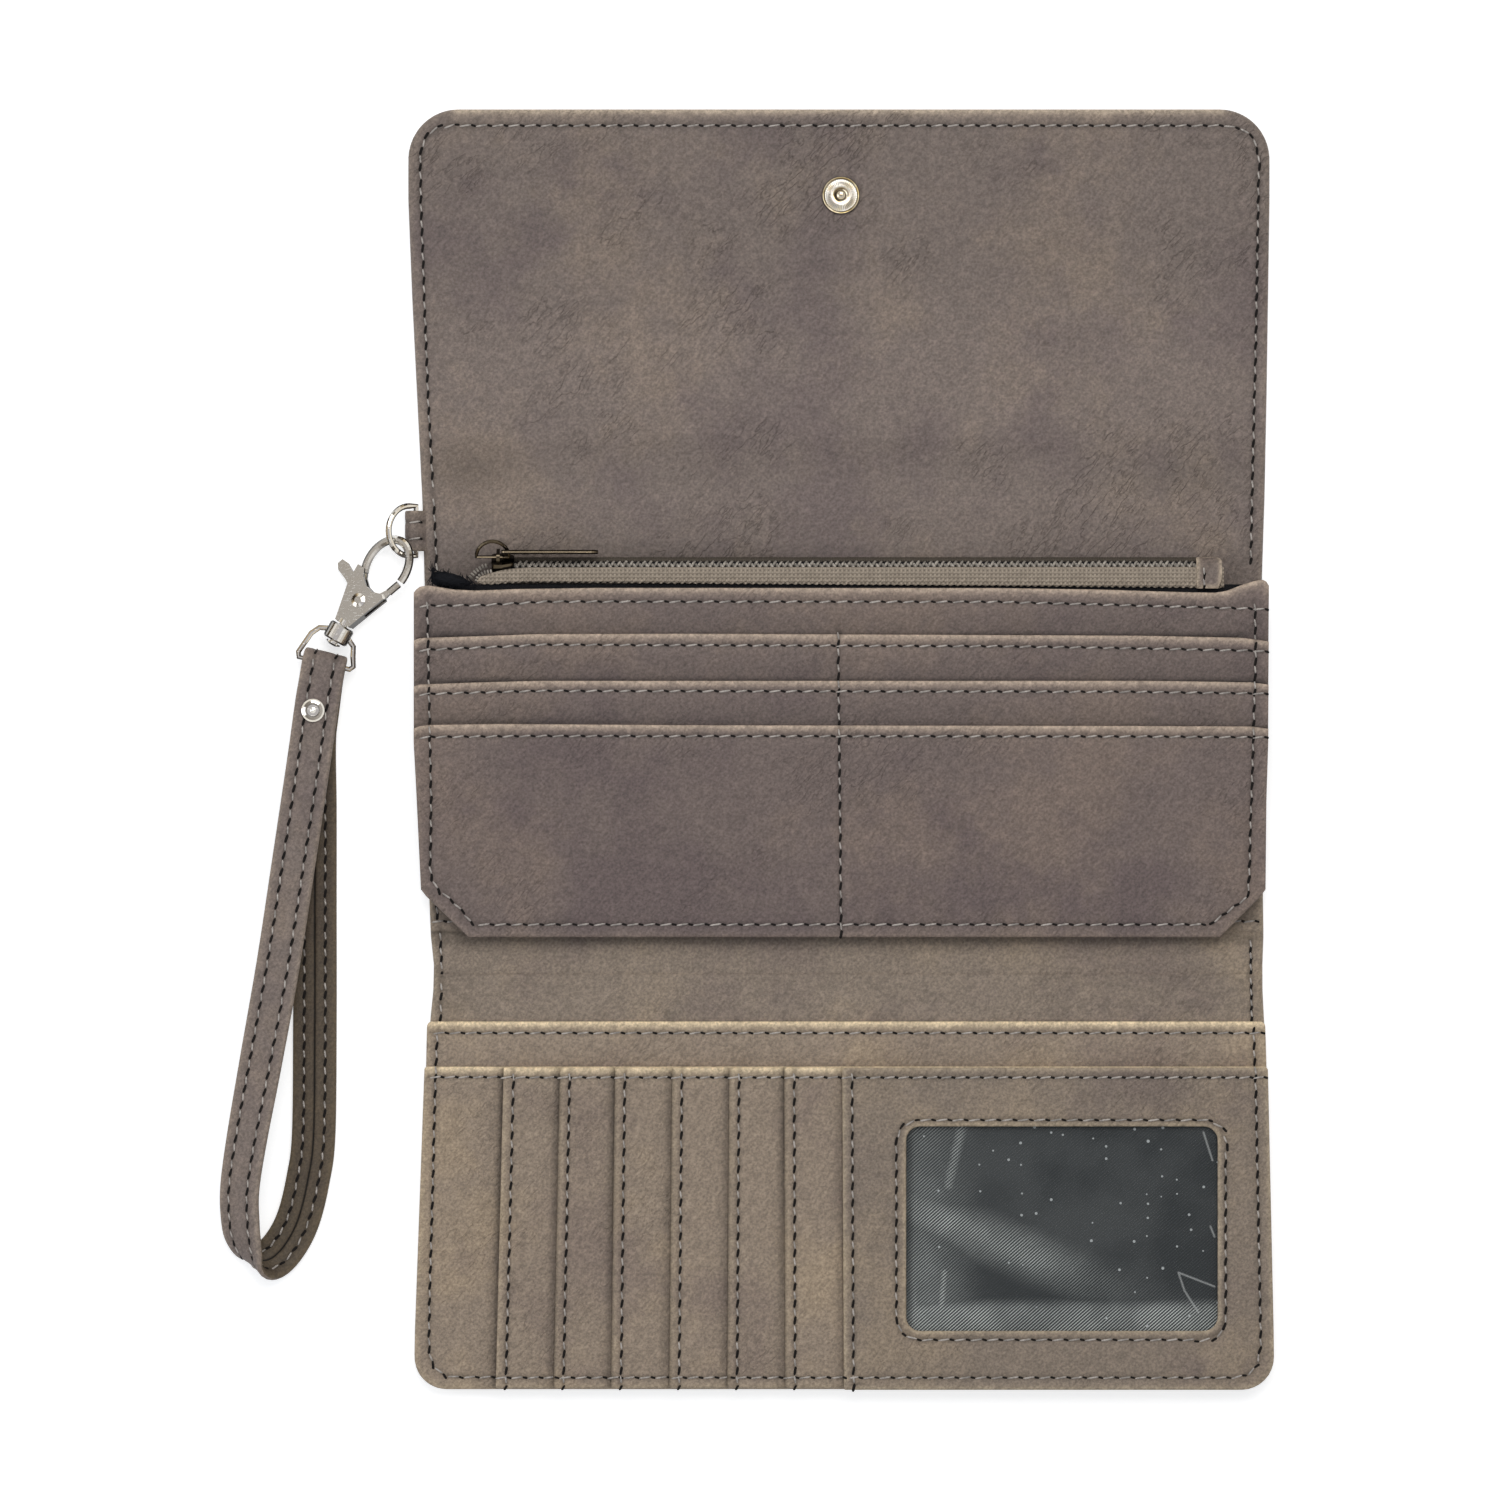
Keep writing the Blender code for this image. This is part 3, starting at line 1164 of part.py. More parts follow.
def build_hook_body():
    """The cast hook: eye, two cheeks with the lever's slot, neck, stem and peened end."""
    frame = hook_frame()
    half = CHEEK_THICK / 2.0
    body = plate("hook_body", scaled_outline(CHEEK_OUTLINE_SHARES, HOOK_LENGTH), CHEEK_THICK)
    place(body, NICKEL, frame @ moved(z=-half))
    slot_low = LEVER_SLOT_START_SHARE * HOOK_LENGTH
    slot_high = LEVER_SLOT_END_SHARE * HOOK_LENGTH
    wide = HOOK_LENGTH / 2.0
    slot = box_mesh("lever_slot", (-wide, slot_low, -LEVER_SLOT / 2.0),
                    (wide, slot_high, LEVER_SLOT / 2.0))
    eye = as_cutter(wire("hook_eye", eye_points(), EYE_STOCK_RADIUS), frame)
    combine(body, eye, "UNION")
    combine(body, as_cutter(slot, frame), "DIFFERENCE")
    neck_end = NECK_END_SHARE * HOOK_LENGTH
    barrel_end = BARREL_LENGTH / 2.0
    peen = -barrel_end - BARREL_GAP
    profile = [
        (0.0, neck_end), (NECK_RADIUS, neck_end), (NECK_RADIUS, barrel_end + BARREL_GAP),
        (STEM_RADIUS, barrel_end + BARREL_GAP), (STEM_RADIUS, peen), (PEEN_RADIUS, peen),
        (PEEN_RADIUS, peen - PEEN_THICK / 2.0), (PEEN_RADIUS / 2.0, peen - PEEN_THICK),
        (0.0, peen - PEEN_THICK),
    ]
    stem = turned("hook_stem", profile)
    combine(body, as_cutter(stem, frame @ turned_about("X", -QUARTER_TURN)), "UNION")
    rivet = hook_point(RIVET_SHARES)
    hole = turned("rivet_hole", cylinder_profile(RIVET_RADIUS + RIVET_CLEARANCE,
                                                 -CHEEK_THICK, CHEEK_THICK))
    combine(body, as_cutter(hole, frame @ Matrix.Translation(Vector(rivet))), "DIFFERENCE")
    return [body]


def build_rivet():
    """The rivet through the cheeks that the lever turns on."""
    half = CHEEK_THICK / 2.0 + RIVET_CLEARANCE
    head = half + RIVET_HEAD_HEIGHT
    wide = RIVET_HEAD_RADIUS
    thin = RIVET_RADIUS
    flat = wide * RIVET_HEAD_FLAT_SHARE
    profile = [(0.0, head), (flat, head), (wide, half), (thin, half), (thin, -half),
               (wide, -half), (flat, -head), (0.0, -head)]
    rivet = turned("hook_rivet", profile)
    lay = hook_frame() @ Matrix.Translation(Vector(hook_point(RIVET_SHARES)))
    shade_round(place(rivet, NICKEL, lay))
    return [rivet]


def build_gate():
    """The sprung lever: thumb tab, hub on the rivet and the finger that shuts the eye."""
    frame = hook_frame()
    lift = -LEVER_THICK / 2.0 + (LEVER_SLOT - LEVER_THICK) / 2.0 - RIVET_CLEARANCE
    rivet = hook_point(RIVET_SHARES)
    hole = circle_outline(RIVET_RADIUS + RIVET_CLEARANCE, rivet[:2], ROUND_SIDES // 2)
    lever = plate("hook_gate", scaled_outline(LEVER_OUTLINE_SHARES, HOOK_LENGTH),
                  LEVER_THICK, [hole])
    place(lever, NICKEL, frame @ moved(z=lift))
    finger = wire("gate_finger", [hook_point(shares) for shares in GATE_FINGER_SHARES],
                  GATE_FINGER_RADIUS)
    combine(lever, as_cutter(finger, frame), "UNION")
    return [lever]


def build_gate_spring():
    """The small spring under the lever: a turn round the rivet with two legs."""
    radius = SPRING_COIL_RADIUS
    lift = -LEVER_SLOT / 2.0 + SPRING_WIRE_RADIUS + RIVET_CLEARANCE / 2.0
    first = SPRING_FIRST_ANGLE
    points = [(radius * math.cos(first) + SPRING_LEG * math.sin(first),
               radius * math.sin(first) - SPRING_LEG * math.cos(first), lift)]
    for step in range(RING_STEPS + 1):
        angle = first + SPRING_WRAP * step / RING_STEPS
        points.append((radius * math.cos(angle), radius * math.sin(angle), lift))
    last = first + SPRING_WRAP
    points.append((radius * math.cos(last) - SPRING_LEG * math.sin(last),
                   radius * math.sin(last) + SPRING_LEG * math.cos(last), lift))
    spring = wire("gate_spring", points, SPRING_WIRE_RADIUS, resolution=2)
    lay = hook_frame() @ Matrix.Translation(Vector(hook_point(RIVET_SHARES)))
    place(spring, SPRING_STEEL, lay)
    return [spring]


def bar_frame():
    """The loop bar's frame: origin at its middle, x along it, y towards the hook."""
    level = turned_about("Z", HOOK_YAW)
    skew = turned_about("Z", LOOP_SKEW)
    centre = moved(LOOP_BAR_SHIFT, -LOOP_BAR_DROP)
    return Matrix.Translation(hook_centre()) @ level @ centre @ skew


def build_swivel_loop():
    """The swivel: a barrel that turns on the stem, and the loop that holds the strap."""
    level = Matrix.Translation(hook_centre()) @ turned_about("Z", HOOK_YAW)
    to_level = level.inverted() @ bar_frame()
    half = LOOP_BAR_HALF
    left = to_level @ Vector((-half, 0.0, 0.0))
    right = to_level @ Vector((half, 0.0, 0.0))
    wall = BARREL_RADIUS - LOOP_WIRE_RADIUS
    rise = BARREL_LENGTH / 4.0
    points = [
        Vector((-wall, 0.0, 0.0)), Vector((-wall - LOOP_BULGE, -rise, 0.0)),
        Vector((-wall - LOOP_BULGE - rise, -3.0 * rise, 0.0)),
        left + Vector((LOOP_CORNER_LEAN, rise, 0.0)), left, right,
        right + Vector((rise / 2.0, rise, 0.0)),
        Vector((wall + LOOP_BULGE + rise, -3.0 * rise, 0.0)),
        Vector((wall + LOOP_BULGE, -rise, 0.0)), Vector((wall, 0.0, 0.0)),
    ]
    loop = wire("swivel_loop", points, LOOP_WIRE_RADIUS)
    shade_round(place(loop, NICKEL, level))
    end = BARREL_LENGTH / 2.0
    bore = STEM_RADIUS + STEM_CLEARANCE
    soft = CHEEK_ROUND
    barrel = turned("swivel_barrel", [
        (bore, end), (BARREL_RADIUS - soft, end), (BARREL_RADIUS, end - soft),
        (BARREL_RADIUS, soft - end), (BARREL_RADIUS - soft, -end), (bore, -end), (bore, end),
    ])
    combine(loop, as_cutter(barrel, level @ turned_about("X", -QUARTER_TURN)), "UNION")
    return [loop]


def strap_station(shares):
    """A station of the strap's route: its centre and the direction of its width."""
    x, y, z, yaw, tilt = shares
    bar = bar_frame().translation
    centre = Vector((bar.x + x * STRAP_DROP, bar.y + y * STRAP_DROP, z * STRAP_LIFT))
    yaw, tilt = math.radians(yaw), math.radians(tilt)
    level = math.cos(tilt)
    return centre, Vector((level * math.cos(yaw), level * math.sin(yaw), math.sin(tilt)))


def strap_stations():
    """The strap's whole route: tail, wrap round the bar, front strand, fold, back strand."""
    stations = [strap_station(shares) for shares in STRAP_TAIL_SHARES]
    frame = bar_frame()
    radius = LOOP_WIRE_RADIUS + STRAP_BAR_CLEARANCE + STRAP_THICK / 2.0
    width = (frame.to_3x3() @ Vector((1.0, 0.0, 0.0))).normalized()
    for step in range(STRAP_WRAP_STEPS + 1):
        angle = HALF_TURN * step / STRAP_WRAP_STEPS - QUARTER_TURN
        around = Vector((0.0, radius * math.cos(angle), radius * math.sin(angle)))
        stations.append((frame @ around, width))
    return stations + [strap_station(shares) for shares in STRAP_ROUTE_SHARES]


def smooth_between(before, start, end, after, share):
    """A point on the smooth curve through start and end."""
    square = share * share
    cube = square * share
    return (
        2.0 * start + (end - before) * share
        + (2.0 * before - 5.0 * start + 4.0 * end - after) * square
        + (3.0 * start - before - 3.0 * end + after) * cube
    ) / 2.0


def strap_line():
    """The smoothed route: centres and width directions at close steps."""
    stations = strap_stations()
    last = len(stations) - 1
    line = []
    for index in range(last):
        picks = [stations[max(index - 1, 0)], stations[index], stations[index + 1],
                 stations[min(index + 2, last)]]
        gap = (picks[2][0] - picks[1][0]).length
        steps = max(1, min(STRAP_POINTS_PER_STATION, round(gap / STRAP_THICK)))
        for step in range(steps):
            share = step / steps
            centre = smooth_between(*[pick[0] for pick in picks], share)
            width = smooth_between(*[pick[1] for pick in picks], share)
            line.append((centre, width.normalized()))
    line.append(stations[last])
    return line


def build_wrist_strap():
    """The flat leather strap and the rivet that closes it under the swivel."""
    line = strap_line()
    half = STRAP_WIDTH / 2.0
    points = []
    for index, (centre, width) in enumerate(line):
        ahead = line[min(index + 1, len(line) - 1)][0] - line[max(index - 1, 0)][0]
        ahead.normalize()
        across = (width - ahead * width.dot(ahead)).normalized()
        points.extend((centre - across * half, centre + across * half))
    faces = [(2 * k, 2 * k + 1, 2 * k + 3, 2 * k + 2) for k in range(len(line) - 1)]
    mesh = bpy.data.meshes.new("wrist_strap")
    mesh.from_pydata([tuple(point) for point in points], [], faces)
    strap = place(bpy.data.objects.new("wrist_strap", mesh), STRAP_LEATHER)
    skin = strap.modifiers.new("leather", "SOLIDIFY")
    skin.thickness = STRAP_THICK
    skin.offset = 0.0
    shaft = STRAP_RIVET_SHANK + STRAP_RIVET_HOLE_CLEARANCE
    hole = turned("strap_hole", cylinder_profile(shaft, -STRAP_THICK, STRAP_LIFT + STRAP_THICK))
    combine(strap, as_cutter(hole, strap_rivet_place()), "DIFFERENCE")
    round_edges(strap)
    return [strap] + build_strap_rivet()


def strap_rivet_place():
    """Where the strap's rivet stands, at table height."""
    bar = bar_frame().translation
    x, y = STRAP_RIVET_SHARES
    return moved(bar.x + x * STRAP_DROP, bar.y + y * STRAP_DROP)


def build_strap_rivet():
    """The capped rivet through the three plies of the strap, with its washer below."""
    rivet_line = STRAP_RIVET_SHARES[1]
    front = [shares for shares in STRAP_ROUTE_SHARES if shares[1] == rivet_line][0]
    back = STRAP_ROUTE_SHARES[-1]
    half = STRAP_THICK / 2.0 + STRAP_RIVET_GAP
    top = front[2] * STRAP_LIFT + half
    low = back[2] * STRAP_LIFT - half
    cap = STRAP_RIVET_RADIUS
    brim = top + STRAP_RIVET_HEIGHT / 2.0
    crown = top + STRAP_RIVET_HEIGHT
    inner = STRAP_RIVET_INNER_RADIUS
    foot = low - STRAP_WASHER_THICK
    profile = [
        (0.0, crown - STRAP_RIVET_INNER_HEIGHT / 2.0), (inner / 2.0, crown - STRAP_RIVET_INNER_HEIGHT),
        (inner, crown - STRAP_RIVET_INNER_HEIGHT), (inner + STRAP_RIVET_INNER_HEIGHT, crown),
        (cap - STRAP_RIVET_INNER_HEIGHT, crown - STRAP_RIVET_INNER_HEIGHT / 2.0), (cap, brim),
        (cap, top), (STRAP_RIVET_SHANK, top), (STRAP_RIVET_SHANK, low),
        (STRAP_WASHER_RADIUS, low), (STRAP_WASHER_RADIUS, foot), (0.0, foot),
    ]
    return [shade_round(place(turned("strap_rivet", profile), NICKEL, strap_rivet_place()))]


def build_all():
    """Model every piece and hang the moving ones on their joint axes."""
    back = build_back_panel() + build_pocket_block() + build_gussets() + build_pouch()
    back += build_zip_chain() + build_zip_tapes() + build_end_tab()
    build_spine("upper_spine", UPPER_SPINE_HALF_WIDTH, UPPER_FOLD,
                FLAP_HALF_WIDTH_AT_FOLD, FLAP_FOLD)
    lower = build_spine("lower_spine", FRONT_HALF_WIDTH_AT_FOLD, FRONT_FOLD,
                        LOWER_SPINE_HALF_WIDTH, LOWER_FOLD)
    flap = build_flap() + build_snap_stud()
    front = build_front_panel() + build_front_pockets() + build_id_window()
    front += build_snap_socket()
    build_ring_tab()
    hook_origin = hook_frame().translation
    rivet = hook_frame() @ Vector(hook_point(RIVET_SHARES))
    pivot("upper_fold_axis", (0.0, UPPER_FOLD, STACK_TOP), back)
    pivot("flap_fold_axis", (0.0, FLAP_FOLD, STACK_TOP), flap)
    pivot("lower_fold_axis", (0.0, LOWER_FOLD, STACK_TOP), lower)
    pivot("front_fold_axis", (0.0, FRONT_FOLD, STACK_TOP), front)
    pivot("zip_axis", (SLIDER_START, ZIP_LINE, ZIP_HEIGHT), build_slider())
    pivot("pull_ring_axis", pull_bar_centre(), build_pull_ring())
    pivot("pull_tab_axis", pull_tab_centre(), build_pull_tab())
    pivot("ring_axis", ring_centre(), build_d_ring())
    pivot("hook_axis", hook_origin, build_hook_body() + build_rivet() + build_gate_spring())
    pivot("gate_axis", rivet, build_gate())
    pivot("swivel_axis", hook_origin, build_swivel_loop())
    pivot("strap_axis", bar_frame().translation, build_wrist_strap())


build_all()
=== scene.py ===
import json
import math

import bpy
import numpy as np
from bpy.props import FloatProperty, FloatVectorProperty, PointerProperty
from mathutils import Matrix, Vector
from mathutils.bvhtree import BVHTree

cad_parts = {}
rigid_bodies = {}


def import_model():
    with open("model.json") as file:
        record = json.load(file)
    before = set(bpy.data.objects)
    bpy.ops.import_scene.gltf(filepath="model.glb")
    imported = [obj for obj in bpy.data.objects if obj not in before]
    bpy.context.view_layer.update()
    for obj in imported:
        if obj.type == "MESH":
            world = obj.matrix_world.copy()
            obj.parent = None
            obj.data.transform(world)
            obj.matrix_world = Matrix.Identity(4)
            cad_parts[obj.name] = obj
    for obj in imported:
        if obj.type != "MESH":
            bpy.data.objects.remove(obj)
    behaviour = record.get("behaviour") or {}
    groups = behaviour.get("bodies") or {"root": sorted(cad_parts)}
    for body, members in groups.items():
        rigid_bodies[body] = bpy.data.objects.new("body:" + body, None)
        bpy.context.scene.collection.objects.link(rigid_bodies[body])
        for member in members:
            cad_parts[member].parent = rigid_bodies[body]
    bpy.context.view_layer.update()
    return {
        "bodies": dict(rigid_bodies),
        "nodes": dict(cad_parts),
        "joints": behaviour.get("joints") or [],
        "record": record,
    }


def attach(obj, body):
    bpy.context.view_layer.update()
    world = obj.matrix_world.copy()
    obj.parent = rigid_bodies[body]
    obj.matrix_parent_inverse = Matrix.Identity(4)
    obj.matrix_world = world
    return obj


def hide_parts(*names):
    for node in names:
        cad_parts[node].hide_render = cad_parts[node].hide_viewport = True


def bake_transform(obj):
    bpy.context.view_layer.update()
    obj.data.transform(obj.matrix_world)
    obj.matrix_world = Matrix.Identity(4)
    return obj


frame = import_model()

bl_info = {
    "name": "Strap wallet",
    "version": (1, 0, 0),
    "blender": (4, 5, 0),
    "location": "3D View > Sidebar > Wallet",
    "description": "Dresses the strap wallet's frame in leather, thread, metal and cloth",
    "category": "Object",
}

# Measures of the view from above: metres to a pixel, and the pixel at the origin
PX = 0.000238
ORIGIN_PX = (841.0, 748.5)
PICTURE_SIDE = 0.357
MM = 0.001

# Heights of the leather layers
SLAB_LOW = 0.0003
SLAB_THICK = 0.0028
WALL_FOOT_Y = -0.0446
WALL_SLOPE = math.tan(math.radians(5.15))
WALL_LEVEL = 0.00335
WALL_THICK = 0.0012
GUSSET_LINE = 0.0969
POUCH_FOOT = -0.0296
SLOT_THICK = 0.0009
SLOT_LIFTS = (0.00145, 0.0026, 0.00375)
SLIP_LEVEL = 0.00335
BASE_LEVEL = 0.0045
STRIP_LEVEL = 0.00723
STRIP_SLOPE = 0.0861
STRIP_WIDTH_PX = 77.0
FILM_LEVEL = 0.00670
TWILL_LEVEL = 0.00585

# Folds, as places along the wallet
UPPER_FOLD = 0.0502
FLAP_FOLD = 0.0716
LOWER_FOLD = -0.0452
FRONT_FOLD = -0.0622

# Distances from an edge, in pixels, at which a layer's grid is close
CLOSE_PX = (0.0, 0.4, 1.0, 1.8, 2.8, 4.2, 6.0, 8.0, 9.6, 11.0, 12.4, 13.8, 15.4, 18.0, 22.0)
COARSE_PX = 6.5

# Sides of the panels: line down the picture, left edge, right edge
FLAP_SIDES = ((108, 408, 1270), (200, 408, 1270), (300, 412, 1268.5), (400, 417, 1267),
              (500, 422, 1265), (530, 423, 1264), (575, 424, 1262.5), (640, 426, 1262))
BACK_SIDES = ((640, 426, 1262), (900, 429, 1263.5), (936, 430.5, 1264), (965, 433.5, 1263),
              (990, 433, 1263), (1020, 430, 1264.5))
FRONT_SIDES = ((970, 433.5, 1263), (990, 433, 1263), (1020, 430, 1264.5), (1040, 429, 1266),
               (1070, 427, 1267), (1330, 416.5, 1271.5), (1389, 415.5, 1272))
SLIP_SIDES = ((1021, 427, 1265.2), (1067, 426, 1266.6), (1330, 415.6, 1272.4), (1389, 414.6, 1273))
BASE_SIDES = ((1066, 424.6, 1267.2), (1330, 415, 1273), (1389, 414, 1273.6))
WALL_SIDES = ((580, 414.6, 1267.6), (740, 414.6, 1266.8), (800, 417.5, 1265.2),
              (890, 421.5, 1264.7), (937, 423, 1265))

# Top edges of the layers: across the picture, down the picture
WALL_RIM = ((414, 594), (417, 590), (421, 587), (428, 586), (440, 587.5), (455, 590), (476, 591),
            (515, 589.5), (600, 588.3), (1000, 588.5), (1100, 590), (1180, 592.5), (1215, 593.2),
            (1226, 591), (1240, 585.5), (1253, 581.5), (1261, 580), (1265, 582), (1268, 587))
SLOT_RIMS = (
    ((414, 641), (420, 638.6), (430, 638), (480, 636.5), (540, 634.3), (700, 634), (1140, 636),
     (1240, 638), (1256, 640), (1268, 642)),
    ((414, 687), (420, 684.8), (430, 684.3), (480, 682.5), (540, 681), (1150, 681), (1250, 682.5),
     (1268, 685)),
    ((414, 729), (420, 726.3), (430, 725), (500, 724), (700, 725.3), (1150, 726), (1250, 726.5),
     (1268, 729)),
)
STRIP_EDGES = ((504, 496), (560, 553.5), (615, 611), (672, 669), (729, 727), (784, 785))
PANEL_EDGE = (842, 843.6)
WINDOW_PX = (906, 1126, 1217, 1330)
BLOCK_FOOT = 937.0
FRONT_FOOT = 1389.0
BACK_TO_FLAP = 492.6
BACK_MIDDLE = 748.5
BACK_TO_FRONT = 974.5

# How far below a top edge its curve is felt, in pixels, and how deep seams pull the leather in
RIM_REACH_PX = 60.0
SEAM_DENT = 0.16 * MM

# The film's creases, where highlights are painted, as lines between two pixels
FILM_CREASES = (((1178, 1272), (1214, 1286)), ((1178, 1272), (1184, 1290)),
                ((1184, 1290), (1198, 1312)), ((1203, 1132), (1212, 1160)),
                ((1210, 1226), (1214, 1236)))

# Sockets of the shared groups that carry colours, and how much lighter edges are: wear and painted
# highlight
COLOUR_SOCKETS = ("Colour", "Light", "Dark", "Rim", "Tint")
RIM_GAINS = (3.05, 3.10, 2.68)

# The snap: its place, and its painted reflections and shade as colours at shares of a reach from
# its middle outwards
SNAP_LINE = 0.1317
SNAP_REACH = 5.0 * MM
SNAP_RINGS = ((0.0, (0.05, 0.03, 0.012)), (0.06, (0.16, 0.11, 0.04)), (0.11, (0.82, 0.77, 0.66)),
              (0.22, (0.70, 0.60, 0.42)), (0.27, (0.03, 0.02, 0.012)), (0.31, (0.10, 0.07, 0.03)),
              (0.36, (0.56, 0.44, 0.24)), (0.45, (0.86, 0.82, 0.76)), (0.70, (0.84, 0.82, 0.80)),
              (0.75, (0.90, 0.88, 0.84)), (0.79, (0.26, 0.18, 0.07)), (0.84, (0.52, 0.40, 0.18)),
              (0.89, (0.92, 0.90, 0.86)), (1.0, (0.62, 0.56, 0.46)))

# The snap stud's outline in millimetres: out from its axis and up, from the ball's top to its foot
SNAP_PROFILE = (
    (0.0, 1.95), (0.35, 1.93), (0.70, 1.84), (1.00, 1.66), (1.22, 1.40), (1.30, 1.12), (1.24, 0.86),
    (1.10, 0.70), (1.06, 0.60), (1.30, 0.55), (1.60, 0.55), (1.85, 0.57), (2.05, 0.60),
    (2.25, 0.62), (2.60, 0.58), (3.00, 0.54), (3.40, 0.50), (3.66, 0.46), (3.80, 0.50),
    (3.92, 0.66), (4.06, 0.80), (4.22, 0.84), (4.38, 0.76), (4.47, 0.60), (4.50, 0.38),
    (4.46, 0.12), (4.30, 0.0), (2.0, 0.0), (0.0, 0.0),
)

# The middle of the zip's long pull, where its worn brass and painted highlight run
PULL_LINE = 0.04665

# The seam down the front's left side, along its foot and up its right side
FRONT_TURN = ((436, 1066), (429, 1330), (429.6, 1352), (433, 1364), (441, 1372.4), (452, 1376.2),
              (470, 1376.8), (1232, 1376.8), (1247, 1374), (1256, 1365), (1260, 1345), (1260, 1330),
              (1254.6, 1066))

# Seams on the view from above: ground, pitch in pixels, points
SEAMS = (
    ("flap", 16.2, ((433, 492), (428, 400), (424.3, 300), (420.6, 200), (420.2, 158), (424, 141),
                    (434, 129.5), (452, 125.3), (1226, 125.3), (1243, 129), (1254.5, 139),
                    (1259, 158), (1258.6, 200), (1256.8, 300), (1254.3, 420), (1252.6, 492))),
    ("back_high", 16.2, ((433.2, 494), (437, 575))),
    ("back_high", 16.2, ((1252.5, 494), (1251, 562))),
    ("back_low", 16.0, ((430, 921.5), (474, 921.5))),
    ("back_low", 16.0, ((1229, 921.5), (1256, 921.5))),
    ("back_low", 11.0, ((435.6, 894), (437.4, 916))),
    ("back_low", 17.5, ((440, 929), (441.5, 973))),
    ("back_low", 11.5, ((1251, 938), (1251, 973))),
    ("front_low", 19.5, ((441.5, 976), (440.5, 1019))),
    ("front_low", 11.5, ((1251, 976), (1252, 1019))),
    ("block", 16.5, ((417.5, 607), (430, 606), (480, 605.6), (550, 602), (1000, 602.3), (1140, 606),
                     (1250, 609), (1265.5, 610))),
    ("block", 16.5, ((417.5, 651), (430, 650), (500, 647), (540, 645), (1000, 646.5), (1140, 648.6),
                     (1252, 651), (1265.5, 652))),
    ("block", 16.5, ((417.5, 695), (431, 694), (500, 692), (540, 691), (1140, 692), (1250, 693.5),
                     (1265, 694))),
    ("block", 16.5, ((417.5, 738), (432, 737), (540, 736), (1140, 736.5), (1265, 737.5))),
    ("block", 16.5, ((838, 628), (838.5, 700), (840.5, 880), (841, 934))),
    ("block", 15.3, ((428, 598), (430, 700), (432, 800), (431, 869.6), (436.3, 885.5),
                     (459.8, 907.8), (473, 924))),
    ("block", 16.5, ((476, 924.3), (1203, 924.3))),
    ("block", 15.3, ((1253.4, 600), (1254.3, 655), (1250, 800), (1248.5, 870), (1247, 896.5),
                     (1211, 923))),
    ("pockets", 15.9, ((431, 1033), (1263, 1033))),
    ("pockets", 15.9, ((437.5, 1030), *FRONT_TURN, (1253.6, 1030))),
    ("pockets", 14.2, ((428.5, 1077), (1265, 1077))),
    ("pockets", 16.3, ((917, 1119.5), (1204, 1119.5), (1219, 1125.5), (1225, 1140), (1225, 1318),
                       (1219, 1333), (1204, 1339), (917, 1339), (902, 1333), (896, 1318),
                       (896, 1140), (902, 1125.5), (917, 1119.5))),
    *(("pockets", 16.4, ((top + 10, 1068), (foot + 10, 1387)))
      for top, foot in (*STRIP_EDGES, PANEL_EDGE)),
)

# Rows of stitches on the outer face of the back and the front: pitch, points
OUTER_ROWS = (
    (16.2, ((433.2, 494), (437, 746))), (16.2, ((1252.5, 494), (1251, 746))),
    (16.2, ((437, 750), (441.5, 972))), (16.2, ((1251, 750), (1251, 972))),
    (15.9, ((441.5, 977), (440.5, 1025), *FRONT_TURN, (1252, 1025), (1251, 977))),
)


def photo_x(px):
    """Metres across the wallet at a pixel of the view from above."""
    return (np.asarray(px, float) - ORIGIN_PX[0]) * PX


def photo_y(py):
    """Metres along the wallet at a pixel of the view from above."""
    return (ORIGIN_PX[1] - np.asarray(py, float)) * PX


def on_wallet(points):
    """Pixels of the view from above as places on the wallet."""
    px = np.array(points, float)
    return np.stack((photo_x(px[:, 0]), photo_y(px[:, 1])), axis=1)


def pixels(x, y):
    """The pixels of the view from above at places on the wallet."""
    return ORIGIN_PX[0] + x / PX, ORIGIN_PX[1] - y / PX


def bell(gap, width):
    """A soft bump: 1 where there is no gap, fading over the width."""
    return np.exp(-((gap / width) ** 2))


def smooth(share):
    """A soft step from 0 to 1."""
    share = np.clip(share, 0.0, 1.0)
    return share * share * (3.0 - 2.0 * share)


def table(rows, at, column=1):
    """A value read from a table of places."""
    return np.interp(at, [row[0] for row in rows], [row[column] for row in rows])


def waves(x, y, seed=0.0, wide=0.04):
    """Soft, uneven swells of a leather surface, from -1 to 1."""
    total = np.zeros_like(x)
    for k in range(7):
        turn = 2.399 * k + seed
        run = math.tau / (wide * (0.45 + 0.17 * k))
        total += np.sin((x * math.cos(turn) + y * math.sin(turn)) * run + 1.7 * k * k + seed) / 7.0
    return total


def spot(x, y, px, py, wide, tall):
    """A soft spot about a pixel of the view from above."""
    return bell(x - photo_x(px), wide * PX) * bell(y - photo_y(py), tall * PX)


def looks():
    """The wallet's sizes and colours."""
    return bpy.context.scene.wallet_looks


def deselect():
    """Leaves nothing selected."""
    bpy.ops.object.select_all(action="DESELECT")


def pick(piece):
    """Leaves only this piece selected and active."""
    deselect()
    piece.select_set(True)
    bpy.context.view_layer.objects.active = piece


def coordinates(piece):
    """A mesh's vertices as an array."""
    places = np.empty(len(piece.data.vertices) * 3)
    piece.data.vertices.foreach_get("co", places)
    return places.reshape(-1, 3)


def set_coordinates(piece, places):
    """Moves a mesh's vertices."""
    piece.data.vertices.foreach_set("co", np.ascontiguousarray(places, float).ravel())
    piece.data.update()


def paint(piece, name, values):
    """Stores a mask on a mesh's vertices."""
    layer = piece.data.attributes.new(name, "FLOAT", "POINT")
    layer.data.foreach_set("value", np.ascontiguousarray(values, float))


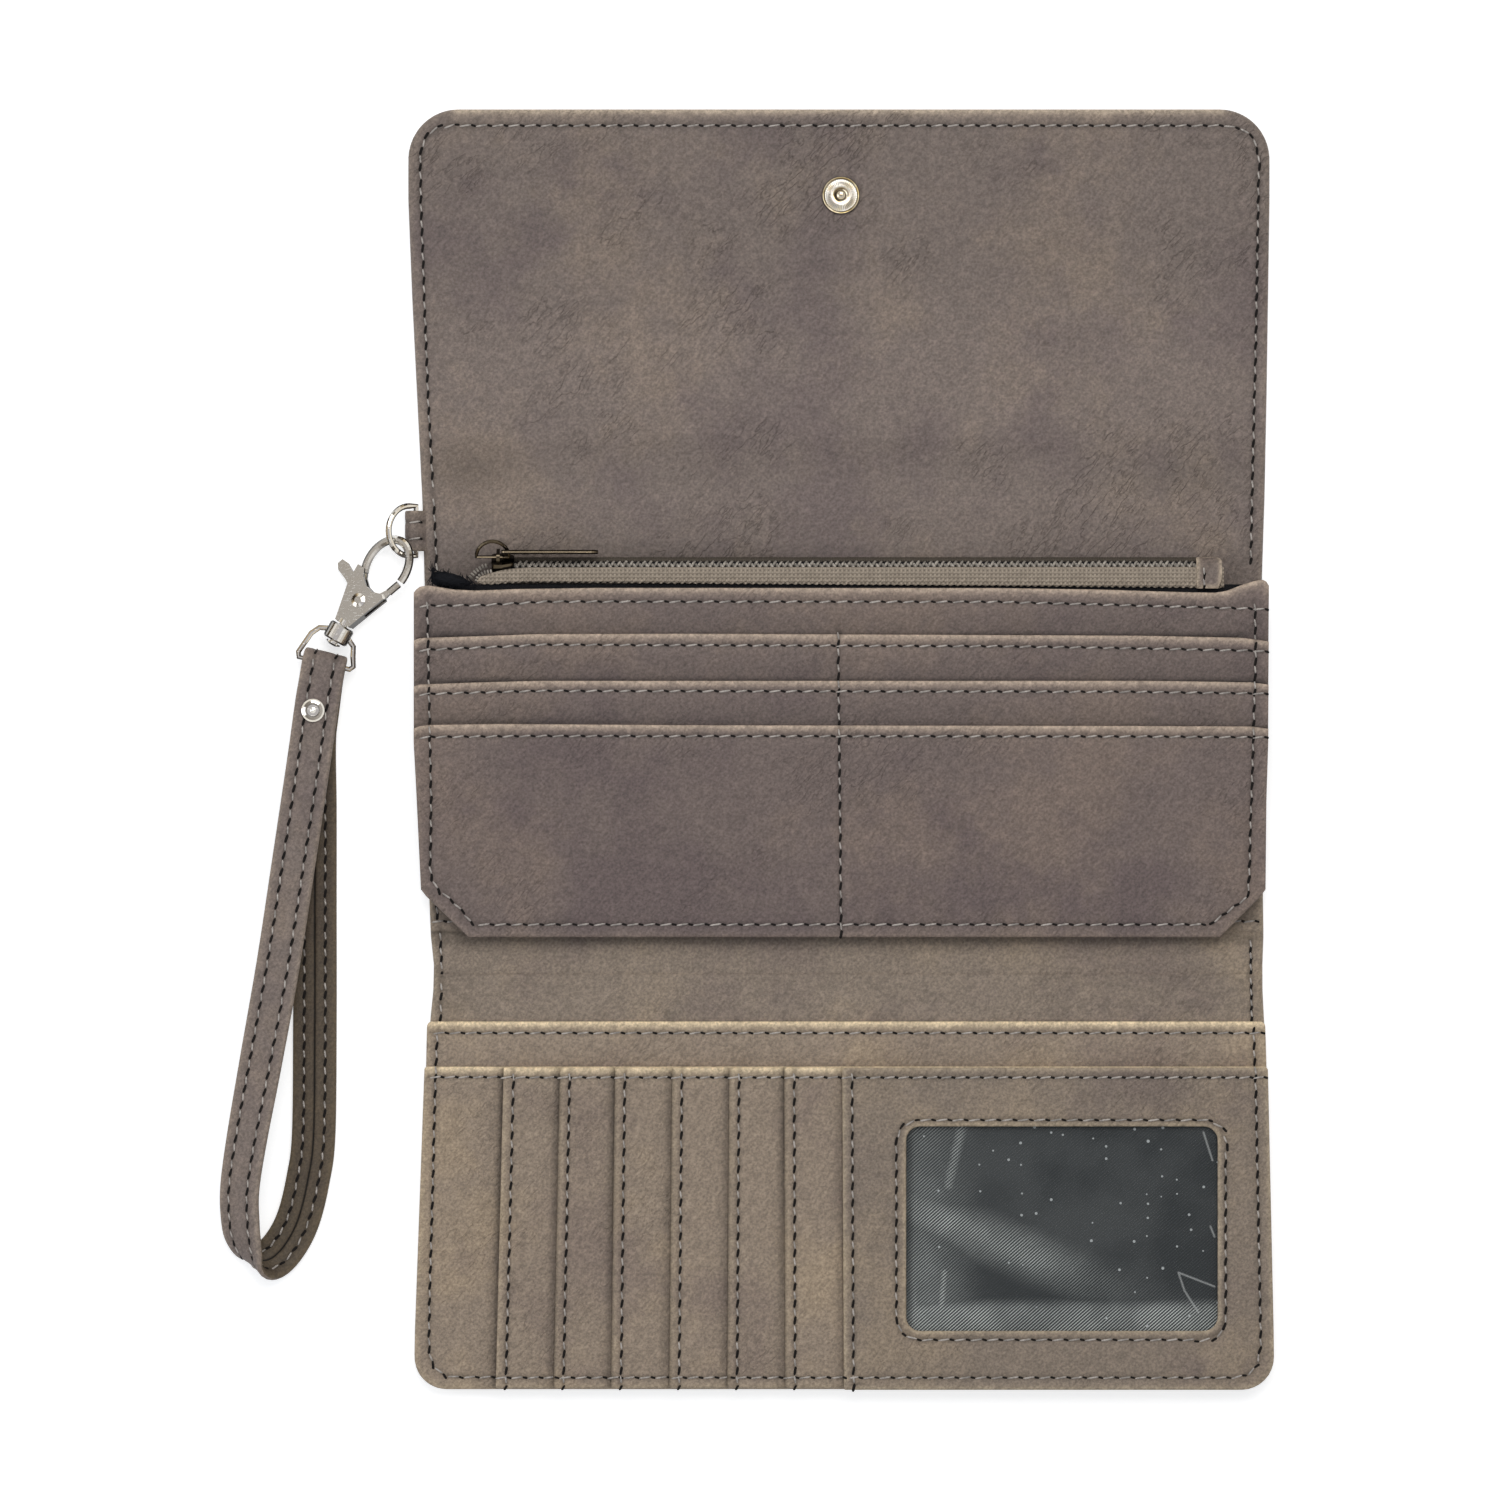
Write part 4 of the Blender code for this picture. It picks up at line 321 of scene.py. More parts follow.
def slab(name, across, along):
    """A grid primitive extruded to a slab: the piece, and each vertex's column, row and side."""
    deselect()
    bpy.ops.mesh.primitive_grid_add(x_subdivisions=across, y_subdivisions=along, size=2.0)
    piece = bpy.context.object
    piece.name = name
    piece.data.name = name
    bpy.ops.object.mode_set(mode="EDIT")
    bpy.ops.mesh.select_all(action="SELECT")
    bpy.ops.mesh.extrude_region_move(TRANSFORM_OT_translate={"value": (0.0, 0.0, 1.0)})
    bpy.ops.object.mode_set(mode="OBJECT")
    flat = coordinates(piece)
    column = np.rint((flat[:, 0] + 1.0) / 2.0 * across).astype(int)
    row = np.rint((flat[:, 1] + 1.0) / 2.0 * along).astype(int)
    return piece, column, row, flat[:, 2] > 0.5


def finish_mesh(piece, material, smooth_angle=50.0):
    """Turns the faces outwards, shades them smooth by angle and gives the material."""
    pick(piece)
    bpy.ops.object.mode_set(mode="EDIT")
    bpy.ops.mesh.select_all(action="SELECT")
    bpy.ops.mesh.normals_make_consistent(inside=False)
    bpy.ops.object.mode_set(mode="OBJECT")
    bpy.ops.object.shade_smooth_by_angle(angle=math.radians(smooth_angle))
    piece.data.materials.clear()
    piece.data.materials.append(material)
    return piece


def take_shape(piece):
    """A modelled shape's points and faces, with the model removed."""
    points = coordinates(piece)
    faces = [tuple(face.vertices) for face in piece.data.polygons]
    mesh = piece.data
    bpy.data.objects.remove(piece, do_unlink=True)
    bpy.data.meshes.remove(mesh)
    return points, faces


def bean_shape(segments, rings):
    """A long bead with blunt ends, one unit each way: a thread, a slit or a zip's tooth."""
    deselect()
    bpy.ops.mesh.primitive_uv_sphere_add(segments=segments, ring_count=rings, radius=0.5,
                                         rotation=(0.0, math.pi / 2.0, 0.0))
    piece = bpy.context.object
    bpy.ops.object.transform_apply(location=False, rotation=True, scale=False)
    points, faces = take_shape(piece)
    reach = np.abs(points[:, 0]) * 2.0
    points[:, 1:] *= (1.0 + 0.9 * reach * reach * (1.0 - reach ** 4))[:, None]
    points[:, 1:] /= np.abs(points[:, 1:]).max() * 2.0
    return points, faces


def copies(name, shape, frames, material):
    """Copies of one shape, each in its frame: three axes with their lengths, and a place."""
    points, faces = shape
    count = len(points)
    placed = np.concatenate([points @ np.asarray(axes) + np.asarray(at) for axes, at in frames])
    joined = [tuple(k * count + corner for corner in face)
              for k in range(len(frames)) for face in faces]
    mesh = bpy.data.meshes.new(name)
    mesh.from_pydata(placed.tolist(), [], joined)
    piece = bpy.data.objects.new(name, mesh)
    bpy.context.scene.collection.objects.link(piece)
    return finish_mesh(piece, material, 60.0)


def outline_distance(x, y, chains):
    """Distance of each point from the nearest of some chains of points."""
    px, py = x.ravel(), y.ravel()
    best = np.full(px.shape, np.inf)
    for chain in chains:
        chain = np.asarray(chain, float)
        for a, b in zip(chain[:-1], chain[1:]):
            run = b - a
            length = float(run @ run)
            if length < 1e-14:
                continue
            share = np.clip(((px - a[0]) * run[0] + (py - a[1]) * run[1]) / length, 0.0, 1.0)
            gap_x = px - a[0] - share * run[0]
            gap_y = py - a[1] - share * run[1]
            np.minimum(best, gap_x * gap_x + gap_y * gap_y, out=best)
    return np.sqrt(best).reshape(x.shape)


def roll(distance, radius):
    """The rounded rise of a folded edge, from 0 at the edge to 1."""
    share = 1.0 - np.clip(distance / radius, 0.0, 1.0)
    return np.sqrt(np.clip(1.0 - share * share, 0.0, 1.0))


def close_at_ends(length):
    """Places along a length in pixels: close at both ends, wider between."""
    reach = CLOSE_PX[-1]
    if length < 2.0 * reach + 2.0:
        inside = [k for k in CLOSE_PX if k < length / 2.0 - 0.5]
        return np.array(inside + [length - k for k in reversed(inside)])
    count = max(1, int(round((length - 2.0 * reach) / COARSE_PX)))
    middle = np.linspace(reach, length - reach, count + 1)[1:-1]
    return np.concatenate((CLOSE_PX, middle, [length - k for k in reversed(CLOSE_PX)]))


def with_close(places, extra):
    """Places along a length with close ones added about some of them."""
    steps = (-7.0, -4.5, -2.6, -1.2, 0.0, 1.2, 2.6, 4.5, 7.0)
    added = [at + step for at in extra for step in steps]
    kept = [k for k in places if all(abs(k - e) > 0.9 for e in added)]
    inside = [k for k in added if places[0] < k < places[-1]]
    return np.array(sorted(kept + inside))


def corner_inset(distance, radius):
    """How far a rounded corner takes a side in, at a distance from the end."""
    short = np.clip(radius - distance, 0.0, radius)
    return radius - np.sqrt(np.clip(radius * radius - short * short, 0.0, None))


def puffed(x, y, ground, dent):
    """Height that a ground's seams pull into a layer, and the mask of the seam."""
    chains = [on_wallet(points) for name, _, points in SEAMS if name == ground]
    seam = outline_distance(x, y, chains)
    pull = bell(seam, 0.6 * MM)
    return -dent * pull - 0.5 * dent * bell(seam, 1.8 * MM), pull


def folded(thick, rise):
    """The upper and the lower face of a layer whose edge is folded under."""
    return thick * (0.42 + 0.58 * rise), thick * 0.30 * (1.0 - rise)


def make_layer(name, sides, top, foot, lower, thick, ground, material, **more):
    """One layer of leather on its ground: its outline from the view from above, its underside
    from lower(). More holds its shaping, and the nodes that it stands for."""
    rim = more.get("rim")
    lines = top + with_close(close_at_ends(foot - top), [at - top for at in more.get("rows", ())])
    taken = (corner_inset(lines - top, more.get("top_corner", 0.0))
             + corner_inset(foot - lines, more.get("foot_corner", 0.0))
             + np.clip(more.get("chamfer", 0.0) - (foot - lines), 0.0, None))
    left = table(sides, lines, 1) + taken
    right = table(sides, lines, 2) - taken
    width = float(np.max(right - left))
    first = float(np.min(left))
    near = [at - first for at in more.get("columns", ())]
    shares = with_close(close_at_ends(width), near) / width
    piece, column, row, upper = slab(name, len(shares) - 1, len(lines) - 1)
    across = left[:, None] + (right - left)[:, None] * shares[None, :]
    down = np.repeat(lines[:, None], len(shares), axis=1)
    if rim:
        down = down + (table(rim, across) - top) * smooth(1.0 - (down - top) / RIM_REACH_PX)
    x, y = photo_x(across), photo_y(down)
    grid = np.stack((x, y), axis=2)
    chains = [grid[:, 0], grid[:, -1]]
    if not more.get("open_top"):
        chains.append(grid[0])
    if not more.get("open_foot"):
        chains.append(grid[-1])
    distance = outline_distance(x, y, chains)
    rise = roll(distance, more.get("edge_radius", 0.9 * MM))
    pull, seam_mask = puffed(x, y, ground, SEAM_DENT)
    body = smooth((distance - 0.4 * MM) / (5.0 * MM))
    swell = more.get("swell", 0.16 * MM) * waves(x, y, more.get("seed", 0.0)) * body
    above, under = folded(thick, rise)
    high = lower(x, y) + above + pull + swell
    low = lower(x, y) + under
    if not more.get("flat_below"):
        low = low + swell + pull
    if "extra" in more:
        high = high + more["extra"](x, y)
    if "below" in more:
        low = low + more["below"](x, y)
    line = len(lines) - 1 - row
    places = np.stack((x[line, column], y[line, column],
                       np.where(upper, high[line, column], low[line, column])), axis=1)
    set_coordinates(piece, places)
    # Lighter edges: a little wear all round, and a painted highlight on the top rim, which faces
    # the light.
    wear_and_highlight = 0.18 * bell(distance, 1.1 * MM)
    if not more.get("open_top"):
        gap = outline_distance(x, y, [grid[0]])
        wear_and_highlight = wear_and_highlight + 0.80 * (0.78 * bell(gap, 1.25 * MM) + 0.22 * bell(gap, 2.6 * MM))
    shade = more["shade"](x, y) if "shade" in more else 0.0 * x
    for mask, values in (("edge", wear_and_highlight), ("seam", seam_mask), ("shade", shade)):
        paint(piece, mask, values[line, column])
    finish_mesh(piece, material)
    return lay(piece, ground, "body_leather", *more.get("nodes", ()))


def ribbon(name, line, half, thick, material, **more):
    """A strip along a line of centres and width directions, with rounded edges and ends."""
    count = more.get("columns", 16)
    turned = np.linspace(-1.0, 1.0, count + 1)
    offsets = more.get("offsets", np.sin(turned * math.pi / 2.0) * half)
    piece, column, row, upper = slab(name, len(offsets) - 1, len(line) - 1)
    centre = np.array([tuple(c) for c, _ in line])
    width = np.array([tuple(w) for _, w in line])
    ahead = np.gradient(centre, axis=0)
    ahead /= np.linalg.norm(ahead, axis=1)[:, None]
    width = width - ahead * (width * ahead).sum(axis=1)[:, None]
    width /= np.linalg.norm(width, axis=1)[:, None]
    normal = np.cross(ahead, width)
    run = np.concatenate(([0.0], np.cumsum(np.linalg.norm(np.diff(centre, axis=0), axis=1))))
    edge_radius = more.get("edge_radius", thick * 0.5)
    across, along = np.meshgrid(offsets, run)
    gap = np.minimum(half - np.abs(across), np.minimum(along, run[-1] - along))
    rise = 0.25 + 0.75 * roll(gap, edge_radius)
    side = np.where(upper, 1.0, -1.0)
    shape = more.get("shape")
    lift = thick / 2.0 * rise[row, column]
    if shape:
        lift = lift + shape(across[row, column], along[row, column], side)
    places = centre[row] + width[row] * across[row, column][:, None]
    places = places + normal[row] * (side * lift)[:, None]
    set_coordinates(piece, places)
    paint(piece, "edge", 0.22 * bell(gap[row, column], 0.9 * MM))
    mask = np.zeros(len(row))
    for seam in more.get("seam_rows", ()):
        mask = np.maximum(mask, bell(across[row, column] - seam, 0.5 * MM))
    paint(piece, "seam", mask)
    inner = "inner_material" in more
    paint(piece, "shade", 3.0 * inner * bell(across[row, column], 0.22 * MM) * ~upper)
    finish_mesh(piece, material)
    if inner:
        piece.data.materials.append(more["inner_material"])
        for face in piece.data.polygons:
            face.material_index = int(not any(upper[corner] for corner in face.vertices))
    return piece, centre, width, normal, run


def lathe(name, profile, segments, material, flute=None, place=(0.0, 0.0, 0.0)):
    """A ball primitive drawn to a turned profile, which starts and ends on the axis."""
    rings = len(profile) - 1
    deselect()
    bpy.ops.mesh.primitive_uv_sphere_add(segments=segments, ring_count=rings, radius=1.0)
    piece = bpy.context.object
    piece.name = name
    piece.data.name = name
    ball = coordinates(piece)
    ring = np.rint(np.arccos(np.clip(ball[:, 2], -1.0, 1.0)) / math.pi * rings).astype(int)
    angle = np.arctan2(ball[:, 1], ball[:, 0])
    outline = np.array(profile)
    radius, height = outline[ring, 0], outline[ring, 1].copy()
    if flute:
        height = height + flute(radius, angle, ring)
    places = np.stack((radius * np.cos(angle), radius * np.sin(angle), height), axis=1)
    set_coordinates(piece, places + np.array(place))
    return finish_mesh(piece, material, 35.0)


class Tree:
    """Adds shader nodes and joins them."""

    def __init__(self, tree):
        self.tree = tree

    def add(self, kind, inputs=None, **settings):
        """A node with its settings and inputs."""
        node = self.tree.nodes.new("ShaderNode" + kind)
        for key, value in settings.items():
            setattr(node, key, value)
        for key, value in (inputs or {}).items():
            self.feed(node.inputs[key], value)
        return node

    def feed(self, socket, value):
        """Joins a socket to another, or sets its value."""
        if isinstance(value, bpy.types.NodeSocket):
            self.tree.links.new(value, socket)
        elif isinstance(value, (tuple, list)) and len(value) == 3 and socket.type == "RGBA":
            socket.default_value = (*value, 1.0)
        else:
            socket.default_value = value

    def math(self, operation, *values):
        """The result of a sum."""
        node = self.add("Math", operation=operation)
        for index, value in enumerate(values):
            self.feed(node.inputs[index], value)
        return node.outputs[0]

    def product(self, first, *others):
        """Values multiplied together."""
        for value in others:
            first = self.math("MULTIPLY", first, value)
        return first

    def largest(self, first, *others):
        """The largest of some values."""
        for value in others:
            first = self.math("MAXIMUM", first, value)
        return first

    def vector(self, operation, *values):
        """The result of a sum of vectors, which is a number for a length or a dot product."""
        node = self.add("VectorMath", dict(enumerate(values)), operation=operation)
        return node.outputs["Value" if operation in ("LENGTH", "DOT_PRODUCT") else "Vector"]

    def scaled(self, where, scale):
        """A vector made longer."""
        return self.add("VectorMath", {0: where, "Scale": scale}, operation="SCALE").outputs[0]

    def mapped(self, where, **changes):
        """Coordinates moved, turned or stretched."""
        return self.add("Mapping", {"Vector": where, **changes}).outputs[0]

    def turned(self, where, angle):
        """Coordinates turned about the upright."""
        return self.add("VectorRotate", {"Vector": where, "Angle": angle},
                        rotation_type="Z_AXIS").outputs[0]

    def span(self, value, low, high, to_low=0.0, to_high=1.0):
        """A value moved smoothly from one span to another."""
        node = self.add("MapRange", {"Value": value, "From Min": low, "From Max": high,
                                     "To Min": to_low, "To Max": to_high},
                        interpolation_type="SMOOTHSTEP")
        return node.outputs["Result"]

    def mix(self, share, first, second, blend="MIX"):
        """A blend of two colours."""
        node = self.add("Mix", data_type="RGBA", blend_type=blend)
        self.feed(node.inputs[0], share)
        self.feed(node.inputs[6], first)
        self.feed(node.inputs[7], second)
        return node.outputs[2]

    def noise(self, where, scale, detail=3.0, rough=0.55):
        """A cloudy pattern."""
        node = self.add("TexNoise", {"Vector": where, "Scale": scale, "Detail": detail,
                                     "Roughness": rough})
        return node.outputs["Fac"]

    def stripes(self, where, direction, pitch):
        """Even stripes across a direction, from 0 to 1."""
        run = self.vector("DOT_PRODUCT", where, direction)
        turn = self.math("MULTIPLY", run, math.tau / pitch)
        return self.math("MULTIPLY_ADD", self.math("SINE", turn), 0.5, 0.5)

    def here(self):
        """The object's own coordinates."""
        return self.add("TexCoord").outputs["Object"]


def new_group(name, inputs, outputs):
    """An empty node group with named sockets: its tree, what goes in and what comes out."""
    group = bpy.data.node_groups.new(name, "ShaderNodeTree")
    for way, labels in (("INPUT", inputs), ("OUTPUT", outputs)):
        for label in labels:
            kind = "NodeSocketColor" if label in COLOUR_SOCKETS else "NodeSocketFloat"
            group.interface.new_socket(label, in_out=way, socket_type=kind)
    given = group.nodes.new("NodeGroupInput").outputs
    result = group.nodes.new("NodeGroupOutput").inputs
    return Tree(group), given, result


def leather_group():
    """Clouded, grained, creased leather: wear and painted highlight on edges, painted shade in
    creases and seams.
    """
    tree, given, result = new_group(
        "aged leather",
        ("Colour", "Light", "Dark", "Rim", "Cloud Scale", "Crease", "Edge", "Seam", "Shade"),
        ("Colour", "Roughness", "Height"))
    here = tree.here()
    shifted = tree.mapped(here, Location=(0.31, 0.17, 0.05))
    colour = given["Colour"]
    for where, tone in ((here, "Light"), (shifted, "Dark")):
        cloud = tree.noise(where, given["Cloud Scale"], 5.0, 0.62)
        colour = tree.mix(tree.span(cloud, 0.47, 0.66), colour, given[tone])
    fine = tree.span(tree.noise(here, 420.0, 4.0, 0.65), 0.3, 0.7, 0.90, 1.10)
    speck = tree.span(tree.noise(here, 1500.0, 3.0, 0.7), 0.32, 0.68, 0.77, 1.23)
    drawn = tree.mapped(tree.turned(here, math.radians(-50.0)), Scale=(1.0, 3.2, 1.0))
    fibres = tree.noise(drawn, 430.0, 3.0, 0.65)
    streak = tree.span(fibres, 0.33, 0.67, 0.91, 1.09)
    lines = tree.math("ABSOLUTE", tree.math("SUBTRACT", tree.noise(drawn, 150.0, 2.0, 0.6), 0.5))
    lines = tree.span(lines, 0.0, 0.030, 1.0, 0.0)
    patch = tree.span(tree.noise(shifted, 46.0, 2.0), 0.46, 0.62)
    crease = tree.product(lines, patch, given["Crease"])
    # The Edge mask blends towards the Rim colour: wear, with a painted highlight on the top rims.
    wear_and_highlight = tree.product(given["Edge"], tree.span(fine, 0.90, 1.10, 0.75, 1.0))
    colour = tree.mix(wear_and_highlight, colour, given["Rim"])
    dim = tree.product(fine, speck, streak)
    # Painted shade: darker in the creases, along the seams' grooves and where the Shade mask is.
    for mask, share in ((crease, 0.14), (given["Seam"], 0.36), (given["Shade"], 0.40)):
        dim = tree.product(dim, tree.math("SUBTRACT", 1.0, tree.product(mask, share)))
    grey = tree.add("CombineColor", {0: dim, 1: dim, 2: dim}).outputs[0]
    tree.feed(result["Colour"], tree.mix(1.0, colour, grey, "MULTIPLY"))
    tree.feed(result["Roughness"], tree.span(fine, 0.90, 1.10, 0.56, 0.70))
    cells = tree.add("TexVoronoi", {"Vector": here, "Scale": 1500.0}).outputs["Distance"]
    grain = tree.product(cells, 0.30)
    for part, share in ((tree.noise(here, 1100.0, 3.0, 0.65), 0.7), (fibres, 0.8)):
        grain = tree.math("ADD", grain, tree.product(part, share))
    tree.feed(result["Height"], tree.math("SUBTRACT", grain, tree.product(crease, 0.6)))
    return tree.tree


def weave_group():
    """Crossed threads: their colour mask and height."""
    tree, given, result = new_group("woven cloth", ("Pitch", "Slant"), ("Mask", "Height"))
    here = tree.here()
    even = tree.scaled(tree.turned(here, given["Slant"]), tree.math("DIVIDE", MM, given["Pitch"]))
    warp = tree.stripes(even, (1.0, 0.0, 0.0), MM)
    weft = tree.stripes(even, (0.0, 1.0, 0.35), MM)
    mottle = tree.span(tree.noise(here, 500.0, 3.0), 0.2, 0.8, 0.6, 1.0)
    tree.feed(result["Mask"], tree.product(tree.largest(warp, weft), mottle))
    tree.feed(result["Height"], tree.product(warp, weft))
    return tree.tree


def wear_group():
    """Faint clouding and hairline scratches of plated metal."""
    tree, given, result = new_group("plated metal wear", ("Colour", "Tint", "Polish"),
                                    ("Colour", "Roughness", "Height"))
    here = tree.here()
    cloud = tree.span(tree.noise(here, 330.0, 3.0), 0.4, 0.65)
    thin = tree.mapped(here, Rotation=(0.3, 0.2, 0.7), Scale=(60.0, 4200.0, 4200.0))
    scratch = tree.span(tree.noise(thin, 1.0, 2.0), 0.62, 0.70)
    tree.feed(result["Colour"], tree.mix(cloud, given["Colour"], given["Tint"]))
    rough = tree.math("ADD", given["Polish"], tree.product(cloud, 0.07))
    tree.feed(result["Roughness"], tree.math("ADD", rough, tree.product(scratch, 0.10)))
    tree.feed(result["Height"], tree.product(scratch, -0.4))
    return tree.tree


def group_named(name):
    """A shared node group, built at its first use."""
    makers = {"aged leather": leather_group, "woven cloth": weave_group,
              "plated metal wear": wear_group}
    return bpy.data.node_groups.get(name) or makers[name]()


def new_material(name):
    """A material, its tree and its shader's inputs."""
    material = bpy.data.materials.new(name)
    material.use_nodes = True
    tree = Tree(material.node_tree)
    return material, tree, material.node_tree.nodes["Principled BSDF"].inputs


def use_group(tree, name, **inputs):
    """Places a shared group in a material."""
    node = tree.add("Group", node_tree=group_named(name))
    for label, value in inputs.items():
        tree.feed(node.inputs[label.replace("_", " ")], value)
    return node.outputs


def surface(tree, shader, colour, rough, **plain):
    """Feeds a shader its colour and roughness, and sets its plain values."""
    tree.feed(shader["Base Color"], colour)
    tree.feed(shader["Roughness"], rough)
    for label, value in plain.items():
        shader[label.replace("_", " ")].default_value = value


def raise_surface(tree, shader, height, distance):
    """Feeds a height to the shader's normal."""
    bump = tree.add("Bump", {"Height": height, "Distance": distance, "Strength": 1.0})
    tree.feed(shader["Normal"], bump.outputs[0])


def tinted(colour, *shares):
    """A colour with its parts multiplied by one share, or by one each."""
    shares = shares if len(shares) == 3 else shares * 3
    return tuple(part * share for part, share in zip(colour, shares))


def leather_material(name, tone, crease, grain=0.26 * MM):
    """A leather in one of its tones, with warm light patches and violet dark ones."""
    material, tree, shader = new_material(name)
    contrast = looks().cloud_contrast
    masks = {label: tree.add("Attribute", attribute_name=label.lower()).outputs["Fac"]
             for label in ("Edge", "Seam", "Shade")}
    out = use_group(tree, "aged leather", Colour=tone,
                    Light=tinted(tinted(tone, contrast), 1.02, 1.0, 0.93),
                    Dark=tinted(tinted(tone, 1.0 / contrast), 0.98, 0.96, 1.02),
                    Rim=tinted(tone, *RIM_GAINS), Cloud_Scale=27.0, Crease=crease, **masks)
    surface(tree, shader, out["Colour"], out["Roughness"], Specular_IOR_Level=0.35)
    raise_surface(tree, shader, out["Height"], grain)
    return material


def metal_material(name, colour, tint, polish, rings=None):
    """Plated metal, painted darker where it turns from the view; rings paint reflections and shade
    about the snap.
    """
    material, tree, shader = new_material(name)
    if rings:
        flat = tree.vector("SUBTRACT", tree.here(), (0.0, SNAP_LINE, 0.0))
        far = tree.vector("LENGTH", tree.vector("MULTIPLY", flat, (1.0, 1.0, 0.0)))
        colour = ramp_of(tree, tree.math("DIVIDE", far, SNAP_REACH), rings)
    out = use_group(tree, "plated metal wear", Colour=colour, Tint=tint, Polish=polish)
    # Painted shade: the colour goes dark where the surface turns away from the view.
    facing = tree.add("LayerWeight", {"Blend": 0.5}).outputs["Facing"]
    turned = tree.span(facing, 0.26, 0.50)
    surface(tree, shader, tree.mix(turned, out["Colour"], (0.012, 0.010, 0.008)),
            out["Roughness"], Metallic=1.0)
    raise_surface(tree, shader, out["Height"], 0.01 * MM)
    return material


def pull_material():
    """The long pull: nearly black, with worn brass and a painted highlight along the middle of its
    edge.
    """
    material, tree, shader = new_material("dark bronze")
    place = tree.add("SeparateXYZ", {0: tree.here()}).outputs
    gap = tree.math("ABSOLUTE", tree.math("SUBTRACT", place["Y"], PULL_LINE))
    wear_and_highlight = tree.span(gap, 0.05 * MM, 0.26 * MM, 1.0, 0.0)
    plate = tree.mix(wear_and_highlight, (0.008, 0.006, 0.005), (0.30, 0.24, 0.16))
    out = use_group(tree, "plated metal wear", Colour=plate, Tint=(0.05, 0.042, 0.03), Polish=0.24)
    surface(tree, shader, tree.mix(0.15, plate, out["Colour"]), out["Roughness"], Metallic=1.0)
    raise_surface(tree, shader, out["Height"], 0.01 * MM)
    return material


def ramp_of(tree, value, stops):
    """Colours along a value."""
    node = tree.add("ValToRGB", {"Fac": value})
    elements = node.color_ramp.elements
    for index, (at, colour) in enumerate(stops):
        element = elements[index] if index < 2 else elements.new(at)
        element.position = at
        element.color = (*colour, 1.0)
    return node.outputs["Color"]


def line_mask(tree, here, first, second, half):
    """A thin soft line between two pixels of the view from above."""
    start, end = on_wallet((first, second))
    length = float(np.linalg.norm(end - start))
    ahead = (*((end - start) / length), 0.0)
    flat = tree.vector("MULTIPLY", here, (1.0, 1.0, 0.0))
    gap = tree.vector("SUBTRACT", flat, (*start, 0.0))
    along = tree.math("MAXIMUM", tree.vector("DOT_PRODUCT", gap, ahead), 0.0)
    near = tree.scaled(ahead, tree.math("MINIMUM", along, length))
    far = tree.vector("LENGTH", tree.vector("SUBTRACT", gap, near))
    return tree.span(far, 0.0, half, 1.0, 0.0)


def cloth_material(name, dark, light, pitch, slant, rough):
    """Woven cloth of two colours of thread."""
    material, tree, shader = new_material(name)
    out = use_group(tree, "woven cloth", Pitch=pitch, Slant=slant)
    surface(tree, shader, tree.mix(out["Mask"], dark, light), rough, Specular_IOR_Level=0.15)
    raise_surface(tree, shader, out["Height"], pitch * 0.25)
    return material


def thread_material():
    """Twisted sewing thread, cream and grey."""
    material, tree, shader = new_material("sewing thread")
    here = tree.here()
    tone = tree.span(tree.noise(here, 700.0, 2.0), 0.35, 0.65)
    colour = tuple(looks().thread_colour)
    surface(tree, shader, tree.mix(tone, tinted(colour, 0.55), colour), 0.6)
    raise_surface(tree, shader, tree.stripes(here, (0.8, 0.6, 0.0), 0.5 * MM), 0.08 * MM)
    return material


def needle_material():
    """Painted shade: the dark of needle holes and thread ends."""
    material, tree, shader = new_material("needle hole")
    tone = tree.noise(tree.here(), 1500.0, 2.0)
    surface(tree, shader, tree.mix(tone, (0.003, 0.0025, 0.0025), (0.020, 0.017, 0.016)), 0.85,
            Specular_IOR_Level=0.15)
    return material


def twill_sheen(tree, here, place):
    """Where light falls on the twill: a slanting band, the window's foot and left, and streaks."""
    bend = tree.math("MULTIPLY_ADD", place["X"], 0.40, place["Y"])
    band = tree.span(tree.math("ABSOLUTE", tree.math("SUBTRACT", bend, -0.1028)),
                     0.0, 0.0085, 1.0, 0.0)
    band = tree.product(band, tree.span(place["X"], 0.040, 0.072, 1.0, 0.15))
    foot = tree.span(place["Y"], -0.1338, -0.1302, 1.0, 0.0)
    left = tree.product(tree.span(place["X"], 0.020, 0.036, 0.55, 0.0),
                        tree.span(place["Y"], -0.108, -0.098, 1.0, 0.75))
    corner = tree.product(tree.span(place["X"], 0.0165, 0.0215, 0.8, 0.0),
                          tree.span(place["Y"], -0.126, -0.117, 1.0, 0.0))
    streak = line_mask(tree, here, (962, 1124), (948, 1185), 2.2 * MM)
    short = line_mask(tree, here, (944, 1272), (941, 1308), 1.6 * MM)
    edge = tree.span(place["X"], 0.0158, 0.0178, 0.25, 1.0)
    cloud = tree.span(tree.noise(here, 75.0, 3.0), 0.3, 0.7, 0.55, 1.0)
    return tree.product(tree.largest(band, foot, left, corner, streak, short), edge, cloud)


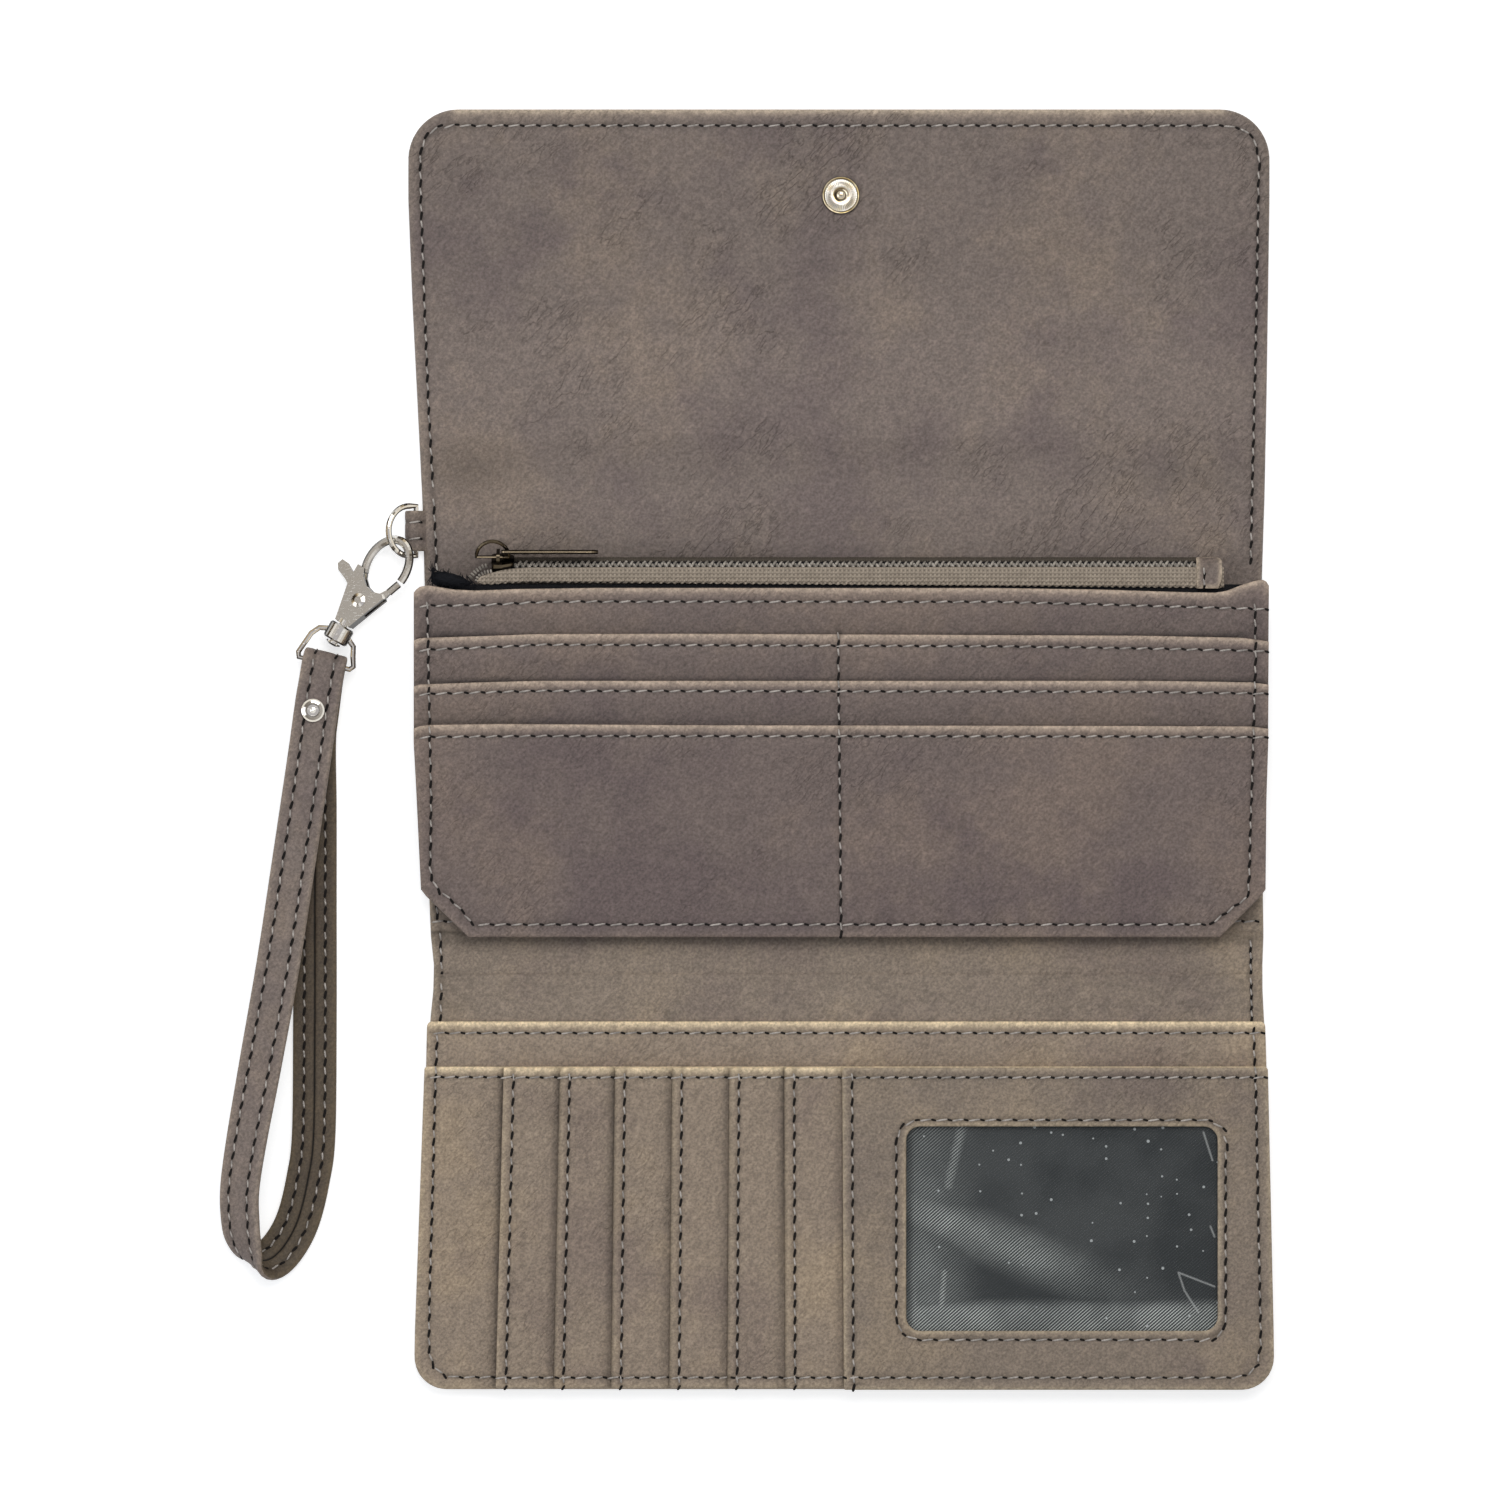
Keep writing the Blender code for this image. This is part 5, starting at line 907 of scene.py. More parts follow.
def twill_material():
    """Blue-black twill behind the window: lit in places, with lint on it."""
    material, tree, shader = new_material("window twill")
    here = tree.here()
    rib = tree.span(tree.stripes(here, (0.66, -0.75, 0.0), 0.60 * MM), 0.30, 0.85)
    cross = tree.stripes(here, (0.75, 0.66, 0.0), 0.52 * MM)
    thread = tree.product(rib, tree.math("MULTIPLY_ADD", cross, 0.5, 0.5))
    place = tree.add("SeparateXYZ", {0: here}).outputs
    bright = tree.product(tree.math("ADD", thread, 0.02),
                          tree.math("MULTIPLY_ADD", twill_sheen(tree, here, place), 0.97, 0.03))
    colour = tree.mix(bright, (0.016, 0.019, 0.022), (0.62, 0.65, 0.62))
    lint = tree.add("TexVoronoi", {"Vector": here, "Scale": 300.0, "Randomness": 1.0},
                    voronoi_dimensions="2D")
    size = tree.add("SeparateColor", {0: lint.outputs["Color"]}).outputs
    near = tree.math("LESS_THAN", lint.outputs["Distance"],
                     tree.math("MULTIPLY_ADD", size[1], 0.06, 0.05))
    side = tree.span(tree.math("ADD", place["X"], place["Y"]), -0.095, -0.050, 0.95, 0.80)
    few = tree.math("GREATER_THAN", size[0], side)
    colour = tree.mix(tree.product(near, few), colour, (0.40, 0.42, 0.42))
    surface(tree, shader, colour, 0.7, Specular_IOR_Level=0.1)
    raise_surface(tree, shader, rib, 0.02 * MM)
    return material


def film_material():
    """Clear film with a faint haze, and painted highlights along its creases."""
    material, tree, shader = new_material("window film")
    here = tree.here()
    creases = [line_mask(tree, here, first, second, 0.4 * MM) for first, second in FILM_CREASES]
    haze = tree.span(tree.noise(here, 55.0, 3.0), 0.35, 0.70, 0.018, 0.040)
    tree.feed(shader["Alpha"], tree.math("MULTIPLY_ADD", tree.largest(*creases), 0.20, haze))
    surface(tree, shader, (0.66, 0.68, 0.66), 0.12)
    raise_surface(tree, shader, tree.noise(here, 60.0, 2.0), 0.04 * MM)
    return material


def lint_material():
    """Frayed black lining with a fibrous surface."""
    material, tree, shader = new_material("frayed lining")
    fibres = tree.mapped(tree.here(), Rotation=(0.0, 0.0, 0.5), Scale=(900.0, 3600.0, 2400.0))
    tone = tree.noise(fibres, 1.0, 3.0)
    surface(tree, shader, tree.mix(tone, (0.0015, 0.0015, 0.002), (0.016, 0.017, 0.022)), 0.8,
            Specular_IOR_Level=0.12)
    raise_surface(tree, shader, tone, 0.25 * MM)
    return material


def coil_material():
    """Brown-grey coil plastic."""
    material, tree, shader = new_material("zip coil")
    tone = tree.span(tree.noise(tree.here(), 800.0, 2.0), 0.35, 0.7)
    colour = tuple(looks().coil_colour)
    surface(tree, shader, tree.mix(tone, tinted(colour, 0.45), colour), 0.30)
    return material


def finish_named(name):
    """A finish of the wallet, made at its first use."""
    made = bpy.data.materials.get(name)
    if made:
        return made
    look = looks()
    body, warm, strap = (tuple(colour) for colour in (look.leather_colour, look.front_colour,
                                                      look.strap_colour))
    tape, nickel = tuple(look.tape_colour), tuple(look.nickel_colour)
    makers = {
        "panel leather": (leather_material, body, 0.9),
        "pocket leather": (leather_material, tinted(body, 0.93, 0.90, 0.93), 0.6),
        "front leather": (leather_material, warm, 0.55),
        "slot leather": (leather_material, tinted(warm, 1.24, 1.22, 1.18), 0.55),
        "strap leather": (leather_material, strap, 0.25, 0.16 * MM),
        "strap inside": (leather_material, tinted(strap, 0.50, 0.47, 0.36), 0.25, 0.16 * MM),
        "pouch cloth": (cloth_material, (0.002, 0.002, 0.0025), (0.014, 0.014, 0.017),
                        0.45 * MM, 0.6, 0.7),
        "zip tape": (cloth_material, tinted(tape, 0.36), tape, 1.0 * MM, 0.0, 0.85),
        # The rear tape: the tape's colours darkened, as painted shade.
        "rear tape": (cloth_material, tinted(tape, 0.10), tinted(tape, 0.22), 0.60 * MM, 0.0, 0.85),
        "bright nickel": (metal_material, nickel, (0.74, 0.70, 0.64), 0.07),
        "snap nickel": (metal_material, nickel, (0.80, 0.72, 0.56), 0.08, SNAP_RINGS),
        "old brass": (metal_material, tuple(look.slider_colour), (0.100, 0.080, 0.052), 0.20),
        "spring steel": (metal_material, (0.42, 0.42, 0.43), (0.55, 0.54, 0.52), 0.24),
    }
    single = {"sewing thread": thread_material, "needle hole": needle_material,
              "window twill": twill_material, "window film": film_material,
              "frayed lining": lint_material, "zip coil": coil_material,
              "dark bronze": pull_material}
    if name in single:
        return single[name]()
    maker, *values = makers[name]
    return maker(name, *values)


GROUNDS = {}
BENDS = {
    "flap": ("upper_spine", "flap", FLAP_FOLD, 1.0),
    "back_high": ("upper_spine", "back", UPPER_FOLD, -1.0),
    "back_low": ("back", "lower_spine", LOWER_FOLD, -1.0),
    "front_low": ("lower_spine", "front", FRONT_FOLD, -1.0),
}
BODIES = {"block": "back", "pockets": "front", "ring_tab": "upper_spine", "zip_tab": "back"}


def follow(piece, ground):
    """Moves a piece with its ground: across a fold it only keeps its place, else it rides on one
    body.
    """
    if ground in BENDS:
        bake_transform(piece)
    else:
        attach(piece, BODIES.get(ground, ground))


def lay(piece, ground, slot_name, *nodes):
    """Puts a layer on its ground and hides the nodes it stands for; its slot is not used."""
    follow(piece, ground)
    if nodes:
        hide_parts(*nodes)
    GROUNDS.setdefault(ground, []).append(piece)
    return piece


def slab_low(x, y):
    """The underside of the wallet's leather."""
    return np.full_like(x, SLAB_LOW)


def wall_height(y, lift=0.0):
    """The height of the sloping pocket block along the wallet."""
    return WALL_LEVEL + lift + (y - WALL_FOOT_Y) * WALL_SLOPE


def wall_low(lift):
    """The underside of a layer of the block, drawn in at the seam that divides it."""
    return lambda x, y: wall_height(y, lift) - 0.10 * MM * bell(x, 1.6 * MM)


def level(z):
    """A flat underside."""
    return lambda x, y: np.full_like(x, z)


def above_rim(rim=None):
    """The painted shade on a layer: a dark line where it goes under the next rim, and softer shade
    over its lower part.
    """
    def shade(x, y):
        if rim is None:
            return 0.0 * x
        px, py = pixels(x, y)
        above = table(rim, px) - py
        return 1.5 * bell(above, 2.4) + 0.50 * smooth(1.0 - above / 34.0) * (above > -3.0)
    return shade


def beside(gap):
    """Painted shadow beside a folded edge, at a gap in pixels on its left."""
    return 1.2 * bell(gap, 2.6) + 0.4 * bell(gap, 8.0) * (gap > 0)


def spine_sag(x, y):
    """The shallow hollow of the upper spine, deepest near the flap's fold."""
    hollow = bell(y - 0.0668, 0.0062) + 0.5 * bell(y - 0.0530, 0.0060)
    return -0.00075 * hollow * (1.0 + 0.25 * np.sin(x * 90.0 + 0.6))


def cap_recess(line, radius, depth):
    """A round hollow in a slab's underside for the snap."""
    return lambda x, y: np.where(np.hypot(x, y - line) < radius, depth, 0.0)


class WALLET_OT_leather_panels(bpy.types.Operator):
    """The flap, the back and the front panel with their spines, as folded leather."""

    bl_idname = "wallet.leather_panels"
    bl_label = "Leather panels"

    def execute(self, context):
        leather, warm = finish_named("panel leather"), finish_named("front leather")
        shared = {"lower": slab_low, "thick": SLAB_THICK, "edge_radius": 1.3 * MM,
                  "flat_below": True, "swell": 0.20 * MM}
        make_layer("leather_flap", FLAP_SIDES, 108.8, BACK_TO_FLAP, ground="flap",
                   material=leather, open_foot=True, top_corner=50.0, extra=spine_sag,
                   rows=(447.0,), shade=self.fold_shade,
                   nodes=("flap_cover", "flap_lining", "flap_stiffener"), **shared)
        make_layer("leather_back_high", FLAP_SIDES, BACK_TO_FLAP, BACK_MIDDLE, ground="back_high",
                   material=leather, open_top=True, open_foot=True, extra=spine_sag,
                   rows=(537.0,), shade=self.fold_shade,
                   nodes=("back_cover", "back_lining", "back_stiffener", "upper_spine_cover",
                          "upper_spine_lining"), **shared)
        make_layer("leather_back_low", BACK_SIDES, BACK_MIDDLE, BACK_TO_FRONT, ground="back_low",
                   material=warm, open_top=True, open_foot=True, seed=2.0, extra=self.back_edge,
                   rows=(932.0, 938.0), shade=self.low_shade, **shared)
        make_layer("leather_front", FRONT_SIDES, BACK_TO_FRONT, FRONT_FOOT, ground="front_low",
                   material=warm, open_top=True, foot_corner=33.0, seed=2.0,
                   below=cap_recess(-0.0975, 3.4 * MM, 1.6 * MM), rows=(1010.0,),
                   shade=self.low_shade,
                   nodes=("front_cover", "front_lining", "front_stiffener", "lower_spine_cover",
                          "lower_spine_lining"), **shared)
        return {"FINISHED"}

    def fold_shade(self, x, y):
        """Painted shade in the folds of the upper spine and about the zip, painted light down the
        flap, and the pull ring's faint light print.
        """
        _, py = pixels(x, y)
        fold = 0.24 * smooth((py - 432.0) / 12.0) * smooth((505.0 - py) / 30.0)
        fold = fold * (0.75 + 0.35 * np.sin(x * 61.0 + 0.9) * np.sin(x * 23.0))
        spots = ((0.75, 472.0, 470.0, 48.0, 26.0), (0.5, 1180.0, 480.0, 70.0, 20.0),
                 (0.55, 640.0, 551.0, 190.0, 7.0), (0.5, 455.0, 570.0, 22.0, 9.0),
                 (1.1, 483.0, 574.0, 13.0, 7.0))
        dark = sum(depth * spot(x, y, *place) for depth, *place in spots)
        ring = np.hypot(x - photo_x(500.0), y - photo_y(560.0)) / PX
        print_arc = bell(ring - 24.5, 1.8) * smooth((548.0 - py) / 8.0)
        # Painted light: the flap grows paler towards the spine.
        pale = 0.34 * smooth((py - 240.0) / 130.0) * smooth((560.0 - py) / 60.0)
        return fold + dark - pale - 0.55 * print_arc

    def low_shade(self, x, y):
        """Painted shade: the shadow below the block's foot, the dark step at the back's edge and
        the lower spine's fine wrinkles; lighter further down.
        """
        px, py = pixels(x, y)
        foot = 0.55 * bell(py - 938.0, 7.0) * (py > 930.0)
        step = 0.9 * bell(py - 932.5, 1.8) * (px < 480.0)
        fine = np.sin(py * 1.45 + 2.0 * np.sin(px * 0.11)) * 0.5 + 0.5
        ends = bell(px - 452.0, 20.0) + 0.5 * smooth((px - 1000.0) / 120.0)
        wrinkle = 0.55 * fine * ends * smooth((py - 962.0) / 12.0) * smooth((1018.0 - py) / 10.0)
        return foot + step + wrinkle - 0.18 * (py > 945.0)

    def back_edge(self, x, y):
        """The back's own edge, a step above the lower spine."""
        return 0.00030 * smooth((y - photo_y(933.5)) / (0.7 * MM)) - 0.00030


class WALLET_OT_pocket_block(bpy.types.Operator):
    """The sloping front wall of the zipped pocket, its card slots, gussets and cloth."""

    bl_idname = "wallet.pocket_block"
    bl_label = "Pocket block"

    def execute(self, context):
        leather = finish_named("pocket leather")
        shared = {"sides": WALL_SIDES, "foot": BLOCK_FOOT, "ground": "block", "material": leather,
                  "columns": (838.5, 841.0), "chamfer": 46.0}
        make_layer("leather_pocket_wall", top=589.0, lower=wall_low(0.0), thick=WALL_THICK,
                   rim=WALL_RIM, shade=above_rim(SLOT_RIMS[0]), nodes=("pocket_front_wall",),
                   **shared)
        for index, (lift, rim) in enumerate(zip(SLOT_LIFTS, SLOT_RIMS)):
            name = f"card_slot_{index + 1}"
            make_layer(f"leather_{name}", top=float(rim[4][1]), lower=wall_low(lift),
                       thick=SLOT_THICK, rim=rim, shade=above_rim(*SLOT_RIMS[index + 1:index + 2]),
                       nodes=(name,), **shared)
        self.gussets(leather)
        self.pouch()
        return {"FINISHED"}

    def gussets(self, leather):
        """The two wedge-shaped sides of the zipped pocket."""
        for name, side in (("left", -1.0), ("right", 1.0)):
            def point(u, v, side=side):
                y = -0.0256 + 0.0627 * u
                foot, top = WALL_LEVEL, wall_height(y) - 0.28 * MM
                bulge = 0.6 * MM * np.sin(v * math.pi)
                return side * (GUSSET_LINE + bulge), y, foot + (top - foot) * v
            gusset = curved_sheet(f"leather_gusset_{name}", 40, 10, point, 0.0008, leather)
            lay(gusset, "back", "body_leather", f"side_gusset_{name}")

    def pouch(self):
        """The black cloth sheets behind and in front of the zipped pocket's space."""
        cloth = finish_named("pouch cloth")

        def rear(u, v):
            return -0.0946 + 0.1892 * u, POUCH_FOOT + 0.0670 * v, 0.0036

        def front(u, v):
            x, y = -0.0960 + 0.1920 * u, POUCH_FOOT + 0.0686 * v
            drop = smooth((y - 0.0345) / (3.5 * MM)) * 1.8 * MM
            return x, y, wall_height(y) - 0.45 * MM - drop + 0.12 * MM * waves(x, y, 1.0, 0.02)

        back_sheet = curved_sheet("cloth_pouch_rear", 60, 30, rear, 0.0004, cloth)
        lay(back_sheet, "back", "black_cloth", "zip_pouch_rear")
        front_sheet = curved_sheet("cloth_pouch_front", 90, 60, front, 0.0004, cloth)
        lay(front_sheet, "back", "black_cloth", "zip_pouch_front")


def curved_sheet(name, across, along, point, thick, material, edge_radius=None):
    """A sheet of even thickness on a curved surface given by point(u, v)."""
    piece, column, row, upper = slab(name, across, along)
    u, v = np.meshgrid(np.linspace(0.0, 1.0, across + 1), np.linspace(0.0, 1.0, along + 1))
    grid = np.stack([np.broadcast_to(part, u.shape) for part in point(u, v)], axis=2)
    side_u = np.gradient(grid, axis=1)
    side_v = np.gradient(grid, axis=0)
    normal = np.cross(side_u, side_v)
    normal /= np.linalg.norm(normal, axis=2)[:, :, None]
    wide = np.linalg.norm(side_u, axis=2)
    tall = np.linalg.norm(side_v, axis=2)
    gap = np.minimum(np.minimum(column, across - column) * wide[row, column],
                     np.minimum(row, along - row) * tall[row, column])
    rise = 0.3 + 0.7 * roll(gap, edge_radius or thick)
    places = grid[row, column] + normal[row, column] * (np.where(upper, 0.5, -0.5) * thick
                                                        * rise)[:, None]
    set_coordinates(piece, places)
    paint(piece, "edge", bell(gap, 0.8 * MM))
    paint(piece, "seam", np.zeros(len(row)))
    return finish_mesh(piece, material)


class WALLET_OT_front_pockets(bpy.types.Operator):
    """The front panel's slip pocket, shingled upright slots, window panel, film and backing."""

    bl_idname = "wallet.front_pockets"
    bl_label = "Front pockets"

    def execute(self, context):
        leather = finish_named("slot leather")
        shared = {"thick": SLOT_THICK, "ground": "pockets", "material": leather}
        make_layer("leather_slip_pocket", SLIP_SIDES, 1021.5, FRONT_FOOT, level(SLIP_LEVEL),
                   top_corner=5.0, foot_corner=33.0, seed=1.0, nodes=("front_slip_pocket",),
                   **shared)
        make_layer("leather_slot_base", BASE_SIDES, 1066.5, FRONT_FOOT, level(BASE_LEVEL),
                   top_corner=3.0, foot_corner=33.0, seed=4.0, shade=self.beside_first,
                   nodes=("slot_base",), **shared)
        for index, edge in enumerate(STRIP_EDGES):
            self.strip(index, *edge, shared)
        self.window_panel(finish_named("front leather"))
        self.film_and_backing()
        return {"FINISHED"}

    def strip(self, index, top_px, foot_px, shared):
        """One shingled slot: its folded left edge high, its right side tucked under the next."""
        sides = ((1066, top_px, top_px + STRIP_WIDTH_PX), (1388, foot_px, foot_px + STRIP_WIDTH_PX))

        def low(x, y):
            left = photo_x(table(sides, pixels(x, y)[1]))
            return STRIP_LEVEL - (x - left) * STRIP_SLOPE

        name = f"upright_slot_{index + 1}"
        make_layer(f"leather_{name}", sides, 1067.0, FRONT_FOOT - 1.5, low, top_corner=2.0,
                   foot_corner=2.0, seed=0.7 * index, edge_radius=0.8 * MM,
                   shade=self.beside_next, nodes=(name,), **shared)

    def beside_first(self, x, y):
        """Painted shadow beside the first strip's folded edge."""
        px, py = pixels(x, y)
        return beside(504.0 - 8.0 * (py - 1067.0) / 322.0 - px)

    def beside_next(self, x, y):
        """Painted shadow beside each later folded edge."""
        px, py = pixels(x, y)
        return sum(beside(top_px + (foot_px - top_px) * (py - 1067.0) / 322.0 - px)
                   for top_px, foot_px in (*STRIP_EDGES[1:], PANEL_EDGE))

    def window_panel(self, leather):
        """The leather panel round the window, from a ring primitive."""
        run, corner = 26, 9
        inner = rounded_path(*WINDOW_PX, (14.0,) * 4, run, corner)
        outer = rounded_path(842.0, 1067.0, 1270.0, FRONT_FOOT, (4.0, 2.0, 33.0, 3.0), run, corner)
        left_part = outer[:, 0] < 1057.0
        left = table(((1067, PANEL_EDGE[0], 0), (1388, PANEL_EDGE[1], 0)), outer[:, 1], 1)
        right = table(BASE_SIDES, outer[:, 1], 2)
        outer[:, 0] = np.where(left_part, left + outer[:, 0] - 842.0, right + outer[:, 0] - 1270.0)
        shares = close_at_ends(60.0) / 60.0
        around, section = len(inner), 2 * len(shares)
        deselect()
        bpy.ops.mesh.primitive_torus_add(major_segments=around, minor_segments=section,
                                         major_radius=1.0, minor_radius=0.25)
        panel = bpy.context.object
        panel.name = "leather_id_panel"
        panel.data.name = panel.name
        ring = coordinates(panel)
        major = np.arctan2(ring[:, 1], ring[:, 0]) % math.tau
        major = np.rint(major / math.tau * around).astype(int) % around
        minor = np.arctan2(ring[:, 2], np.hypot(ring[:, 0], ring[:, 1]) - 1.0) % math.tau
        minor = np.rint(minor / math.tau * section).astype(int) % section
        upper = minor < len(shares)
        share = np.where(upper, shares[minor % len(shares)],
                         shares[(section - 1 - minor) % len(shares)])
        px = inner[major] + (outer[major] - inner[major]) * share[:, None]
        x, y = photo_x(px[:, 0]), photo_y(px[:, 1])
        chains = [on_wallet(np.vstack((path, path[:1]))) for path in (inner, outer)]
        distance = outline_distance(x, y, chains)
        pull, seam_mask = puffed(x, y, "pockets", SEAM_DENT)
        swell = 0.12 * MM * waves(x, y, 5.0) * smooth(distance / (5.0 * MM))
        above, under = folded(SLOT_THICK, roll(distance, 0.8 * MM))
        z = STRIP_LEVEL + np.where(upper, above, under) + pull + swell
        set_coordinates(panel, np.stack((x, y, z), axis=1))
        paint(panel, "edge", 0.34 * bell(distance, 0.9 * MM))
        paint(panel, "seam", seam_mask)
        finish_mesh(panel, leather)
        lay(panel, "pockets", "body_leather", "id_panel")

    def film_and_backing(self):
        """The clear film, slightly rippled and creased, and the twill behind it."""
        def spread(u, v):
            return 0.0127 + 0.0796 * u, -0.1413 + 0.0542 * v

        def film_point(u, v):
            x, y = spread(u, v)
            ripple = 0.22 * MM * waves(x, y, 3.0, 0.03) + 0.10 * MM * np.sin(x * 260.0 + y * 190.0)
            crease_x = photo_x(1178.0 + (pixels(x, y)[1] - 1270.0) * 0.5)
            near = bell(x - crease_x, 0.6 * MM) * smooth((-0.120 - y) / (4.0 * MM))
            return x, y, FILM_LEVEL + ripple - 0.12 * MM * near

        def twill_point(u, v):
            x, y = spread(u, v)
            return x, y, TWILL_LEVEL + 0.10 * MM * waves(x, y, 6.0, 0.02)

        film = curved_sheet("window_sheet", 80, 56, film_point, 0.0002, finish_named("window film"))
        lay(film, "front", "clear_film", "window_film")
        twill = curved_sheet("cloth_window_backing", 60, 40, twill_point, 0.0004,
                             finish_named("window twill"))
        lay(twill, "front", "black_cloth", "window_backing")


def rounded_path(x0, y0, x1, y1, radii, run, corner):
    """Points round a rounded box: even steps on the sides and in each corner."""
    corners = ((x0, y0), (x0, y1), (x1, y1), (x1, y0))
    points = []
    for index, (cx, cy) in enumerate(corners):
        radius = radii[index]
        toward_x = 1.0 if cx == x0 else -1.0
        toward_y = 1.0 if cy == y0 else -1.0
        centre = np.array((cx + toward_x * radius, cy + toward_y * radius))
        first = math.atan2(-toward_y, 0.0) if index % 2 == 0 else math.atan2(0.0, -toward_x)
        for step in range(corner):
            angle = first - math.pi / 2.0 * step / (corner - 1)
            points.append(centre + radius * np.array((math.cos(angle), math.sin(angle))))
        points.append(None)
    filled = []
    for index, point in enumerate(points):
        if point is not None:
            filled.append(point)
            continue
        start, end = points[index - 1], points[(index + 1) % len(points)]
        filled.extend(start + (end - start) * (k + 1) / (run + 1) for k in range(run))
    return np.array(filled)


ZIP_LINE = 0.0436
ZIP_LEVEL = 0.0069
ZIP_RISE = np.array((0.0, -0.5, 0.866))
ZIP_OUT = np.array((0.0, 0.866, 0.5))
ZIP_PITCH = 0.00148
ZIP_START = -0.0772
ZIP_END = 0.0868
ZIP_LEAN = math.radians(24.0)
ZIP_TAB_PX = (1195.5, 1221.0, 1203.0)
ZIP_TAB_PATH = np.array(((0.0452, 0.0062), (0.0447, 0.0079), (0.0437, 0.0092), (0.0423, 0.01000),
                         (0.0404, 0.01025), (0.0380, 0.0102)))
ROPE_PX = 7.05
TAPE_TOP = ((478, 582.5), (479, 579.5), (482, 577.2), (490, 574.3), (503, 570.9), (515, 569.2),
            (530, 568.2), (1223, 567.8))
TAPE_FOOT = ((478, 583.0), (482, 584.2), (492, 584.6), (505, 583.4), (530, 582.2), (1223, 588.0))
OPEN_ROWS = {
    "front": (((493, 571.5), (487, 572.5), (482, 574.5), (478.5, 578), (477, 582.5)), 8.8, 8.0),
    "rear": (((488, 565.8), (483, 567), (478, 570), (473.5, 574), (470, 578.5)), 7.2, 6.6),
}


def tooth_frame(along, across, out, length, width, height):
    """The axes of one bead, each with its length."""
    return (np.asarray(along) * length, np.asarray(across) * width, np.asarray(out) * height)


def unit(vector):
    """A direction of length one."""
    return np.asarray(vector, float) / np.linalg.norm(vector)


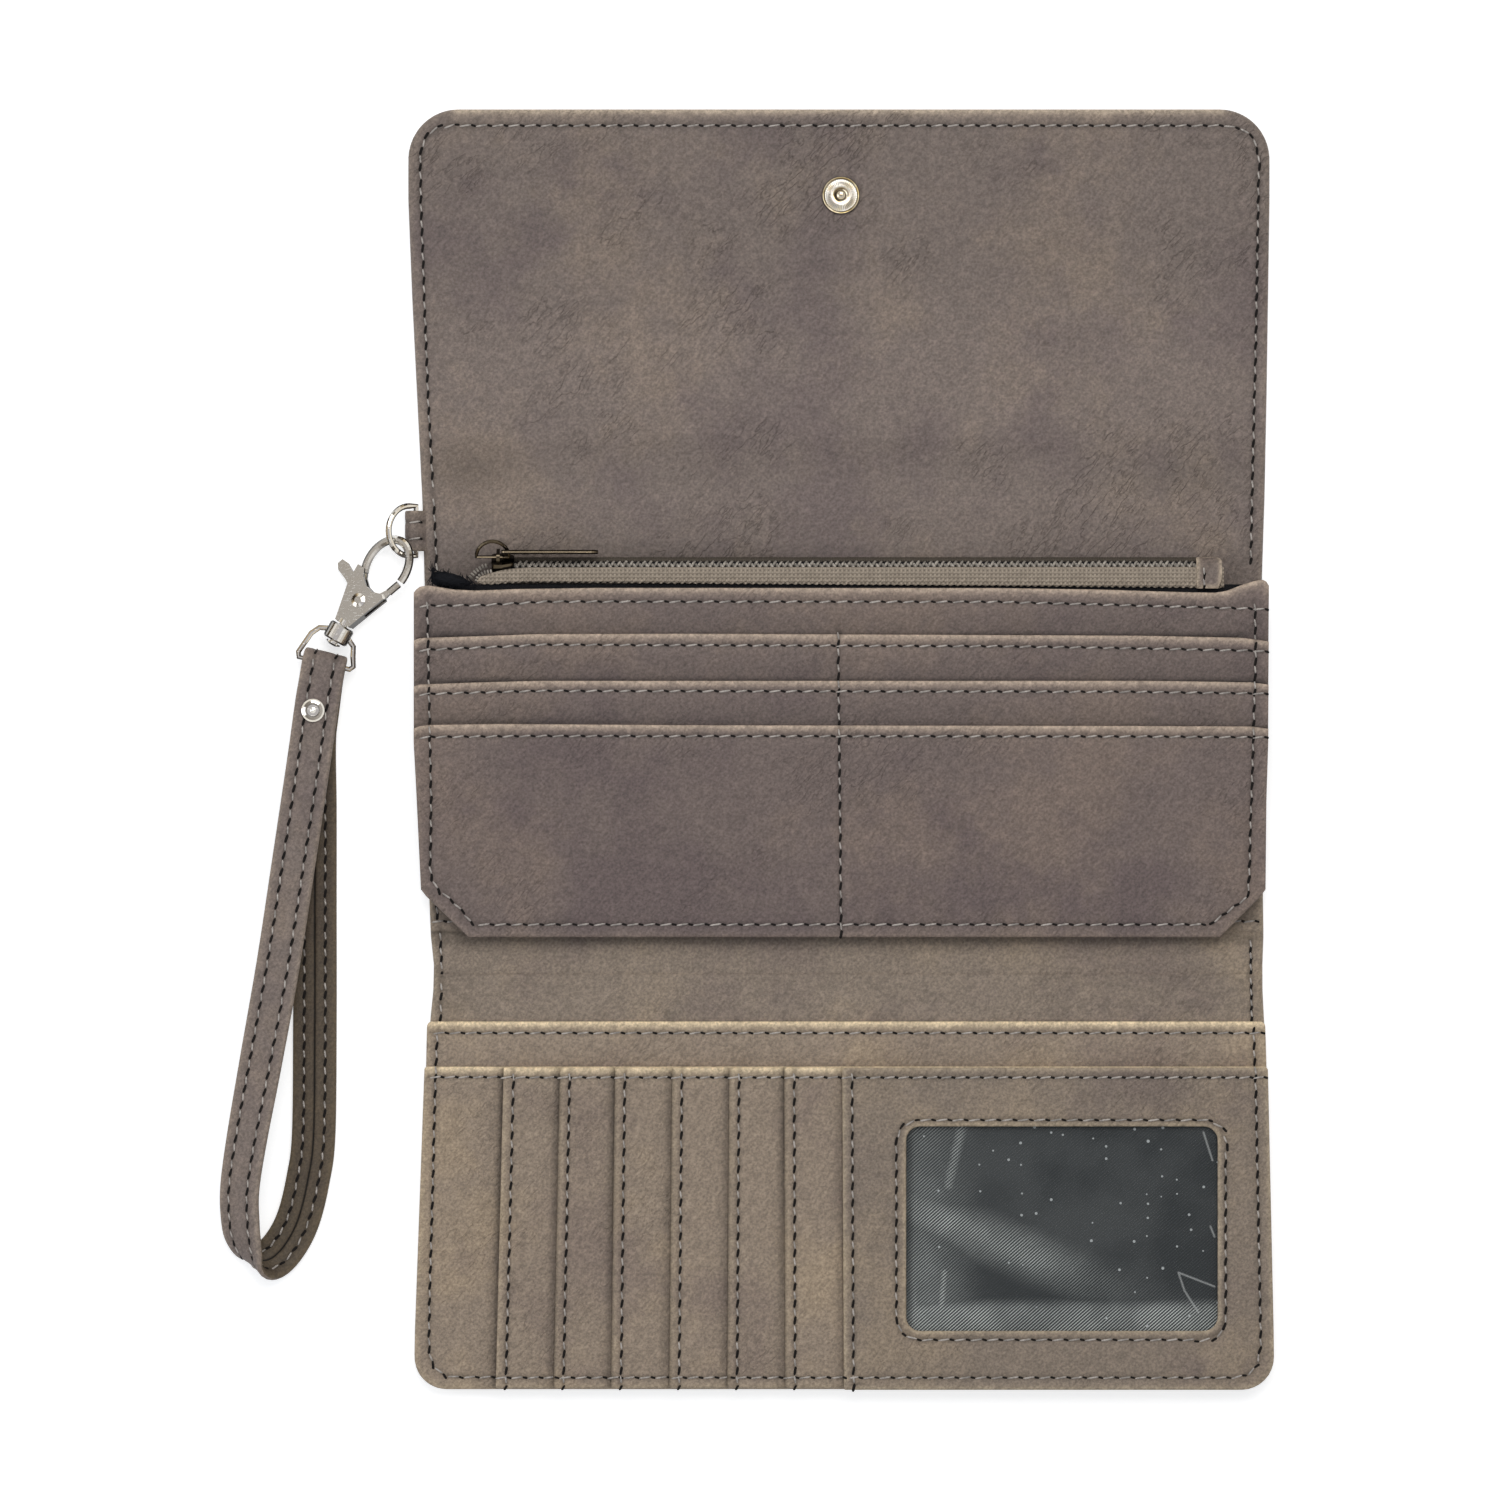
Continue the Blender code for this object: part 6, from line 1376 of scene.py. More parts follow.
class WALLET_OT_zip(bpy.types.Operator):
    """The zip's coil rows, woven tapes, frayed lining end and leather end tab."""

    bl_idname = "wallet.zip"
    bl_label = "Zip"

    def execute(self, context):
        self.teeth()
        self.tapes()
        self.frayed_end()
        self.end_tab()
        return {"FINISHED"}

    def teeth(self):
        """Meshed rows from the slider to the end tab, and the two open rows beside the slider."""
        plastic = finish_named("zip coil")
        bead = bean_shape(8, 6)
        for side, row in ((1.0, "front"), (-1.0, "rear")):
            frames = []
            lean = np.array((math.sin(ZIP_LEAN), 0.0, 0.0))
            along = unit(ZIP_RISE * side * math.cos(ZIP_LEAN) + lean)
            across = unit(np.cross(ZIP_OUT, along))
            axes = tooth_frame(along, across, ZIP_OUT, 1.95 * MM, 0.74 * MM, 1.30 * MM)
            for k in range(int((ZIP_END - ZIP_START) / ZIP_PITCH)):
                x = ZIP_START + (k + (0.5 if side < 0 else 0.0)) * ZIP_PITCH
                at = np.array((x, ZIP_LINE, ZIP_LEVEL)) + ZIP_RISE * side * 0.55 * MM
                frames.append((axes, at + ZIP_OUT * (0.10 * MM * math.sin(k * 1.9))))
            frames.extend(self.open_row(*OPEN_ROWS[row]))
            piece = copies(f"zip_teeth_{row}", bead, frames, plastic)
            lay(piece, "back", "coil_plastic", f"zip_coil_{row}")

    def open_row(self, points, start, end):
        """The beads of a row that has left the slider."""
        frames = []
        for at, ahead, share in along_chain(points, 3.2):
            across = np.array((-ahead[1], ahead[0], 0.0))
            up = np.array((0.0, 0.0, 1.0))
            axes = tooth_frame(across, unit(ahead), up, 1.15 * MM, 0.52 * MM, 1.2 * MM)
            frames.append((axes, (at[0], at[1], (start + (end - start) * share) * MM)))
        return frames

    def tapes(self):
        """The upper tape lies level and turns under the wall, the lower goes down to the lining."""
        cloth = finish_named("zip tape")

        def front(u, v):
            px = 478.0 + 745.0 * u
            x = photo_x(px)
            top = photo_y(table(TAPE_TOP, px))
            scallop = 0.16 * MM * np.sin(px * math.tau / ROPE_PX) * (v > 0.8)
            edge = photo_y(table(TAPE_FOOT, px)) + scallop
            reach = np.clip(v * 1.25 - 0.25, 0.0, 1.0)
            rise = smooth(v / 0.25)
            y = top - (top - edge) * (0.06 * rise + 0.94 * reach)
            rope = np.sin(x * math.tau / (ROPE_PX * PX) + 9.0 * reach) * smooth(reach * 3.0 - 1.6)
            z = (8.0 + 1.7 * rise - 0.4 * reach + 0.18 * rope) * MM
            return x, y, z + 0.08 * MM * waves(x, y, 2.0, 0.02)

        def rear(u, v):
            y = 0.0453 - 0.8 * MM * smooth(v * 2.0 - 1.0)
            return photo_x(511.0) + 0.1660 * u, y, (3.5 + 2.4 * v) * MM

        # A black strip under the teeth: the coil's core, and painted shade in the gaps between the
        # teeth.
        def cord(u, v):
            x = photo_x(512.0) + (ZIP_END - photo_x(512.0)) * u
            return x, 0.0444 - 1.7 * MM * v, (6.0 + v + 0.3 * np.sin(v * math.pi)) * MM

        front_tape = curved_sheet("zip_band_front", 620, 22, front, 0.00045, cloth)
        lay(front_tape, "back", "tape_cloth", "zip_tape_front")
        # The lower tape is near-black: painted shade under the teeth and the pull.
        rear_tape = curved_sheet("zip_band_rear", 120, 8, rear, 0.0004, finish_named("rear tape"))
        lay(rear_tape, "back", "tape_cloth", "zip_tape_rear")
        core_and_shade = curved_sheet("zip_cord", 90, 6, cord, 0.0004, finish_named("pouch cloth"))
        lay(core_and_shade, "back", "tape_cloth")

    def frayed_end(self):
        """The swollen, frayed end of the black lining at the zip's open end."""
        rings = 40
        profile = [(math.sin(math.pi * k / rings), math.cos(math.pi * k / rings))
                   for k in range(rings + 1)]
        swell = lathe("lining_frayed", profile, 64, finish_named("frayed lining"))
        x, y, z = coordinates(swell).T
        bumps = 1.0 + 0.14 * waves(x + z, y, 1.0, 1.1) + 0.10 * waves(x, y + z, 4.0, 0.30)
        set_coordinates(swell, np.stack((
            photo_x(451.0) + x * 4.6 * MM * bumps,
            photo_y(580.5) + y * (1.7 - 0.5 * x) * MM * bumps - 0.63 * MM * x,
            0.0088 + z * 1.5 * MM * bumps), axis=1))
        lay(swell, "back", "black_cloth")
        frames = [frame for frame in map(self.fibre, range(150)) if frame]
        ends = copies("lining_threads", bean_shape(6, 6), frames, finish_named("frayed lining"))
        lay(ends, "back", "black_cloth")

    def fibre(self, k):
        """One fibre on the frayed end: each sixth is long and starts at the left tip. None is
        made where it would hang past the wallet's side."""
        turn = math.radians(60.0 + 250.0 * ((k * 0.618) % 1.0))
        ahead = unit((math.cos(turn), math.sin(turn), 0.25 * math.sin(k * 2.1)))
        across = unit(np.cross((0.0, 0.0, 1.0), ahead))
        length = (0.7 + 1.3 * ((k * 0.414) % 1.0)) * MM
        share = (k * 0.37) % 1.0
        px, py = 434.0 + 42.0 * share, 575.5 + 11.0 * share
        py += 5.5 * (1.0 - 0.4 * share) * (1.0 if k % 2 else -1.0)
        if k % 6 == 0:
            px, py, length = 433.5, 574.0, 2.4 * length
        at = np.array((photo_x(px), photo_y(py), 0.0098 - 0.6 * MM * share)) + ahead * length * 0.35
        if at[0] + ahead[0] * length * 0.5 <= photo_x(426.5):
            return None
        out = unit(np.cross(ahead, across))
        return tooth_frame(ahead, across, out, length, 0.20 * MM, 0.20 * MM), at

    def end_tab(self):
        """The leather tab folded over the zip's closed end."""
        left, right, seam = photo_x(ZIP_TAB_PX)
        steps = np.linspace(0.0, 1.0, len(ZIP_TAB_PATH))

        def point(u, v):
            y, z = (np.interp(v, steps, part) for part in ZIP_TAB_PATH.T)
            end = 1.0 - 0.16 * np.clip(np.abs(v - 0.5) * 2.0, 0.0, 1.0) ** 4
            x = left + (right - left) * u * end
            puff = 0.35 * MM * np.sin(u * math.pi) * np.sin(v * math.pi)
            return x, y, z + puff - 0.22 * MM * bell(x - seam, 0.45 * MM)

        tab = curved_sheet("leather_zip_tab", 30, 30, point, 0.0008, finish_named("panel leather"),
                           0.0006)
        lay(tab, "zip_tab", "body_leather", "zip_end_tab")


def at_run(want, run, rows):
    """A row read at a run from a table of rows along it."""
    return np.array([np.interp(want, run, part) for part in rows.T])


def along_chain(points, pitch):
    """Evenly spaced places along a chain of pixels: place, direction and share of the way."""
    chain = on_wallet(points)
    steps = np.linalg.norm(np.diff(chain, axis=0), axis=1)
    run = np.concatenate(([0.0], np.cumsum(steps)))
    count = max(1, int(round(run[-1] / (pitch * PX))))
    for k in range(count):
        want = run[-1] * (k + 0.5) / count
        ahead = unit(at_run(want + 0.9 * MM, run, chain) - at_run(want - 0.9 * MM, run, chain))
        yield at_run(want, run, chain), np.array((*ahead, 0.0)), want / run[-1]


STRAP_HALF = 0.0052
STRAP_THICK = 0.0019
STRAP_DROP = 0.1440
STRAP_LIFT = 0.0076
STRAP_BAR = (-0.12303, 0.0203, 0.0042)
STRAP_BAR_YAW = math.radians(-14.0)
STRAP_WRAP_RADIUS = 0.0019
STRAP_SEAM = 0.00250
STRAP_PITCH_PX = 16.9
STRAP_TAIL = ((-0.0150, -0.108, 0.500, -9, 0), (-0.0110, -0.078, 0.500, -9, 0),
              (-0.0050, -0.030, 0.420, -14, 0))
STRAP_ROUTE = (
    (-0.0050, -0.030, 0.803, -14, 0), (-0.0095, -0.055, 0.790, -11, 0),
    (-0.0130, -0.078, 0.789, -9, 0), (-0.0235, -0.154, 0.789, -9, 0),
    (-0.0470, -0.312, 0.820, -9, 2), (-0.0745, -0.494, 0.900, -9, 5),
    (-0.1035, -0.658, 0.965, -9, 12), (-0.1265, -0.785, 1.000, -7, 22),
    (-0.1380, -0.866, 1.010, -2, 27), (-0.1375, -0.918, 0.985, 2, 30),
    (-0.1320, -0.954, 0.900, -8, 36), (-0.1165, -0.989, 0.640, -36, 43),
    (-0.0890, -0.986, 0.350, -62, 16), (-0.0640, -0.960, 0.210, -50, 3),
    (-0.0430, -0.918, 0.158, -30, 0), (-0.0275, -0.855, 0.144, -14, 0),
    (-0.0180, -0.780, 0.144, -5, 0), (-0.0160, -0.600, 0.144, 0, 0),
    (-0.0160, -0.400, 0.144, 0, 0), (-0.0160, -0.240, 0.150, -3, 0),
    (-0.0168, -0.130, 0.210, -6, 0), (-0.0110, -0.056, 0.210, -9, 0),
)


def strap_stations():
    """The strap's route: tail, wrap round the swivel's bar, front strand, fold, back strand."""
    def station(row):
        x, y, z, yaw, tilt = row
        yaw, tilt = math.radians(yaw), math.radians(tilt)
        centre = (STRAP_BAR[0] + x * STRAP_DROP, STRAP_BAR[1] + y * STRAP_DROP, z * STRAP_LIFT)
        return Vector(centre), Vector((math.cos(tilt) * math.cos(yaw),
                                       math.cos(tilt) * math.sin(yaw), math.sin(tilt)))

    bar = Matrix.Translation(STRAP_BAR) @ Matrix.Rotation(STRAP_BAR_YAW, 4, "Z")
    width = bar.to_3x3() @ Vector((1.0, 0.0, 0.0))
    stations = [station(row) for row in STRAP_TAIL]
    for step in range(11):
        angle = math.pi * step / 10 - math.pi / 2.0
        around = Vector((0.0, math.cos(angle), math.sin(angle))) * STRAP_WRAP_RADIUS
        stations.append((bar @ around, width))
    return stations + [station(row) for row in STRAP_ROUTE]


def smooth_line(stations, step):
    """Stations joined by a smooth curve, with a place about every step."""
    line = []
    last = len(stations) - 1
    for index in range(last):
        picks = [stations[k] for k in (max(index - 1, 0), index, index + 1, min(index + 2, last))]
        count = max(1, round((picks[2][0] - picks[1][0]).length / step))
        for k in range(count):
            t = k / count
            parts = []
            for which in (0, 1):
                p, q, r, s = (pick[which] for pick in picks)
                parts.append((2.0 * q + (r - p) * t + (2.0 * p - 5.0 * q + 4.0 * r - s) * t ** 2
                              + (3.0 * q - p - 3.0 * r + s) * t ** 3) / 2.0)
            line.append((parts[0], parts[1].normalized()))
    line.append(stations[last])
    return line


class WALLET_OT_wrist_strap(bpy.types.Operator):
    """The folded leather wrist strap with its two rows of stitches and its inner seam."""

    bl_idname = "wallet.wrist_strap"
    bl_label = "Wrist strap"

    def execute(self, context):
        line = smooth_line(strap_stations(), 1.0 * MM)
        rows = (-STRAP_SEAM, STRAP_SEAM)
        near = (0.0, 0.15, 0.35, 0.6, 0.9, 1.3, 1.7, 2.1, 2.4, 2.6, 2.8, 3.0, 3.4, 3.9, 4.4, 4.8,
                5.0)
        offsets = np.array([-STRAP_HALF + k * MM for k in near] + [0.0]
                           + [STRAP_HALF - k * MM for k in reversed(near)])

        def shape(across, along, side):
            pull = sum(bell(across - row, 0.55 * MM) for row in rows)
            seam = bell(across, 0.25 * MM) * (side < 0.0)
            crown = 0.10 * MM * (1.0 - (across / STRAP_HALF) ** 2)
            ripple = 0.05 * MM * waves(along, across, 2.0, 0.03)
            return crown + ripple - 0.14 * MM * pull - 0.25 * MM * seam

        strap, centre, width, normal, run = ribbon(
            "leather_wrist_strap", line, STRAP_HALF, STRAP_THICK - 0.2 * MM,
            finish_named("strap leather"), offsets=offsets, edge_radius=0.75 * MM, shape=shape,
            seam_rows=rows, inner_material=finish_named("strap inside"))
        lay(strap, "wrist_strap", "strap_leather", "wrist_strap")
        self.stitches(centre, width, normal, run, rows)
        return {"FINISHED"}

    def stitches(self, centre, width, normal, run, rows):
        """Both faces' rows of thread, from the tail round to the other end."""
        threads, holes = [], []
        pitch = STRAP_PITCH_PX * PX
        surface = STRAP_THICK / 2.0 - 0.15 * MM
        for row in rows:
            for side in (1.0, -1.0):
                for k in range(2 * int((run[-1] - pitch) / pitch)):
                    want = (k + 1) * 0.5 * pitch
                    middle, across, out = (at_run(want, run, part)
                                           for part in (centre, width, normal))
                    ahead = unit(at_run(want + MM, run, centre) - at_run(want - MM, run, centre))
                    up = unit(out) * side
                    hole = bool(k % 2)
                    frame = stitch_frame(middle + across * row + up * surface, ahead, up, hole)
                    (holes if hole else threads).append(frame)
        join_stitches("wrist_strap", "wrist_strap", threads, holes)


def stitch_frame(at, ahead, up, hole):
    """The frame of a thread or of the slit of painted shade between two threads; both vary with the
    run.
    """
    look = looks()
    side = unit(np.cross(up, ahead))
    upright = float(ahead[1]) ** 2
    turn = math.radians((-16.0 + 4.0 * upright) if hole else 9.0)
    along = ahead * math.cos(turn) + side * math.sin(turn)
    across = unit(np.cross(up, along))
    if hole:
        length = look.slit_length * (1.0 + 0.70 * upright)
        width = look.slit_width * (1.0 + 0.25 * upright)
        axes = tooth_frame(along, across, up, length, width, 0.16 * MM)
        return axes, np.asarray(at) + np.asarray(up) * 0.03 * MM
    length = look.stitch_length * (1.0 - 0.36 * upright)
    axes = tooth_frame(along, across, up, length, look.thread_width, 0.36 * MM)
    return axes, np.asarray(at) + np.asarray(up) * 0.02 * MM


def join_stitches(ground, label, threads, holes):
    """The rows of one ground as one piece of thread and one of slits."""
    for name, finish, rings, frames in (("thread", "sewing thread", 6, threads),
                                        ("needle", "needle hole", 4, holes)):
        piece = copies(f"{name}_{label}", bean_shape(8, rings), frames, finish_named(finish))
        follow(piece, ground)


def ground_tree(ground):
    """A search tree of all layers on a ground."""
    points, faces = [], []
    for piece in GROUNDS[ground]:
        first = len(points)
        points.extend(coordinates(piece).tolist())
        faces.extend([first + corner for corner in face.vertices] for face in piece.data.polygons)
    return BVHTree.FromPolygons(points, faces)


class WALLET_OT_thread(bpy.types.Operator):
    """Every row of stitches: threads that lie in the leather, with slits of painted shade between
    them.
    """

    bl_idname = "wallet.thread"
    bl_label = "Thread"

    def execute(self, context):
        for ground in sorted({row[0] for row in SEAMS}):
            rows = [(pitch, points) for name, pitch, points in SEAMS if name == ground]
            self.sew(ground, ground, rows, 1.0)
        self.sew("flap", "flap_outside", [row[1:] for row in SEAMS if row[0] == "flap"], -1.0)
        for ground in ("back_high", "back_low", "front_low"):
            rows = [(pitch, points) for pitch, points in OUTER_ROWS
                    if self.on_ground(ground, points)]
            self.sew(ground, f"{ground}_outside", rows, -1.0)
        self.tab_stitches()
        return {"FINISHED"}

    def on_ground(self, ground, points):
        """Whether an outer row lies on a ground of the back or the front."""
        middle = sum(point[1] for point in points) / len(points)
        spans = {"back_high": (BACK_TO_FLAP, BACK_MIDDLE), "back_low": (BACK_MIDDLE, BACK_TO_FRONT),
                 "front_low": (BACK_TO_FRONT, FRONT_FOOT)}
        return spans[ground][0] <= middle < spans[ground][1]

    def sew(self, ground, label, rows, side):
        """Rows of threads and slits on a ground, seen from above or, with side -1, from below."""
        tree = ground_tree(ground)
        threads, holes = [], []
        for pitch, points in rows:
            for at, ahead, _ in along_chain(points, pitch):
                self.add(tree, threads, at, ahead, False, side)
                self.add(tree, holes, at + ahead[:2] * pitch * PX * 0.5, ahead, True, side)
        join_stitches(ground, label, threads, holes)

    def add(self, tree, bucket, at, ahead, hole, side=1.0):
        """One thread or slit laid on the leather, from above or from below."""
        start = Vector((at[0], at[1], 0.05 * side))
        hit, normal, _, _ = tree.ray_cast(start, Vector((0.0, 0.0, -side)))
        if hit is None:
            return
        up = unit(tuple(normal)) if normal.z * side > 0.5 else np.array((0.0, 0.0, side))
        level_ahead = unit(ahead - up * float(ahead @ up))
        bucket.append(stitch_frame(tuple(hit), level_ahead, up, hole))

    def tab_stitches(self):
        """The few stitches of the ring's tab and of the zip's end tab."""
        for ground, rows in (
            ("ring_tab", ((409, 522, 420.5, 522), (409, 538.6, 420.5, 538.6))),
            ("zip_tab", ((1203, 566, 1203, 588),)),
        ):
            tree = ground_tree(ground)
            threads, holes = [], []
            for x0, y0, x1, y1 in rows:
                for at, ahead, _ in along_chain(((x0, y0), (x1, y1)), 10.5):
                    self.add(tree, threads, at, ahead, False)
                    self.add(tree, holes, at + ahead[:2] * 5.6 * PX, ahead, True)
            join_stitches(ground, ground, threads, holes)


class WALLET_OT_fittings(bpy.types.Operator):
    """The ring's leather tab, the fluted snap stud, and the finishes of the metal parts."""

    bl_idname = "wallet.fittings"
    bl_label = "Fittings"

    def execute(self, context):
        self.ring_tab()
        self.snap_stud()
        finishes = {
            "bright nickel": ("d_ring", "hook_body", "hook_rivet", "hook_gate", "swivel_loop",
                              "strap_rivet", "snap_stud_post", "snap_socket", "snap_socket_post"),
            "old brass": ("zip_slider", "pull_ring"),
            "dark bronze": ("pull_tab",),
            "spring steel": ("gate_spring",),
        }
        for finish, nodes in finishes.items():
            for node in nodes:
                for slot in bpy.data.objects[node].material_slots:
                    slot.material = finish_named(finish)
        return {"FINISHED"}

    def ring_tab(self):
        """The leather band folded round the ring's bar, its ends inside the panel."""
        centre = np.array((-0.10180, 0.05180, 0.00230))
        radius = 1.50 * MM
        section = [(-0.0950, 0.00170), (-0.0978, 0.00175), (-0.0992, 0.00225), (-0.1002, 0.0031)]
        for angle in np.radians(np.linspace(78.0, 282.0, 25)):
            section.append((centre[0] + radius * math.cos(angle),
                            centre[2] + radius * math.sin(angle)))
        section += [(-0.1000, 0.00115), (-0.0985, 0.00125), (-0.0950, 0.00125)]
        stations = [(Vector((x, centre[1], z)), Vector((0.0, 1.0, 0.0))) for x, z in section]
        line = smooth_line(stations, 0.25 * MM)
        rows = (photo_y(522.0) - centre[1], photo_y(538.6) - centre[1])

        def shape(across, along, side):
            pull = sum(bell(across - row, 0.5 * MM) for row in rows)
            return -0.10 * MM * pull

        tab = ribbon("leather_ring_tab", line, 0.0048, 0.00105, finish_named("panel leather"),
                     columns=30, edge_radius=0.45 * MM, shape=shape, seam_rows=rows)[0]
        lay(tab, "ring_tab", "body_leather", "ring_tab")

    def snap_stud(self):
        """The stud: a ball in a fluted dish with a raised rim."""
        profile = [(r * MM, z * MM) for r, z in SNAP_PROFILE]
        ridges = 44

        def flute(radius, angle, ring):
            inside = smooth((radius - 2.15 * MM) / (0.25 * MM))
            inside = inside * smooth((3.75 * MM - radius) / (0.2 * MM)) * (ring < 20)
            return 0.22 * MM * inside * (np.abs(np.cos(angle * ridges / 2.0)) - 0.6)

        stud = lathe("snap_stud_fluted", profile, ridges * 6, finish_named("snap nickel"), flute,
                     (0.0, SNAP_LINE, 0.00318))
        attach(stud, "flap")
        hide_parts("snap_stud")


# What the metal mirrors, from below to straight above; the camera's height and sensor
SHINE_BANDS = (
    (0.0, (0.75, 0.75, 0.75)), (0.49, (0.70, 0.69, 0.66)), (0.52, (0.03, 0.025, 0.02)),
    (0.58, (0.04, 0.03, 0.02)), (0.63, (0.50, 0.38, 0.22)), (0.68, (1.0, 0.95, 0.85)),
    (0.76, (1.0, 1.0, 1.0)), (0.81, (0.55, 0.50, 0.42)), (0.855, (0.07, 0.055, 0.04)),
    (0.89, (0.42, 0.39, 0.36)), (0.93, (1.0, 1.0, 0.99)), (0.965, (0.80, 0.79, 0.80)),
    (0.985, (0.50, 0.49, 0.51)), (1.0, (0.56, 0.55, 0.57)),
)
CAMERA_HEIGHT = 2.6
SENSOR_MM = 36.0


class WALLET_OT_stage(bpy.types.Operator):
    """A pale floor, soft studio light and a camera straight above."""

    bl_idname = "wallet.stage"
    bl_label = "Stage"

    def execute(self, context):
        scene = context.scene
        self.floor()
        self.world(scene)
        self.lamp("key_light", looks().key_power, 1.0, (0.10, 0.74, 1.50), (1.0, 0.985, 0.95))
        self.lamp("side_light", looks().fill_power, 0.9, (-1.20, -0.10, 0.90), (0.90, 0.94, 1.0))
        self.camera(scene)
        scene.view_settings.view_transform = "Standard"
        return {"FINISHED"}

    def floor(self):
        """The pale floor: white to the eye, and the object's shadow stays on it."""
        deselect()
        bpy.ops.mesh.primitive_plane_add(size=6.0, location=(0.0, 0.0, 0.0))
        floor = bpy.context.object
        floor.name = "floor"
        material, tree, shader = new_material("floor")
        surface(tree, shader, (0.78, 0.78, 0.78), 0.9, Specular_IOR_Level=0.0,
                Emission_Color=(1.0, 1.0, 1.0, 1.0))
        seen = tree.add("LightPath").outputs
        straight = tree.largest(seen["Is Camera Ray"], seen["Is Glossy Ray"],
                                seen["Is Transmission Ray"])
        tree.feed(shader["Emission Strength"], tree.product(straight, 0.58))
        floor.data.materials.append(material)

    def world(self, scene):
        """White to the camera, banded for the metal, and an even cool light elsewhere."""
        world = bpy.data.worlds.new("studio")
        scene.world = world
        world.use_nodes = True
        world.node_tree.nodes.clear()
        tree = Tree(world.node_tree)
        seen = tree.add("LightPath").outputs
        ways = tree.add("TexCoord").outputs["Generated"]
        height = tree.add("SeparateXYZ", {0: ways}).outputs["Z"]
        shine_colour = ramp_of(tree, tree.math("MULTIPLY_ADD", height, 0.5, 0.5), SHINE_BANDS)
        plain = tree.add("Background", {"Color": (0.93, 0.96, 1.0),
                                        "Strength": looks().sky_strength})
        shine = tree.add("Background", {"Color": shine_colour, "Strength": 1.0})
        white = tree.add("Background", {"Color": (1.0, 1.0, 1.0), "Strength": 1.0})
        first = tree.add("MixShader", {0: seen["Is Glossy Ray"], 1: plain.outputs[0],
                                       2: shine.outputs[0]})
        straight = tree.largest(seen["Is Camera Ray"], seen["Is Transmission Ray"])
        second = tree.add("MixShader", {0: straight, 1: first.outputs[0], 2: white.outputs[0]})
        tree.add("OutputWorld", {"Surface": second.outputs[0]})

    def lamp(self, name, power, size, place, colour):
        """A soft square lamp aimed at the wallet."""
        data = bpy.data.lights.new(name, "AREA")
        data.energy = power
        data.size = size
        data.color = colour
        lamp = bpy.data.objects.new(name, data)
        bpy.context.scene.collection.objects.link(lamp)
        lamp.location = place
        aim = Vector((-0.02, 0.0, 0.0)) - Vector(place)
        lamp.rotation_euler = aim.to_track_quat("-Z", "Y").to_euler()

    def camera(self, scene):
        """The camera, straight above the middle of the picture."""
        data = bpy.data.cameras.new("camera")
        data.lens = SENSOR_MM * CAMERA_HEIGHT / PICTURE_SIDE
        data.sensor_width = SENSOR_MM
        data.clip_end = 20.0
        camera = bpy.data.objects.new("camera", data)
        scene.collection.objects.link(camera)
        camera.location = (float(photo_x(750.0)), float(photo_y(750.0)), CAMERA_HEIGHT + 4.0 * MM)
        scene.camera = camera


def colour_property(name, description, default):
    """A colour that a user may change."""
    return FloatVectorProperty(name=name, description=description, default=default, size=3,
                               min=0.0, max=1.0, subtype="COLOR")


def length_property(name, description, default):
    """A length that a user may change."""
    return FloatProperty(name=name, description=description, default=default, unit="LENGTH",
                         subtype="DISTANCE", precision=5)


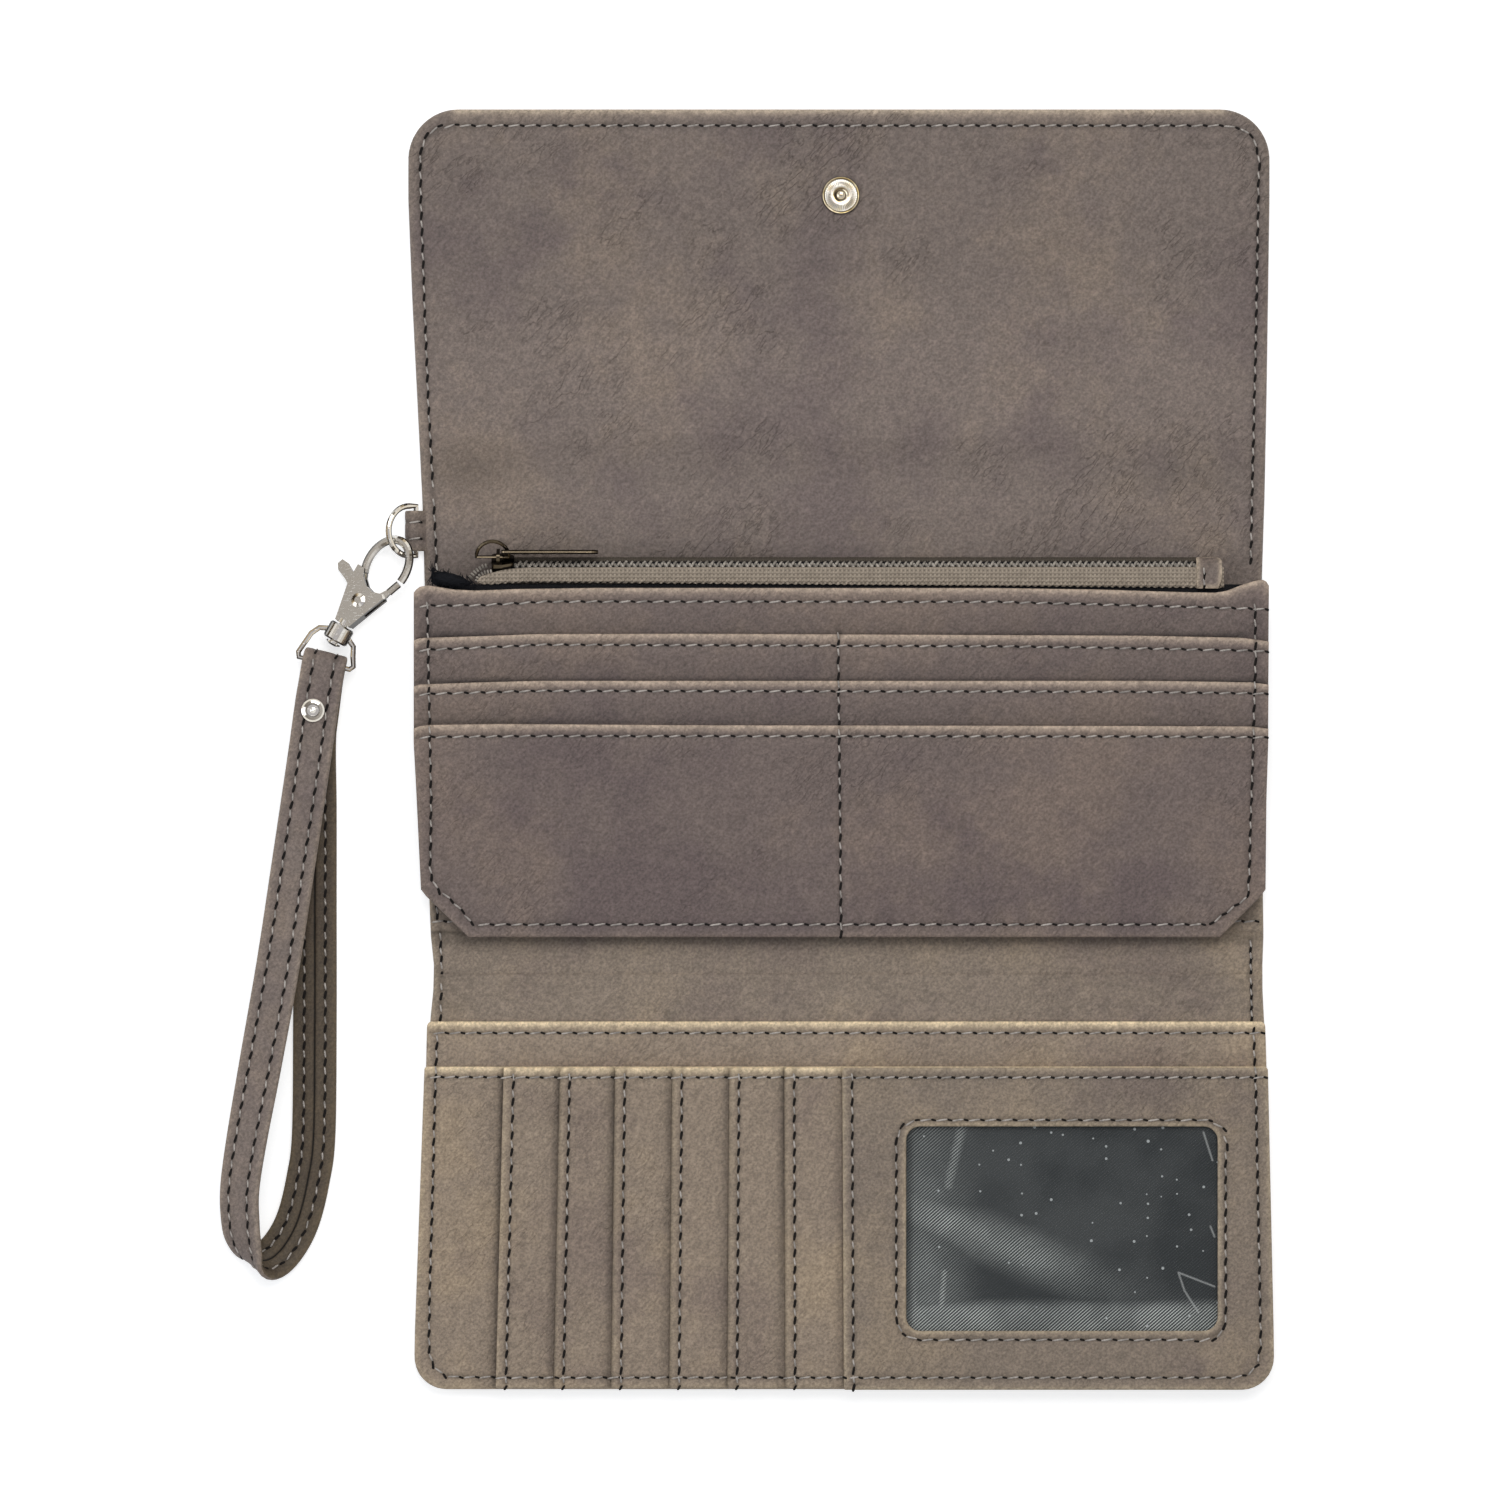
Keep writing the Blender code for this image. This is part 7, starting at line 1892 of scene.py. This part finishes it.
class WalletLooks(bpy.types.PropertyGroup):
    """The sizes and colours of the wallet's finish."""

    leather_colour: colour_property("Body leather", "Leather of the flap, back and pockets",
                                    (0.182, 0.144, 0.125))
    front_colour: colour_property("Front leather", "Leather of the front panel",
                                  (0.236, 0.187, 0.146))
    strap_colour: colour_property("Strap leather", "Leather of the wrist strap",
                                  (0.196, 0.155, 0.134))
    cloud_contrast: FloatProperty(name="Cloud contrast", default=1.18, min=1.0, max=2.0,
                                  description="How much lighter and darker the clouds are")
    thread_colour: colour_property("Thread", "Sewing thread", (0.52, 0.47, 0.43))
    stitch_length: length_property("Stitch length", "Length of one thread", 0.0028)
    thread_width: length_property("Thread width", "Width of one thread", 0.00044)
    slit_length: length_property("Slit length", "Length of the slit between threads", 0.00130)
    slit_width: length_property("Slit width", "Width of the slit between threads", 0.00056)
    coil_colour: colour_property("Coil", "Zip coil", (0.56, 0.505, 0.44))
    tape_colour: colour_property("Tape", "Zip tape", (0.465, 0.385, 0.305))
    nickel_colour: colour_property("Nickel", "Plated hook, ring and snap", (0.80, 0.775, 0.73))
    slider_colour: colour_property("Old brass", "Zip slider and pull", (0.105, 0.085, 0.060))
    key_power: FloatProperty(name="Key light", description="Power of the key light", default=12.0,
                             unit="POWER")
    fill_power: FloatProperty(name="Fill light", description="Power of the side light", default=4.0,
                              unit="POWER")
    sky_strength: FloatProperty(name="Sky", description="Strength of the even light", default=0.45)


class WALLET_PT_panel(bpy.types.Panel):
    """Lists the wallet's looks and its making steps."""

    bl_idname = "WALLET_PT_panel"
    bl_label = "Wallet"
    bl_space_type = "VIEW_3D"
    bl_region_type = "UI"
    bl_category = "Wallet"

    def draw(self, context):
        for name in WalletLooks.__annotations__:
            self.layout.prop(context.scene.wallet_looks, name)
        for operator in OPERATORS:
            self.layout.operator(operator.bl_idname)


OPERATORS = (WALLET_OT_stage, WALLET_OT_leather_panels, WALLET_OT_pocket_block,
             WALLET_OT_front_pockets, WALLET_OT_zip, WALLET_OT_fittings, WALLET_OT_wrist_strap,
             WALLET_OT_thread)
CLASSES = (WalletLooks, *OPERATORS, WALLET_PT_panel)


def register():
    """Adds the wallet's classes and settings."""
    for item in CLASSES:
        bpy.utils.register_class(item)
    bpy.types.Scene.wallet_looks = PointerProperty(type=WalletLooks)


def unregister():
    """Removes the wallet's settings and classes."""
    del bpy.types.Scene.wallet_looks
    for item in reversed(CLASSES):
        bpy.utils.unregister_class(item)


def main():
    """Makes the wallet's visible pieces."""
    register()
    bpy.ops.wallet.stage()
    bpy.ops.wallet.leather_panels()
    bpy.ops.wallet.pocket_block()
    bpy.ops.wallet.front_pockets()
    bpy.ops.wallet.zip()
    bpy.ops.wallet.fittings()
    bpy.ops.wallet.wrist_strap()
    bpy.ops.wallet.thread()


if __name__ == "__main__":
    main()
